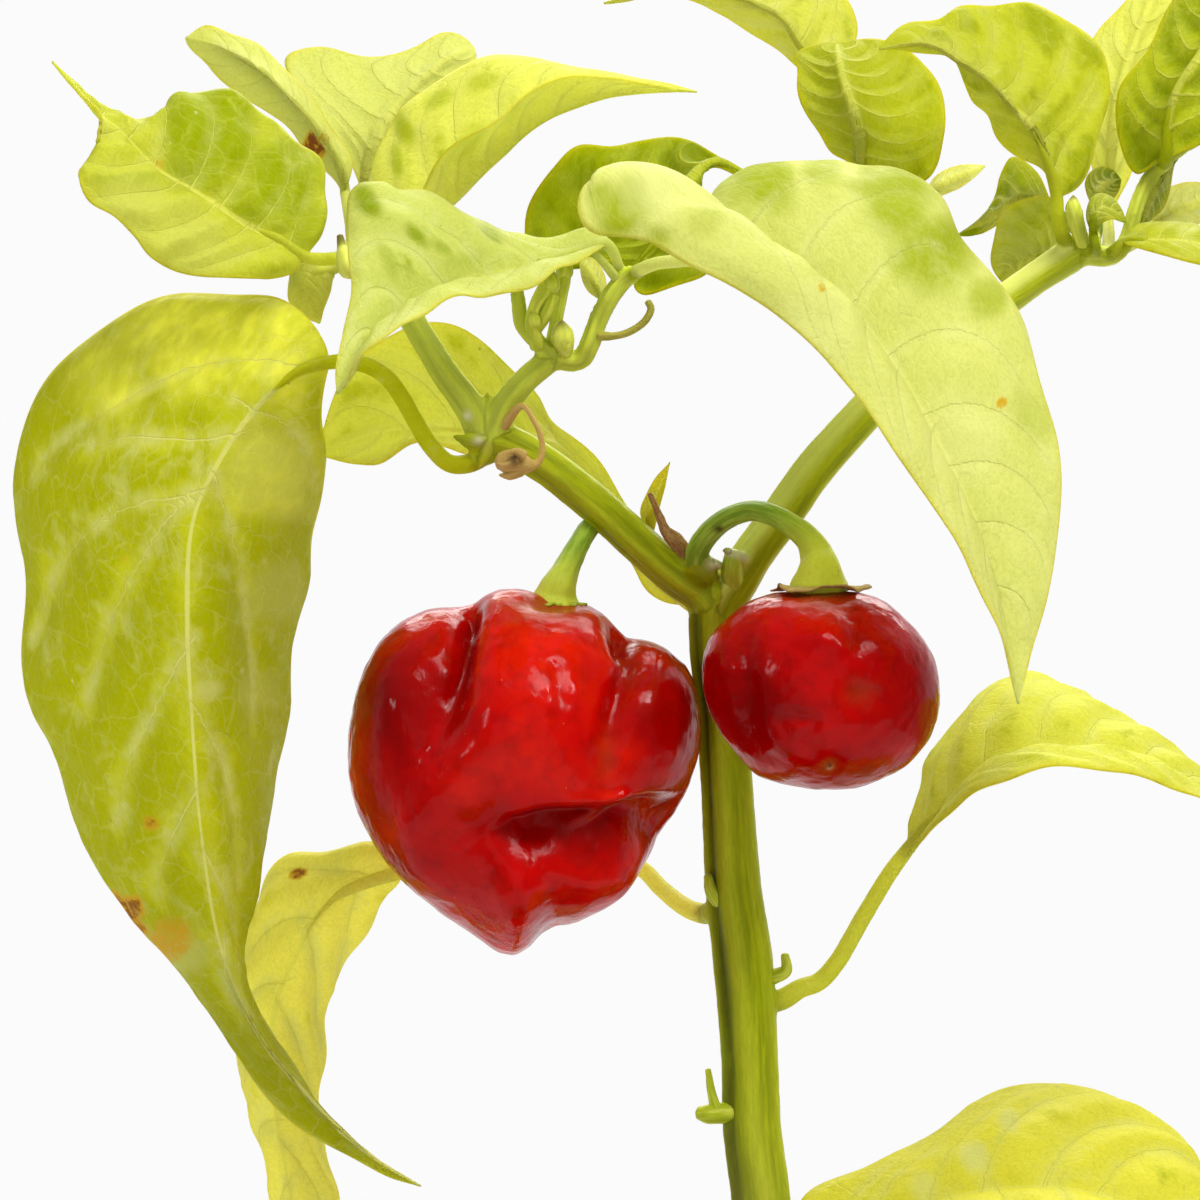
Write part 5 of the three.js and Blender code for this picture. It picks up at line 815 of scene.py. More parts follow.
    geo.add(v, f, co=co2, vs=both(signed), vd=both(far + 2.2 * (1 - smooth(half, 1.0, 2.0))), vw=both(thick), ms=both(across), mw=both(ribwide), face=face,
            edge=both(bell(margin, 0.4) * smooth(half, 0.6, 2.2)), puff=both(puff), mark=mark, pale=pale, lush=lush, sun=sun, blade=1.0)
    if stalk:
        pts = np.array([q[:4] for q in leaf["stalk"]], float)
        ends3 = at(pts[[0, -1], :3])
        if np.linalg.norm(ends3[0] - g[0, k]) < np.linalg.norm(ends3[1] - g[0, k]):
            pts = pts[::-1]
        start = int(np.linalg.norm(g[:, k] - at(pts[-1:, :3]), axis=1).argmin())
        reach = min(9.0, 0.16 * length[-1])
        keel = []
        for share in (0.35, 0.7, 1.0):  # the stalk runs out into the midrib
            q = g[min(rows - 1, int(np.searchsorted(length, length[start] + reach * share))), k] - 0.12 * nrm2[start, k]
            uq = view_uv(q[None])[0]
            keel.append([uq[0], uq[1], q[1], max(0.22, pts[-1, 3] * (1 - share) * 0.8)])
        pts = np.vstack([pts, keel])
        tv, tf, ta = tube(pts, sides=16, step=0.5, ribs=0.05, ribcount=3, rough=0.03, seed=look["seed"])
        geo.add(tv, tf, co=ta["co"], vs=9.0, vd=9.0, vw=1.0, ms=9.0, mw=0.3, face=1.0, blade=0.0)
    return geo


def mid_i(rows):
    return int(rows * 0.4)

# ---- pods ----
def ico(levels):
    """A subdivided icosahedron: unit points and triangles."""
    p = (1 + 5**0.5) / 2
    v = [(-1, p, 0), (1, p, 0), (-1, -p, 0), (1, -p, 0), (0, -1, p), (0, 1, p), (0, -1, -p), (0, 1, -p),
         (p, 0, -1), (p, 0, 1), (-p, 0, -1), (-p, 0, 1)]
    f = [(0, 11, 5), (0, 5, 1), (0, 1, 7), (0, 7, 10), (0, 10, 11), (1, 5, 9), (5, 11, 4), (11, 10, 2), (10, 7, 6),
         (7, 1, 8), (3, 9, 4), (3, 4, 2), (3, 2, 6), (3, 6, 8), (3, 8, 9), (4, 9, 5), (2, 4, 11), (6, 2, 10), (8, 6, 7),
         (9, 8, 1)]
    v, f = unit(np.array(v, float)), np.array(f)
    for _ in range(levels):
        e = np.sort(np.vstack([f[:, [0, 1]], f[:, [1, 2]], f[:, [2, 0]]]), 1)
        u, inv = np.unique(e, axis=0, return_inverse=True)
        inv = inv.reshape(-1)
        m = unit(v[u[:, 0]] + v[u[:, 1]])
        n, k = len(v), len(f)
        a, b, c = inv[:k] + n, inv[k:2 * k] + n, inv[2 * k:] + n
        v = np.vstack([v, m])
        f = np.vstack([np.stack([f[:, 0], a, c], 1), np.stack([f[:, 1], b, a], 1), np.stack([f[:, 2], c, b], 1),
                       np.stack([a, b, c], 1)])
    return v, f


def pod_geo(spec, front, back, levels, seed):
    """A pod: an outline about a middle, swelled to its depths, with its front and back worked by features."""
    dirs, faces = ico(levels)
    c = at([*spec["middle"], spec["depth"]])
    out = at([[u, v, spec["depth"]] for u, v in spec["outline"]])
    ang = np.arctan2(out[:, 2] - c[2], out[:, 0] - c[0])
    rad = np.hypot(out[:, 2] - c[2], out[:, 0] - c[0])
    order = np.argsort(ang)
    ang, rad = ang[order], rad[order]
    fine = np.linspace(-np.pi, np.pi, 721)
    r = np.interp(fine, np.concatenate([ang - 2 * np.pi, ang, ang + 2 * np.pi]), np.tile(rad, 3))
    for _ in range(6):
        r = (np.roll(r[:-1], 1) + 2 * r[:-1] + np.roll(r[:-1], -1)) / 4
        r = np.concatenate([r, r[:1]])
    th = np.arctan2(dirs[:, 2], dirs[:, 0])
    s = np.hypot(dirs[:, 0], dirs[:, 2])
    cosd = -dirs[:, 1]
    soft = np.interp(th, fine, r)
    mean = r.mean()
    blend = smooth(s, 0.25, 1.0)
    reach = soft * blend + mean * (1 - blend)
    depth = np.where(cosd > 0, spec["front"], spec["back"])
    x = c[0] + reach * s * np.cos(th)
    z = c[2] + reach * s * np.sin(th)
    y = c[1] - depth * np.sign(cosd) * np.abs(cosd) ** 0.92
    p = np.stack([x, y, z], -1)
    uv = view_uv(np.stack([x, np.full_like(x, spec["depth"]), z], -1))
    d = np.zeros(len(p))
    dark = np.zeros(len(p))
    for side, features in ((1, front), (-1, back)):
        gate = smooth(side * cosd, 0.0, 0.35)
        for f in features:
            if f["kind"] == "blob":
                rel = (uv - np.array(f["at"])) / np.array(f["size"])
                if "turn" in f:
                    ca, sa = math.cos(f["turn"]), math.sin(f["turn"])
                    q = uv - np.array(f["at"])
                    rel = np.stack([(q[:, 0] * ca + q[:, 1] * sa), (-q[:, 0] * sa + q[:, 1] * ca)], -1) / np.array(f["size"])
                shape = np.exp(-(rel**2).sum(1))
            else:
                far, share, sgn = to_line(uv, f["line"])
                far = far / UNITS_PER_MM
                taper = np.interp(share, np.linspace(0, 1, len(f["ends"])), f["ends"])
                if f["kind"] == "line":
                    shape = np.exp(-((far / f["wide"]) ** 2)) * taper
                else:  # a lip: steep on its right-hand side, then easing back
                    q = far * sgn
                    shape = smooth(q, -0.5, f["sharp"]) * np.exp(-((np.maximum(q, 0) / f["wide"]) ** 2)) * taper
            d = d + gate * f["amp"] * shape
            # painted shade: grooves, hollows and dimples cut by negative amps are marked dark, so the colour goes deep
            # red in them
            if f["amp"] < 0:
                dark = np.maximum(dark, gate * shape * min(1.0, -f["amp"] / 4.0) * f.get("dark", 1.0))
    d = d + 0.25 * fbm(p / 5.0, seed, 3) + 0.05 * fbm(p / 1.3, seed + 3, 2)
    outward = unit(np.stack([(x - c[0]) * 0.45, (y - c[1]), (z - c[2]) * 0.45], -1))
    p = p + outward * d[:, None]
    geo = Geo()
    geo.add(p, faces.tolist(), co=p - c + seed * 31.0, dark=np.clip(dark, 0, 1), across=d)
    return geo, c

# ---- stem ----
def joined(parts):
    geo = Geo()
    for v, f, a in parts:
        geo.add(v, f, **a)
    return geo


def fused(parts, voxel, steps, factor=0.5):
    """One skin over several overlapping shells, its joins rounded. Returns vertices in millimetres and faces."""
    geo = joined(parts)
    mesh = bpy.data.meshes.new("raw")
    mesh.from_pydata((geo.verts() * 0.001).tolist(), [], geo.f)
    obj = bpy.data.objects.new("raw", mesh)
    bpy.context.scene.collection.objects.link(obj)
    m = obj.modifiers.new("skin", "REMESH")
    m.mode = "VOXEL"
    m.voxel_size = voxel * 0.001
    sm = obj.modifiers.new("soft", "SMOOTH")
    sm.factor = factor
    sm.iterations = steps
    dg = bpy.context.evaluated_depsgraph_get()
    made = bpy.data.meshes.new_from_object(obj.evaluated_get(dg))
    v = np.empty(len(made.vertices) * 3, np.float32)
    made.vertices.foreach_get("co", v)
    faces = [tuple(p.vertices) for p in made.polygons]
    bpy.data.objects.remove(obj, do_unlink=True)
    bpy.data.meshes.remove(made)
    return v.reshape(-1, 3).astype(float) * 1000.0, faces


def axis_of(points, step=0.6):
    """Centres, tangents, radii, frames and lengths along a branch."""
    pts = np.array([q[:4] for q in points], float)
    centre = at(pts[:, :3])
    total = np.linalg.norm(np.diff(centre, axis=0), axis=1).sum()
    n = max(6, int(total / step))
    t = np.linspace(0, 1, n + 1)
    c = curve(centre, t)
    r = np.interp(t, np.linspace(0, 1, len(pts)), pts[:, 3]) / 2
    tan = unit(np.gradient(c, axis=0))
    arc = np.concatenate([[0], np.cumsum(np.linalg.norm(np.diff(c, axis=0), axis=1))])
    normal = np.array([0.0, -1.0, 0.0])
    frames = []
    for i in range(n + 1):
        normal = unit(normal - (normal @ tan[i]) * tan[i])
        frames.append(normal)
    return c, tan, r, np.array(frames), arc


def stem_geo(voxel):
    parts = []
    for name, pts in STEM.items():
        parts.append(tube(pts, sides=28, step=0.8, rough=0.05, seed=len(name)))
    collars = [leaf["stalk"] for leaf in LEAVES.values()] + [STALK_LARGE, STALK_SMALL]
    for st in collars:
        a, b = np.array(st[0][:4], float), np.array(st[1][:4], float)
        start, end = at(a[:3]), at(b[:3])
        gap = np.linalg.norm(end - start)
        if gap < 0.4:
            continue
        f = min(1.0, 4.2 / gap)
        e = a + (b - a) * f
        w = min(a[3], b[3] * 1.5)
        parts.append(tube([(*a[:3], w * 1.25), (*(a + (e - a) * 0.55)[:3], w * 1.12), (*e[:3], b[3] * 0.86)], sides=20, step=0.4))
    for u, v, d, dia in KNOBS:
        parts.append(tube([(u, v, d, dia), (u + 0.5, v - 2, d, dia * 0.9)], sides=16, step=0.3))
    for twig in TWIGS:
        parts.append(tube(twig, sides=14, step=0.25))
    v, f = fused(parts, voxel, 7, 0.6)
    cs, rs, tans, frs, arcs, ids = [], [], [], [], [], []
    for i, (name, pts) in enumerate(STEM.items()):
        c, tan, r, fr, arc = axis_of(pts)
        cs.append(c), rs.append(r), tans.append(tan), frs.append(fr), arcs.append(arc), ids.append(np.full(len(c), i))
    cs, rs, tans, frs, arcs, ids = map(np.concatenate, (cs, rs, tans, frs, arcs, ids))
    dist, idx = nearest(v, cs)
    out = v - cs[idx]
    out = out - (out * tans[idx]).sum(1, keepdims=True) * tans[idx]
    side = np.cross(tans[idx], frs[idx])
    a = np.arctan2((out * side).sum(1), (out * frs[idx]).sum(1))
    near = 1 - smooth(dist / rs[idx], 1.15, 1.5)  # away from joins the skin is ribbed
    along = arcs[idx]
    phase = 0.35 * np.sin(along * 0.05 + ids[idx])
    ribs = np.where(ids[idx] == 0, 0.20, 0.09) * np.cos(5 * (a + phase)) + 0.05 * np.cos(11 * (a + 0.6 * phase) + 1.0)
    groove = np.where(ids[idx] == 0, -0.30, -0.12) * bell(np.angle(np.exp(1j * (a + 0.95 + 0.1 * np.sin(along * 0.04)))), 0.16)
    swell = 0.05 * fbm(v / 1.7, 4, 3)
    v = v + unit(out) * ((ribs + groove) * near + swell)[:, None]
    geo = Geo()
    co = np.stack([np.cos(a) * rs[idx], np.sin(a) * rs[idx], along], -1) + ids[idx][:, None] * 23.0
    stripe = 0.5 + 0.5 * np.cos(5 * (a + phase))
    high = smooth(v[:, 2], 150, 240)
    knot = 1 - near
    shade = bell(np.angle(np.exp(1j * (a + 0.95))), 0.34) * (ids[idx] == 0)
    scar = np.zeros(len(v))
    for u, w, d, dia in KNOBS:
        q = at((u + 0.5, w - 2, d - dia * 0.5))
        scar = np.maximum(scar, bell(np.linalg.norm(v - q, axis=1), dia * 0.46))
    # painted light: the right branch is painted lighter on its upper side and on its underside, by fixed directions;
    # the shoots are a lighter green all round
    upper = smooth((unit(out) * np.array([-0.55, -0.3, 0.78])).sum(1), 0.1, 0.7)
    under = smooth(-(unit(out) * np.array([-0.55, -0.3, 0.78])).sum(1), 0.45, 0.9)
    light = np.where(ids[idx] == 2, 0.75 * upper + 0.45 * under, 0.0) + np.where((ids[idx] > 2), 0.25, 0.0)
    geo.add(v, f, light=light * near, co=co, stripe=stripe, knot=knot, shade=shade, high=high, scar=scar, joint=np.clip(near, 0, 1))
    return geo


KNOBS = [(715, 565, -3.6, 2.3), (728, 552, -3.6, 1.7), (742, 558, -2.8, 2.3), (478, 442, -2.0, 1.6), (466, 418, -1.4, 1.3)]
# small scales and a dry tendril end at the node of the left shoot
TWIGS = [[(482, 447, -0.5, 2.6), (468, 442, -1.5, 1.9), (454, 436, -2.0, 0.7)], [(478, 410, 0, 1.8), (486, 399, -0.6, 1.1), (489, 391, -0.6, 0.5)]]


# ---- pot and soil ----
def slope(z):
    return POT_BASE_R + (POT_TOP_R - RIM_PROUD - POT_BASE_R) * z / POT_HEIGHT


def inner(z):
    top, low = POT_TOP_R - 9, slope(POT_FLOOR + 3) - POT_WALL
    return low + (top - low) * (z - POT_FLOOR - 3) / (POT_HEIGHT - 1.5 - POT_FLOOR - 3)


def rounded(profile, step=1.2, bend=0.9):
    """A profile with its corners rounded, as close rows of (r, z)."""
    p = [np.array(q, float) for q in profile]
    out = [p[0]]
    for a, b, c in zip(p, p[1:], p[2:]):
        la, lc = np.linalg.norm(b - a), np.linalg.norm(c - b)
        k = min(bend, 0.45 * la, 0.45 * lc)
        s, e = b + (a - b) / la * k, b + (c - b) / lc * k
        out += [(1 - t) ** 2 * s + 2 * t * (1 - t) * b + t * t * e for t in (0, 0.25, 0.5, 0.75, 1)]
    out.append(p[-1])
    fine = [out[0]]
    for q in out[1:]:
        m = max(1, int(np.linalg.norm(q - fine[-1]) / step))
        last = fine[-1]
        fine += [last + (q - last) * (i + 1) / m for i in range(m)]
    return np.array(fine)


def turned(profile, around, move=None):
    ang = np.linspace(0, 2 * np.pi, around, endpoint=False)
    body = profile[1:-1]
    v = np.stack([body[:, 0:1] * np.cos(ang), body[:, 0:1] * np.sin(ang), np.repeat(body[:, 1:2], around, 1)], -1)
    if move is not None:
        v = move(v)
    rows = len(body)
    v = v.reshape(-1, 3)
    f = grid_faces(rows, around, wrap=True)
    v = np.vstack([v, [[0, 0, profile[0, 1]], [0, 0, profile[-1, 1]]]])
    s, e, last = rows * around, rows * around + 1, (rows - 1) * around
    for j in range(around):
        k = (j + 1) % around
        f += [(s, k, j), (e, last + j, last + k)]
    return v, f


def make_pot():
    prof = rounded([
        (0, 0), (POT_BASE_R, 0), (slope(POT_HEIGHT - RIM_HEIGHT), POT_HEIGHT - RIM_HEIGHT),
        (slope(POT_HEIGHT - RIM_HEIGHT) + RIM_PROUD - 0.4, POT_HEIGHT - RIM_HEIGHT + 0.6), (POT_TOP_R, POT_HEIGHT),
        (POT_TOP_R - 9, POT_HEIGHT), (slope(POT_FLOOR + 3) - POT_WALL, POT_FLOOR + 2), (slope(POT_FLOOR) - POT_WALL - 3, POT_FLOOR),
        (0, POT_FLOOR)], step=1.5, bend=2.0)

    def move(v):
        r = np.hypot(v[..., 0], v[..., 1])
        a = np.arctan2(v[..., 1], v[..., 0])
        z = v[..., 2]
        wob = 0.16 * np.sin(2 * a + 0.4 + z * 0.004) + 0.10 * np.sin(3 * a + 2.0) + 0.08 * np.sin(z * 1.1) * smooth(z, 6, 14)
        flat = v.reshape(-1, 3)
        wob = wob + 0.10 * fbm(flat / 9.0, 3, 3).reshape(r.shape)
        keep = smooth(z, 0.0, 3.0)
        rr = r + wob * keep * smooth(r, 20, 40)
        return np.stack([rr * np.cos(a), rr * np.sin(a), z], -1)

    v, f = turned(prof, 192, move)
    geo = Geo()
    geo.add(v, f)
    obj = new_object("pot", geo, POT_MATERIAL)
    for i in range(3):
        a = math.radians(90 + 120 * i)
        ang = np.linspace(0, 2 * np.pi, 40, endpoint=False)
        ring = np.stack([DRAIN_RING_R * math.cos(a) + DRAIN_HOLE_R * np.cos(ang), DRAIN_RING_R * math.sin(a) + DRAIN_HOLE_R * np.sin(ang)], -1)
        low, high = np.column_stack([ring, np.full(40, -5.0)]), np.column_stack([ring, np.full(40, POT_FLOOR + 5.0)])
        cut = Geo()
        cut.add(np.vstack([low, high]), grid_faces(2, 40, wrap=True) + [tuple(range(39, -1, -1)), tuple(range(40, 80))])
        tool = new_object("cut", cut, POT_MATERIAL)
        m = obj.modifiers.new("hole", "BOOLEAN")
        m.operation, m.solver, m.object = "DIFFERENCE", "EXACT", tool
        dg = bpy.context.evaluated_depsgraph_get()
        made = bpy.data.meshes.new_from_object(obj.evaluated_get(dg))
        obj.modifiers.clear()
        old, obj.data = obj.data, made
        bpy.data.meshes.remove(old)
        bpy.data.objects.remove(tool, do_unlink=True)
    obj.data.polygons.foreach_set("use_smooth", np.ones(len(obj.data.polygons), bool))
    m = obj.data
    m.materials.clear()
    m.materials.append(POT_MATERIAL)
    m.update()
    obj.data.set_sharp_from_angle(angle=math.radians(50))
    return piece("pot", obj, ["pot"])


def make_soil():
    """Potting soil: a lumpy top with crumbs, down inside the pot."""
    gapr = lambda z: inner(z) - 0.4
    prof = [(0, POT_FLOOR + 0.35), (slope(POT_FLOOR) - POT_WALL - 3.6, POT_FLOOR + 0.35), (gapr(POT_FLOOR + 3.2), POT_FLOOR + 3.4),
            (gapr(SOIL_TOP - 2.0), SOIL_TOP - 2.0)]
    rows = [np.array(q, float) for q in prof]
    body = [rows[0], rows[1], rows[2]]
    for i in range(1, 12):
        body.append(rows[2] + (rows[3] - rows[2]) * i / 11)
    edge = gapr(SOIL_TOP - 2.0)
    fine = 0.75
    rr = np.arange(edge - 0.5, 0.6, -fine)
    for r in rr:
        body.append(np.array([r, SOIL_TOP - 1.6 * smooth(r, edge - 9, edge) + 0.9 * (1 - r / edge)]))
    body.append(np.array([0, SOIL_TOP + 0.9]))
    body = np.array(body)
    first_top = 3 + 11

    def move(v):
        top = np.zeros(v.shape[:2])
        top[first_top:] = 1
        top = top * smooth(edge - np.hypot(v[..., 0], v[..., 1]), -0.5, 2.5) 
        flat = v.reshape(-1, 3) * np.array([1, 1, 0])
        h = 1.0 * fbm(flat / 9.0, 21, 2) + 0.85 * np.abs(fbm(flat / 2.6, 22, 2)) + 0.5 * fbm(flat / 1.1, 23, 2)
        out = v.copy()
        out[..., 2] += top * (h.reshape(top.shape) - 0.35)
        return out

    v, f = turned(body, 420, move)
    geo = Geo()
    geo.add(v, f, co=v, crumb=0.0)
    rng = np.random.RandomState(12)
    base, tris = ico(1)
    base2, tris2 = ico(2)
    for i in range(1500):
        r = edge * math.sqrt(rng.rand()) * 0.965
        a = rng.rand() * 2 * math.pi
        if r < 5.2:
            continue
        size = 0.45 + 1.25 * rng.rand() ** 3
        b, t = (base2, tris2) if size > 0.9 else (base, tris)
        squash = np.array([1.0 + 0.5 * rng.rand(), 1.0, 0.55 + 0.4 * rng.rand()])
        q = b * (1 + 0.28 * noise(b * 1.9 + i * 3.1, i)[:, None]) * size * squash
        th = rng.rand() * 6.28
        q = np.stack([q[:, 0] * math.cos(th) - q[:, 1] * math.sin(th), q[:, 0] * math.sin(th) + q[:, 1] * math.cos(th), q[:, 2]], -1)
        x, y = r * math.cos(a), r * math.sin(a)
        z = SOIL_TOP - 1.6 * float(smooth(r, edge - 9, edge)) + 0.9 * (1 - r / edge) + 0.9 * float(fbm(np.array([[x / 9.0, y / 9.0, 0]]), 21, 2)[0]) + 0.25
        geo.add(q + np.array([x, y, z]), t.tolist(), co=q + i * 1.7, crumb=rng.rand())
    obj = new_object("soil", geo, SOIL_MATERIAL)
    return piece("soil", obj, ["soil"])

# ---- materials ----
class Nodes:
    """A short way to write a material's nodes."""

    def __init__(self, name):
        self.mat = bpy.data.materials.new(name)
        self.mat.use_nodes = True
        self.t = self.mat.node_tree
        self.t.nodes.clear()
        self.out = self.t.nodes.new("ShaderNodeOutputMaterial")

    def new(self, kind, **props):
        n = self.t.nodes.new("ShaderNode" + kind)
        for k, x in props.items():
            setattr(n, k, x)
        return n

    def put(self, socket, value):
        if isinstance(value, bpy.types.NodeSocket):
            self.t.links.new(value, socket)
        elif value is not None:
            socket.default_value = value

    def attr(self, name, vector=False):
        n = self.new("Attribute", attribute_name=name)
        return n.outputs["Vector" if vector else "Fac"]

    def scaled(self, vec, s):
        n = self.new("VectorMath", operation="MULTIPLY")
        self.put(n.inputs[0], vec)
        n.inputs[1].default_value = s if isinstance(s, tuple) else (s, s, s)
        return n.outputs[0]

    def noise(self, vec, scale, detail=3.0, rough=0.55, distort=0.0):
        n = self.new("TexNoise")
        self.put(n.inputs["Vector"], vec)
        n.inputs["Scale"].default_value = scale
        n.inputs["Detail"].default_value = detail
        n.inputs["Roughness"].default_value = rough
        n.inputs["Distortion"].default_value = distort
        return n.outputs["Fac"]

    def cells(self, vec, scale, feature="DISTANCE_TO_EDGE", rand=1.0):
        n = self.new("TexVoronoi", feature=feature)
        self.put(n.inputs["Vector"], vec)
        n.inputs["Scale"].default_value = scale
        n.inputs["Randomness"].default_value = rand
        return n

    def span(self, x, lo, hi, a=0.0, b=1.0, smoothly=True):
        n = self.new("MapRange", interpolation_type="SMOOTHSTEP" if smoothly else "LINEAR")
        self.put(n.inputs["Value"], x)
        n.inputs["From Min"].default_value = lo
        n.inputs["From Max"].default_value = hi
        n.inputs["To Min"].default_value = a
        n.inputs["To Max"].default_value = b
        return n.outputs["Result"]

    def math(self, op, a, b=None, clamp=False):
        n = self.new("Math", operation=op, use_clamp=clamp)
        self.put(n.inputs[0], a)
        if b is not None:
            self.put(n.inputs[1], b)
        return n.outputs[0]

    def mix(self, fac, a, b, blend="MIX"):
        n = self.new("Mix", data_type="RGBA", blend_type=blend)
        self.put(n.inputs["Factor"], fac)
        self.put(n.inputs[6], a if isinstance(a, bpy.types.NodeSocket) else (*a, 1.0))
        self.put(n.inputs[7], b if isinstance(b, bpy.types.NodeSocket) else (*b, 1.0))
        return n.outputs[2]

    def bump(self, height, distance, strength=1.0, normal=None):
        n = self.new("Bump")
        n.inputs["Strength"].default_value = strength
        n.inputs["Distance"].default_value = distance
        self.put(n.inputs["Height"], height)
        if normal is not None:
            self.put(n.inputs["Normal"], normal)
        return n.outputs["Normal"]

    def principled(self, color, rough, normal=None, **numbers):
        n = self.new("BsdfPrincipled")
        self.put(n.inputs["Base Color"], color if isinstance(color, bpy.types.NodeSocket) else (*color, 1.0))
        self.put(n.inputs["Roughness"], rough)
        if normal is not None:
            self.put(n.inputs["Normal"], normal)
        for k, x in numbers.items():
            n.inputs[k.replace("_", " ")].default_value = x
        return n.outputs[0]

    def done(self, shader):
        self.put(self.out.inputs["Surface"], shader)
        return self.mat


def lin(r, g, b):
    """Linear colour of an sRGB one of 0 to 255."""
    return tuple(c / 255 / 12.92 if c / 255 <= 0.04045 else ((c / 255 + 0.055) / 1.055) ** 2.4 for c in (r, g, b))


def leaf_material(name, look):
    m = Nodes(name)
    co = m.attr("co", True)
    big = m.noise(co, 0.10, 3.0, 0.55)
    mid = m.noise(co, 0.36, 3.0, 0.6)
    fine = m.noise(co, 2.4, 3.0, 0.65)
    warp = m.new("TexNoise")
    m.put(warp.inputs["Vector"], co)
    warp.inputs["Scale"].default_value = 0.5
    shift = m.new("VectorMath", operation="MULTIPLY_ADD")
    m.put(shift.inputs[0], warp.outputs["Color"])
    shift.inputs[1].default_value = (1.7, 1.7, 0.0)
    m.put(shift.inputs[2], co)
    bent = shift.outputs[0]
    blade = m.attr("blade")
    puff = m.attr("puff")
    # main veins and midrib as thin lines, from signed distances
    vw = m.attr("vw")
    line = m.span(m.math("DIVIDE", m.math("ABSOLUTE", m.attr("vs")), vw), 0.10, 0.30, 1.0, 0.0)
    near = m.attr("vd")
    line = m.math("MULTIPLY", line, m.span(near, 1.3, 2.1, 1.0, 0.0))
    msd = m.math("ABSOLUTE", m.attr("ms"))
    rib = m.span(m.math("DIVIDE", msd, m.math("ADD", m.attr("mw"), 0.02)), 0.7, 1.25, 1.0, 0.0)
    cells = m.cells(bent, 0.26)
    net1 = m.span(cells.outputs["Distance"], 0.008, 0.045, 1.0, 0.0)
    cells2 = m.cells(bent, 0.85)
    net2 = m.span(cells2.outputs["Distance"], 0.01, 0.10, 1.0, 0.0)
    # tissue: lush between the veins, paler beside them
    patch = m.math("ADD", m.math("MULTIPLY", big, 0.55), m.math("MULTIPLY", mid, 0.45))
    inner = m.math("ADD", m.math("MULTIPLY", puff, look["between"]), patch)
    lush = m.span(inner, look["patch"], look["patch"] + 0.20)
    # the given spots add deeper green: greener tissue on most leaves, painted shade on the inner face of the curled
    # lobe of leaf_right_big
    lush = m.math("MAXIMUM", m.math("MULTIPLY", lush, look["lushness"]), m.attr("lush"), clamp=True)
    color = m.mix(lush, look["light"], look["green"])
    color = m.mix(m.span(fine, 0.38, 0.72, 0.0, 0.20), color, look["deep"])
    halo = m.math("MULTIPLY", m.span(near, 0.3, look["halo"], 1.0, 0.0), m.span(m.noise(co, 0.22, 3.0, 0.6), 0.40, 0.62, 0.15, 1.0))
    worn = m.math("MULTIPLY", m.span(m.noise(co, 0.19, 4.0, 0.65), 0.52, 0.70), 0.7)
    grey = m.math("MULTIPLY", m.math("MAXIMUM", halo, worn), look["worn"])
    grey = m.math("MULTIPLY", grey, m.span(m.noise(co, 1.6, 3.0, 0.7), 0.30, 0.62, 0.55, 1.0))
    grey = m.math("MAXIMUM", grey, m.attr("pale"), clamp=True)
    color = m.mix(grey, color, look["pale"])
    # painted sunlight: the given patches mixed towards a bright yellow
    color = m.mix(m.math("MULTIPLY", m.attr("sun"), m.span(mid, 0.30, 0.60, 1.0, 0.55)), color, look.get("bright", lin(250, 248, 92)))
    color = m.mix(m.math("MULTIPLY", m.math("MULTIPLY", net2, blade), 0.10), color, look["vein"])
    color = m.mix(m.math("MULTIPLY", m.math("MULTIPLY", net1, blade), 0.24 * look["vein_show"]), color, look["vein"])
    color = m.mix(m.math("MULTIPLY", line, look["vein_show"]), color, look["vein"])
    color = m.mix(m.math("MULTIPLY", rib, min(1.0, look["vein_show"] * 1.2)), color, look["vein"])
    color = m.mix(m.math("MULTIPLY", m.attr("edge"), 0.5), color, look["edge"])
    speck = m.cells(co, 0.34, "F1")
    dots = m.math("MULTIPLY", m.span(speck.outputs["Distance"], 0.03, 0.08, 1.0, 0.0), m.span(m.noise(co, 0.23, 1.0), 0.59, 0.65))
    color = m.mix(m.math("MULTIPLY", dots, 0.55), color, lin(120, 104, 40))
    speck = m.cells(m.scaled(co, 1.07), 0.30, "F1")
    dots = m.math("MULTIPLY", m.span(speck.outputs["Distance"], 0.03, 0.09, 1.0, 0.0), m.span(m.noise(co, 0.31, 1.0), 0.58, 0.64))
    color = m.mix(m.math("MULTIPLY", dots, 0.6), color, lin(236, 234, 200))
    mark = m.attr("mark")
    spot = m.math("MULTIPLY", mark, m.span(m.noise(co, 1.3, 3.0, 0.7), 0.30, 0.55, 0.35, 1.0), clamp=True)
    color = m.mix(m.span(spot, 0.0, 0.5), color, lin(214, 176, 44))
    color = m.mix(m.span(spot, 0.5, 0.95), color, lin(146, 84, 26))
    nets = m.math("MULTIPLY", m.math("ADD", m.math("MULTIPLY", net1, 0.20), m.math("MULTIPLY", net2, 0.12)), blade)
    relief = m.math("ADD", m.math("MULTIPLY", line, 0.9), nets)
    relief = m.math("MULTIPLY", relief, m.math("MULTIPLY", m.attr("face"), -1.0))
    bumps = m.math("ADD", relief, m.math("ADD", m.math("MULTIPLY", fine, 0.08), m.math("MULTIPLY", m.noise(co, 0.7, 2.0), 0.8)))
    normal = m.bump(bumps, 0.00022, 0.7)
    rough = m.span(mid, 0.3, 0.7, 0.38, 0.55)
    body = m.principled(color, rough, normal, **{"Specular_IOR_Level": 0.08})
    glow = m.new("BsdfTranslucent")
    lift = m.new("Gamma")
    m.put(lift.inputs["Color"], color)
    lift.inputs["Gamma"].default_value = 0.62
    m.put(glow.inputs["Color"], lift.outputs[0])
    m.put(glow.inputs["Normal"], normal)
    mixer = m.new("MixShader")
    mixer.inputs[0].default_value = 0.55
    m.put(mixer.inputs[1], body)
    m.put(mixer.inputs[2], glow.outputs[0])
    return m.done(mixer.outputs[0])


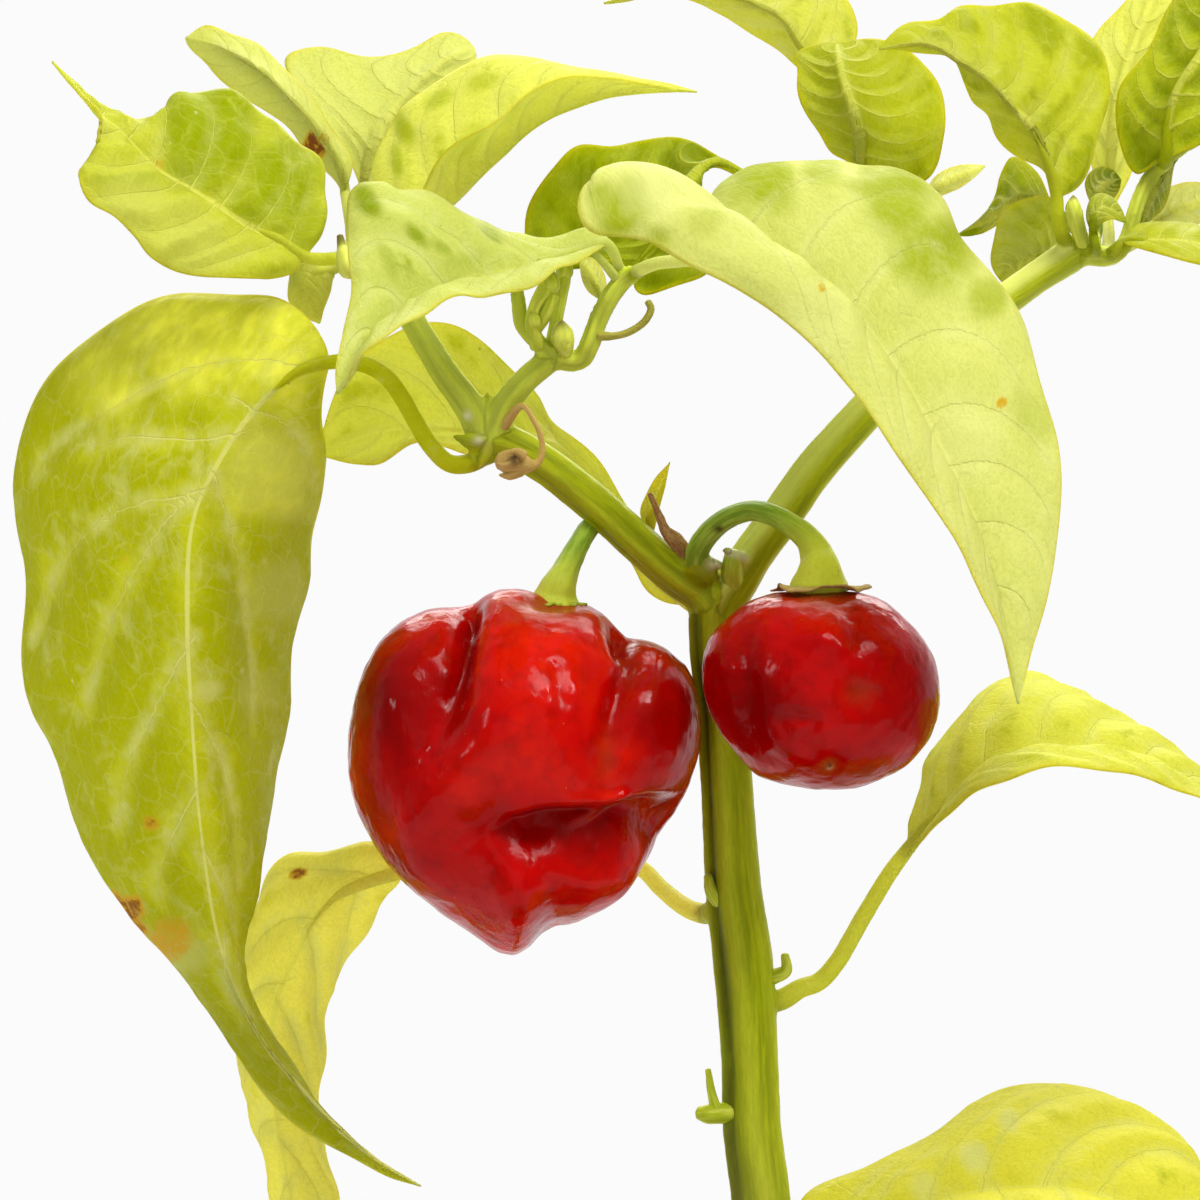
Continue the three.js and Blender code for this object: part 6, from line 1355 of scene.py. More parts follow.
def stem_material():
    m = Nodes("stem_green")
    co = m.attr("co", True)
    long = m.scaled(co, (1.0, 1.0, 0.09))
    streak = m.noise(long, 1.1, 4.0, 0.6)
    fine = m.noise(m.scaled(co, (1.0, 1.0, 0.16)), 3.2, 3.0, 0.65)
    low = m.noise(co, 0.12, 2.0)
    color = m.mix(m.span(streak, 0.36, 0.66), lin(134, 145, 1), lin(170, 180, 8))
    color = m.mix(m.math("MULTIPLY", m.attr("stripe"), 0.45), color, lin(204, 210, 50))
    color = m.mix(m.math("MULTIPLY", m.attr("shade"), 0.9), color, lin(70, 78, 0))
    color = m.mix(m.span(fine, 0.42, 0.75, 0.0, 0.35), color, lin(122, 134, 2))
    color = m.mix(m.span(low, 0.5, 0.72, 0.0, 0.3), color, lin(150, 172, 10))
    # painted light on the upper side and underside of the right branch, and the lighter green of the shoots
    color = m.mix(m.attr("light"), color, lin(228, 232, 120))
    woody = m.math("SUBTRACT", 1.0, m.attr("high"))
    color = m.mix(m.math("MULTIPLY", woody, 0.55), color, lin(150, 138, 84))
    dirt = m.math("MULTIPLY", m.attr("knot"), m.span(m.noise(co, 0.9, 4.0, 0.7), 0.48, 0.72))
    color = m.mix(m.math("MULTIPLY", dirt, 0.35), color, lin(122, 110, 60))
    color = m.mix(m.attr("scar"), color, lin(214, 210, 170))
    dots = m.cells(m.scaled(co, (1.0, 1.0, 0.5)), 0.55, "F1")
    lent = m.math("MULTIPLY", m.span(dots.outputs["Distance"], 0.04, 0.10, 1.0, 0.0), m.span(m.noise(co, 0.3, 1.0), 0.58, 0.64))
    color = m.mix(m.math("MULTIPLY", lent, 0.5), color, lin(120, 100, 55))
    h = m.math("ADD", m.math("MULTIPLY", streak, 0.9), m.math("MULTIPLY", fine, 0.6))
    normal = m.bump(h, 0.00025, 0.6)
    rough = m.span(fine, 0.3, 0.7, 0.38, 0.58)
    return m.done(m.principled(color, rough, normal, **{"Specular_IOR_Level": 0.1}))


def stalk_material(name, a, b, c):
    m = Nodes(name)
    co = m.attr("co", True)
    streak = m.noise(m.scaled(co, (1.0, 1.0, 0.12)), 1.6, 4.0, 0.6)
    fine = m.noise(co, 3.0, 3.0, 0.6)
    color = m.mix(m.span(streak, 0.35, 0.68), a, b)
    color = m.mix(m.math("MULTIPLY", m.attr("tint"), 1.0), color, c)
    color = m.mix(m.span(fine, 0.5, 0.8, 0.0, 0.3), color, a)
    dots = m.cells(co, 0.6, "F1")
    lent = m.math("MULTIPLY", m.span(dots.outputs["Distance"], 0.03, 0.09, 1.0, 0.0), m.span(m.noise(co, 0.35, 1.0), 0.57, 0.63))
    color = m.mix(m.math("MULTIPLY", lent, 0.45), color, lin(110, 96, 50))
    color = m.mix(m.attr("white"), color, lin(226, 222, 184))
    color = m.mix(m.attr("burn"), color, lin(66, 46, 26))
    normal = m.bump(m.math("ADD", streak, m.math("MULTIPLY", fine, 0.4)), 0.00015, 0.5)
    return m.done(m.principled(color, m.span(fine, 0.3, 0.7, 0.34, 0.52), normal, **{"Specular_IOR_Level": 0.14}))


def pod_material(name, main, warm, deep, seed):
    m = Nodes(name)
    co = m.attr("co", True)
    big = m.noise(co, 0.075, 3.0, 0.55)
    mid = m.noise(co, 0.45, 4.0, 0.6)
    fine = m.noise(co, 2.6, 3.0, 0.65)
    color = m.mix(m.span(big, 0.40, 0.66), main, warm)
    color = m.mix(m.span(mid, 0.42, 0.72, 0.0, 0.30), color, deep)
    # painted shade: the pod's sides, bottom and lip hollow mixed towards the deep red
    color = m.mix(m.math("MULTIPLY", m.attr("painted_shade"), 0.8), color, deep)
    # painted shade in the grooves and hollows of the pod
    color = m.mix(m.math("MULTIPLY", m.attr("dark"), 0.8), color, deep)
    color = m.mix(m.attr("tan"), color, lin(150, 82, 24))
    color = m.mix(m.attr("burn"), color, lin(70, 30, 12))
    speck = m.cells(co, 0.42, "F1")
    dots = m.math("MULTIPLY", m.span(speck.outputs["Distance"], 0.02, 0.055, 1.0, 0.0), m.span(m.noise(co, 0.27, 1.0), 0.56, 0.62))
    color = m.mix(m.math("MULTIPLY", dots, 0.6), color, lin(226, 120, 60))
    wrinkle = m.noise(m.scaled(co, (1.0, 1.0, 0.5)), 0.5, 3.0, 0.5, 0.4)
    normal = m.bump(m.math("ADD", m.math("MULTIPLY", wrinkle, 1.0), m.math("MULTIPLY", fine, 0.07)), 0.00026, 0.5)
    rough = m.math("ADD", m.span(mid, 0.35, 0.7, 0.12, 0.22), m.math("MULTIPLY", m.attr("tan"), 0.25))
    return m.done(m.principled(color, rough, normal, **{"Specular_IOR_Level": 0.10}))


def dry_material(name, a, b, c):
    m = Nodes(name)
    co = m.attr("co", True)
    n1 = m.noise(m.scaled(co, (1.0, 1.0, 0.3)), 1.5, 4.0, 0.65)
    n2 = m.noise(co, 4.0, 3.0, 0.6)
    color = m.mix(m.span(n1, 0.35, 0.65), a, b)
    color = m.mix(m.span(n2, 0.5, 0.75), color, c)
    color = m.mix(m.attr("straw"), color, lin(206, 172, 96))
    color = m.mix(m.attr("tint"), color, lin(168, 178, 60))
    color = m.mix(m.attr("burn"), color, lin(60, 36, 20))
    normal = m.bump(m.math("ADD", n1, m.math("MULTIPLY", n2, 0.5)), 0.0002, 0.8)
    return m.done(m.principled(color, m.span(n2, 0.3, 0.7, 0.6, 0.85), normal, **{"Specular_IOR_Level": 0.3}))


def pot_material():
    m = Nodes("terracotta")
    tc = m.new("TexCoord").outputs["Object"]
    big = m.noise(m.scaled(tc, 1.0), 18.0, 4.0, 0.55)
    mid = m.noise(tc, 70.0, 4.0, 0.6)
    grain = m.noise(tc, 900.0, 3.0, 0.6)
    turn = m.noise(m.scaled(tc, (0.04, 0.04, 1.0)), 260.0, 3.0, 0.5)
    color = m.mix(m.span(big, 0.35, 0.68), lin(178, 100, 66), lin(198, 122, 84))
    color = m.mix(m.span(mid, 0.45, 0.72, 0.0, 0.45), color, lin(166, 86, 54))
    sep = m.new("SeparateXYZ")
    m.put(sep.inputs[0], tc)
    damp = m.math("MULTIPLY", m.span(sep.outputs[2], 0.0, 0.035, 1.0, 0.0), m.span(m.noise(tc, 40.0, 4.0), 0.35, 0.6))
    color = m.mix(m.math("MULTIPLY", damp, 0.45), color, lin(128, 74, 50))
    lime = m.math("MULTIPLY", m.span(m.noise(m.scaled(tc, (1.0, 1.0, 0.6)), 34.0, 5.0, 0.65), 0.54, 0.74), m.span(sep.outputs[2], 0.03, 0.1, 0.4, 1.0))
    color = m.mix(m.math("MULTIPLY", lime, 0.42), color, lin(222, 204, 188))
    color = m.mix(m.span(grain, 0.52, 0.75, 0.0, 0.25), color, lin(140, 76, 50))
    h = m.math("ADD", m.math("MULTIPLY", grain, 0.5), m.math("ADD", m.math("MULTIPLY", turn, 0.9), m.math("MULTIPLY", mid, 0.6)))
    normal = m.bump(h, 0.00035, 0.7)
    return m.done(m.principled(color, m.span(mid, 0.3, 0.7, 0.72, 0.9), normal, **{"Specular_IOR_Level": 0.3}))


def soil_material():
    m = Nodes("potting_soil")
    co = m.attr("co", True)
    n1 = m.noise(co, 0.5, 4.0, 0.65)
    n2 = m.noise(co, 3.0, 4.0, 0.7)
    color = m.mix(m.span(n1, 0.35, 0.68), lin(54, 40, 30), lin(86, 64, 46))
    color = m.mix(m.span(n2, 0.45, 0.75, 0.0, 0.7), color, lin(38, 28, 22))
    crumb = m.attr("crumb")
    color = m.mix(m.span(crumb, 0.55, 0.95, 0.0, 0.8), color, lin(112, 84, 58))
    color = m.mix(m.span(crumb, 0.955, 0.965), color, lin(206, 200, 188))
    normal = m.bump(m.math("ADD", n2, n1), 0.0006, 0.9)
    return m.done(m.principled(color, m.span(n2, 0.3, 0.7, 0.82, 0.98), normal, **{"Specular_IOR_Level": 0.2}))

# ---- how each leaf looks: grid, veins, relief (mm) and colour ----
Y_GREEN = lin(206, 208, 52)
Y_LIGHT = lin(222, 222, 100)
GREEN = lin(170, 178, 4)
DEEP = lin(140, 152, 0)
PALE = lin(214, 216, 136)
VEIN = lin(226, 226, 104)
EDGE = lin(222, 206, 30)
BASE_LOOK = dict(n=90, k=18, veins=6, sweep=0.22, cell=1.7, puff=0.55, crinkle=0.5, crinkle_size=9.0, wave=0.4, wave_len=19.0,
                 rough=1.0, patch=0.62, between=0.22, lushness=0.85, halo=1.8, worn=0.5, vein_show=0.6, light=Y_GREEN,
                 green=GREEN, deep=DEEP, pale=PALE, vein=VEIN, edge=EDGE)
L1_VEINS = [
    [(301, 368), (293, 365), (258, 358), (207, 362), (161, 385), (100, 416), (49, 454)],
    [(240, 430), (212, 441), (170, 440), (129, 437), (92, 446)],
    [(205, 490), (198, 491), (178, 500), (149, 500), (115, 514), (72, 551), (49, 586), (40, 637)],
    [(193, 500), (184, 500), (155, 534), (129, 589), (112, 622), (100, 652), (92, 700)],
    [(212, 470), (218, 480), (230, 528), (241, 580), (250, 652), (252, 720)],
    [(190, 640), (160, 700), (132, 760), (118, 820)],
    [(192, 700), (222, 760), (236, 820), (236, 880)],
    [(196, 790), (170, 840), (158, 890)],
    [(205, 850), (224, 890), (232, 930)],
    [(240, 400), (282, 420), (306, 450), (318, 490)],
    [(222, 940), (226, 980), (246, 1020)],
]
LOOKS = {
    "leaf_left_big": dict(n=200, k=44, drawn=L1_VEINS, cell=3.0, puff=0.9, crinkle=0.6, crinkle_size=13.0, wave=0.5, wave_len=24.0,
                          patch=0.48, between=0.30, lushness=0.9, halo=2.2, worn=0.8, vein_show=0.9, light=lin(204, 206, 34), green=lin(184, 187, 0), deep=lin(160, 165, 0),
                          pale=lin(218, 219, 140), vein=lin(232, 231, 140), rough=1.3,
                          # painted sunlight over the top of the leaf
                          sun_spots=[(190, 330, 100, 1.0), (110, 380, 60, 0.8), (270, 352, 70, 0.9), (262, 480, 60, 0.5)],
                          spots=[(176, 935, 26, 0.45), (135, 905, 18, 0.9), (122, 893, 9, 1.0), (156, 821, 8, 0.8), (168, 955, 14, 0.4), (146, 925, 10, 0.8), (130, 560, 3, 0.9)],
                          pale_spots=[(160, 1000, 30, 0.4), (126, 805, 6, 0.9), (190, 950, 30, 0.5), (205, 690, 16, 0.7), (85, 668, 4, 0.8), (236, 670, 3.5, 0.9), (268, 470, 62, 0.42), (270, 590, 44, 0.36), (250, 690, 30, 0.3)]),
    "leaf_crinkled": dict(n=140, k=34, veins=7, sweep=0.16, cell=2.0, puff=1.2, crinkle=0.9, crinkle_size=6.5, wave=0.7, wave_len=9.0,
                          patch=0.60, lushness=0.6, worn=0.35, rough=1.8, green=lin(166, 178, 2), light=lin(208, 212, 66), deep=lin(132, 146, 0), vein_show=0.8,
                          lush_spots=[(215, 130, 80, 1.0), (285, 175, 66, 1.0), (300, 215, 46, 0.7), (250, 200, 40, 0.8), (180, 105, 30, 0.8)],
                          pale_spots=[(130, 215, 60, 0.3), (185, 245, 60, 0.3)], spots=[(159, 165, 7, 0.3)]),
    "leaf_back_narrow": dict(n=80, k=16, patch=0.75, worn=0.4, puff=0.2, crinkle=0.2, rough=0.3, vein_show=0.3, light=lin(216, 220, 112), spots=[(316, 148, 13, 1.0), (313, 138, 8, 1.0)]),
    "leaf_back_wide": dict(n=80, k=20, patch=0.75, worn=0.5, puff=0.2, crinkle=0.25, wave=0.15, rough=0.3, vein_show=0.3, light=lin(220, 224, 124), green=lin(196, 202, 50)),
    "leaf_top_folded": dict(n=130, k=26, veins=7, cell=1.9, puff=0.16, crinkle=0.12, rough=0.1, patch=0.66, light=lin(232, 234, 104), green=lin(184, 194, 8),
                            lush_spots=[(404, 128, 14, 0.9, 2.2, 1.0), (398, 165, 10, 0.9, 2.4, 1.4), (440, 100, 12, 0.7, 2.2, -0.6), (486, 82, 10, 0.6, 2.4, -0.2), (470, 140, 12, 0.5, 2.6, 2.3)], wave=0.1, worn=0.3),
    "leaf_left_near": dict(n=130, k=24, veins=6, cell=2.4, puff=0.7, crinkle=0.8, patch=0.70, worn=0.45, light=lin(208, 215, 112), green=lin(150, 168, 0), vein_show=0.35,
                           lush_spots=[(368, 204, 12, 1.0, 2.8, 1.05), (413, 238, 8, 0.9, 2.4, 0.75), (438, 252, 7, 0.6, 2.4, 0.7), (492, 236, 8, 0.85, 2.2, 0.7), (520, 222, 8, 0.6, 2.6, 0.8),
                                       (385, 262, 10, 0.5, 3.0, 1.2), (462, 262, 9, 0.4, 3.0, -0.3)], pale=lin(222, 228, 160), wave=0.4),
    "leaf_right_big": dict(n=220, k=44, veins=8, sweep=0.20, cell=3.6, puff=0.6, crinkle=0.7, crinkle_size=14.0, wave=0.45, wave_len=26.0, patch=0.82, lushness=0.5, worn=0.35, vein_show=0.3,
                           light=lin(220, 224, 128), green=lin(170, 182, 4), pale=lin(234, 236, 168), vein=lin(236, 236, 140),
                           # the spots on the curled lobe by the stalk are painted shade on its inner face
                           lush_spots=[(622, 214, 36, 0.95), (600, 196, 18, 0.7), (655, 240, 20, 0.6), (760, 178, 44, 0.9), (820, 172, 26, 0.7), (895, 205, 56, 0.9), (930, 255, 60, 0.9), (985, 300, 30, 0.7), (700, 225, 26, 0.3), (1040, 420, 40, 0.35), (870, 480, 30, 0.4)],
                           spots=[(820, 290, 5, 0.5), (1003, 402, 7, 0.6)], pale_spots=[(650, 190, 50, 0.4), (820, 320, 60, 0.3), (960, 440, 60, 0.3)]),
    "leaf_right_dark": dict(n=120, k=30, veins=7, cell=1.8, puff=1.0, crinkle=0.8, crinkle_size=7.0, patch=0.46, worn=0.1, light=lin(166, 176, 8), green=lin(134, 148, 0), deep=lin(108, 124, 0), vein=lin(204, 210, 60),
                            wave=0.5, wave_len=13.0, vein_show=0.6),
    "leaf_behind_branch": dict(n=130, k=28, veins=7, cell=2.4, puff=0.8, patch=0.56, light=lin(226, 226, 90), green=lin(190, 196, 10), worn=0.25),
    "leaf_lower_left": dict(n=140, k=24, veins=7, cell=2.2, puff=0.9, patch=0.66, green=lin(214, 212, 20), light=lin(246, 240, 112), worn=0.6, spots=[(299, 875, 9, 0.9)], wave=0.5),
    "leaf_right_mid": dict(n=130, k=24, veins=7, cell=2.2, puff=0.8, patch=0.62, light=lin(216, 216, 76), worn=0.4),
    "leaf_lower_right": dict(n=150, k=34, veins=8, cell=2.6, puff=0.8, patch=0.70, light=lin(224, 220, 70), worn=0.45,
                             pale_spots=[(975, 1160, 22, 0.8), (1010, 1125, 16, 0.8), (925, 1190, 20, 0.6)]),
    "leaf_upper_mid": dict(n=100, k=30, veins=7, cell=1.9, puff=0.9, worn=0.15, vein_show=0.45, patch=0.52, light=lin(184, 190, 24), green=lin(154, 163, 0), deep=lin(128, 138, 0)),
    "leaf_upper_far": dict(n=120, k=20, patch=0.62, light=lin(212, 214, 84)),
    "leaf_upper_front": dict(n=130, k=32, veins=7, cell=2.1, puff=1.0, crinkle=0.6, patch=0.52, light=lin(198, 203, 46), green=lin(160, 169, 0), deep=lin(138, 146, 0), worn=0.25, vein_show=0.65),
    "leaf_upper_right": dict(n=120, k=24, veins=7, cell=2.0, puff=1.0, worn=0.1, vein_show=0.45, patch=0.46, light=lin(182, 190, 20), green=lin(144, 158, 0), deep=lin(120, 134, 0)),
    "leaf_far_right": dict(n=90, k=16, patch=0.7, light=lin(220, 222, 100), worn=0.4),
    "leaf_node_left": dict(n=60, k=14, cell=1.3, puff=0.5, patch=0.50, light=lin(200, 206, 60)),
    "leaf_node_behind": dict(n=60, k=12, cell=1.3, puff=0.5, patch=0.42, green=lin(140, 156, 0), light=lin(178, 188, 20)),
    "leaf_node_right": dict(n=80, k=14, cell=1.5, puff=0.5, patch=0.52, light=lin(192, 198, 40)),
    "leaf_far_pale": dict(n=50, k=12, patch=0.9, worn=0.6, light=lin(228, 230, 140)),
    "leaf_arm_dark": dict(n=44, k=10, cell=1.0, puff=0.3, patch=0.38, light=lin(150, 162, 10), green=lin(110, 130, 0), deep=lin(90, 108, 0)),
    "leaf_node_young": dict(n=50, k=12, cell=1.0, puff=0.4, patch=0.42, green=lin(134, 152, 0), light=lin(172, 184, 20)),
    "leaf_node_dark": dict(n=44, k=10, cell=1.0, puff=0.4, patch=0.38, green=lin(120, 140, 0), light=lin(160, 172, 10), deep=lin(96, 114, 0)),
    "leaf_pale_right": dict(n=50, k=12, patch=0.9, worn=0.6, light=lin(228, 230, 140)),
    "leaflet_curled": dict(n=60, k=12, cell=1.1, puff=0.4, wave=0.2, patch=0.75, light=lin(218, 220, 96), worn=0.2),
    "leaflet_pale": dict(n=46, k=10, cell=1.0, puff=0.3, wave=0.2, patch=0.9, worn=0.5, light=lin(220, 224, 130)),
    "leaflet_yellow": dict(n=46, k=8, cell=0.9, puff=0.2, wave=0.15, patch=0.8, light=lin(214, 200, 50), worn=0.1),
    "leaf_low_left": dict(n=120, k=26, veins=7, cell=2.6, puff=0.9, patch=0.54, light=lin(200, 204, 46)),
    "leaf_low_right": dict(n=120, k=26, veins=7, cell=2.6, puff=0.9, patch=0.54, light=lin(204, 206, 50)),
    "leaf_low_back": dict(n=120, k=24, veins=7, cell=2.6, puff=0.9, patch=0.54, light=lin(200, 204, 46)),
}
# negative amps cut grooves and hollows, which also get painted shade; the key dark scales that shade
POD_LARGE_FRONT = [
    dict(kind="line", line=[(470, 596), (466, 625), (463, 665), (454, 706), (440, 735), (425, 756)], amp=-3.3, wide=1.5, ends=[1.0, 1.0, 0.9, 0.5, 0.2, 0.0]),
    dict(kind="line", line=[(452, 640), (446, 690), (430, 740)], amp=-1.7, wide=3.4, ends=[0.6, 1.0, 0.3]),
    dict(kind="line", line=[(620, 626), (630, 662), (619, 690), (609, 720), (602, 750), (599, 780)], amp=-2.6, wide=1.6, ends=[1.0, 1.0, 0.7, 0.5, 0.35, 0.2]),
    dict(kind="line", line=[(486, 640), (498, 690), (492, 735), (452, 775), (420, 815), (408, 850)], amp=1.5, wide=3.2, ends=[0.2, 0.8, 1.0, 1.0, 0.9, 0.3]),
    dict(kind="blob", at=(545, 700), size=(52, 70), amp=2.2),
    dict(kind="blob", at=(398, 700), size=(34, 62), amp=1.6),
    dict(kind="blob", at=(655, 715), size=(32, 54), amp=1.4),
    dict(kind="lip", line=[(488, 826), (512, 808), (547, 800), (576, 799), (600, 798), (624, 792), (650, 788), (676, 790)], amp=-4.6, wide=4.4, sharp=1.1, ends=[0.05, 0.6, 1.0, 1.0, 0.85, 0.75, 0.5, 0.1], dark=0.7),
    dict(kind="line", line=[(498, 808), (476, 822), (462, 842)], amp=-1.3, wide=2.0, ends=[0.9, 0.8, 0.1]),
    dict(kind="line", line=[(576, 819), (600, 806), (622, 792)], amp=1.4, wide=0.8, ends=[0.4, 1.0, 0.8]),
    dict(kind="blob", at=(534, 832), size=(30, 18), amp=-1.5),
    dict(kind="blob", at=(585, 846), size=(24, 18), amp=-1.2),
    dict(kind="blob", at=(660, 812), size=(30, 17), amp=-1.4, turn=-0.5),
    dict(kind="blob", at=(521, 884), size=(30, 34), amp=2.3),
    dict(kind="line", line=[(526, 862), (520, 900), (512, 940)], amp=0.8, wide=4.2, ends=[0.5, 1.0, 0.8]),
    dict(kind="blob", at=(600, 876), size=(40, 30), amp=2.0),
    dict(kind="blob", at=(436, 862), size=(34, 32), amp=1.4),
    dict(kind="line", line=[(549, 934), (550, 905), (556, 880)], amp=-0.9, wide=2.2, ends=[1.0, 0.7, 0.2]),
    dict(kind="blob", at=(552, 604), size=(26, 9), amp=-1.2),
    dict(kind="line", line=[(512, 640), (516, 700)], amp=-0.5, wide=1.5, ends=[0.5, 0.5]),
    dict(kind="line", line=[(556, 668), (561, 700), (552, 720)], amp=-0.45, wide=1.0, ends=[1.0, 0.9, 0.2]),
]
POD_LARGE_BACK = [
    dict(kind="line", line=[(540, 600), (520, 660), (500, 740), (505, 830), (512, 930)], amp=-3.4, wide=2.4, ends=[1.0, 1.0, 0.9, 0.7, 0.4]),
    dict(kind="line", line=[(640, 650), (620, 720), (600, 800), (560, 880)], amp=-2.4, wide=2.2, ends=[0.6, 1.0, 0.8, 0.3]),
    dict(kind="line", line=[(400, 640), (420, 720), (440, 800), (470, 880)], amp=-2.2, wide=2.0, ends=[0.6, 1.0, 0.8, 0.3]),
    dict(kind="blob", at=(460, 800), size=(40, 30), amp=-2.0),
    dict(kind="blob", at=(575, 720), size=(34, 60), amp=1.6),
]
POD_SMALL_FRONT = [
    dict(kind="line", line=[(742, 640), (744, 690), (752, 730), (764, 752)], amp=-0.9, wide=1.6, ends=[0.5, 1.0, 0.9, 0.4]),
    dict(kind="line", line=[(778, 717), (792, 714), (810, 717), (802, 735), (812, 752)], amp=-0.55, wide=0.9, ends=[0.6, 1.0, 0.9, 0.8, 0.2]),
    dict(kind="line", line=[(756, 720), (772, 738), (792, 756)], amp=0.7, wide=1.4, ends=[0.5, 1.0, 0.5]),
    dict(kind="blob", at=(853, 692), size=(20, 15), amp=-1.0, dark=0.6),
    dict(kind="line", line=[(848, 612), (852, 640), (858, 662)], amp=-0.7, wide=1.4, ends=[0.8, 1.0, 0.2]),
    dict(kind="blob", at=(822, 636), size=(26, 18), amp=0.7),
    dict(kind="blob", at=(882, 648), size=(28, 18), amp=0.7),
    dict(kind="blob", at=(825, 763), size=(11, 9), amp=-0.5, dark=0.3),
    dict(kind="blob", at=(800, 590), size=(40, 6), amp=-0.6),
]
POD_SMALL_BACK = [
    dict(kind="line", line=[(820, 600), (810, 680), (825, 770)], amp=-1.1, wide=2.4, ends=[1.0, 1.0, 0.6]),
    dict(kind="line", line=[(900, 640), (880, 700), (850, 760)], amp=-0.7, wide=2.0, ends=[0.6, 1.0, 0.5]),
]

# painted shade on the pods: zones on the sides, the bottom and under the lip, mixed towards the deep red
PAINTED_SHADE_ZONES = {
    "large_pod": [(398, 695, 46, 62, 0.95), (456, 690, 18, 60, 0.6), (660, 705, 38, 62, 0.85), (606, 828, 60, 20, 0.7), (662, 795, 26, 30, 0.7), (402, 862, 26, 26, 0.5), (380, 800, 18, 40, 0.4)],
    "small_pod": [(752, 705, 40, 70, 0.85), (830, 782, 90, 24, 0.7), (930, 700, 22, 60, 0.5), (840, 640, 30, 12, 0.3)],
}

# ---- building ----
POT_MATERIAL = pot_material()
SOIL_MATERIAL = soil_material()
STEM_MATERIAL = stem_material()
STALK_MATERIAL = stalk_material("stalk_green", lin(118, 152, 34), lin(164, 190, 68), lin(218, 222, 70))
BUD_MATERIAL = stalk_material("bud_green", lin(160, 174, 22), lin(206, 212, 76), lin(222, 220, 110))
DRY_MATERIAL = dry_material("dried", lin(150, 104, 56), lin(186, 144, 88), lin(98, 62, 34))
POD_MATERIAL = pod_material("pod_large", lin(176, 2, 1), lin(204, 20, 2), lin(98, 0, 0), 1)
POD_MATERIAL_2 = pod_material("pod_small", lin(168, 0, 0), lin(190, 2, 1), lin(98, 0, 0), 2)

make_pot()
make_soil()
piece("stem", new_object("stem", stem_geo(0.36), STEM_MATERIAL), ["stem"])

for name, leaf in LEAVES.items():
    look = dict(BASE_LOOK)
    look["seed"] = 3 + list(LEAVES).index(name)
    look.update(LOOKS.get(name, {}))
    obj = new_object(name, leaf_geo(leaf, look), leaf_material(name, look))
    piece(name, obj, [name])

levels = 6
for name, spec, front, back, mat, seed in (
        ("large_pod", LARGE_POD, POD_LARGE_FRONT, POD_LARGE_BACK, POD_MATERIAL, 1),
        ("small_pod", SMALL_POD, POD_SMALL_FRONT, POD_SMALL_BACK, POD_MATERIAL_2, 2)):
    geo, c = pod_geo(spec, front, back, levels, seed)
    v = geo.verts()
    uv = view_uv(np.column_stack([v[:, 0], np.full(len(v), spec["depth"]), v[:, 2]]))
    tan = np.zeros(len(v))
    burn = np.zeros(len(v))
    front_side = v[:, 1] < c[1]
    if name == "small_pod":
        wob = 1 + 0.4 * fbm(v / 1.2, 8)
        tan = np.maximum(tan, 0.16 * bell(np.hypot((uv[:, 0] - 853) / 1.4, uv[:, 1] - 690) * wob, 12) * front_side)
        style = np.hypot(uv[:, 0] - 825, uv[:, 1] - 763)
        tan = np.maximum(tan, 0.9 * bell(style, 5.5) * front_side)
        tan = np.maximum(tan, 0.6 * bell(np.hypot(uv[:, 0] - 820, (uv[:, 1] - 592) * 2.2) * wob, 36))
        p = geo.v[0]
        near = bell(style, 2.6) * front_side
        p[:, 1] -= near * 0.9
        burn = np.maximum(burn, 0.6 * bell(style, 1.6) * front_side)
    else:
        wob = 1 + 0.5 * fbm(v / 1.4, 8)
        tan = np.maximum(tan, 0.5 * bell(np.hypot((uv[:, 0] - 548) / 1.6, (uv[:, 1] - 606) * 1.6) * wob, 22))
        tan = np.maximum(tan, 0.15 * bell(np.hypot((uv[:, 0] - 606) * 1.4, (uv[:, 1] - 752) / 2.0) * wob, 12) * front_side)
    # painted shade: the zones below, eased by noise, darken the pod towards its deep red
    painted_shade = np.zeros(len(v))
    drift = 1 + 0.35 * fbm(v / 6.0, 12)
    for u_, w_, wide_, tall_, amount in PAINTED_SHADE_ZONES[name]:
        painted_shade = np.maximum(painted_shade, amount * bell(np.hypot((uv[:, 0] - u_) / wide_, (uv[:, 1] - w_) / tall_) * drift, 1.0))
    geo.a[0][1]["painted_shade"] = painted_shade
    geo.a[0][1]["tan"] = np.clip(tan, 0, 1)
    geo.a[0][1]["burn"] = np.clip(burn, 0, 1)
    piece(name, new_object(name, geo, mat), [name])


def shaped_tube(points, **kw):
    return tube(points, **kw)


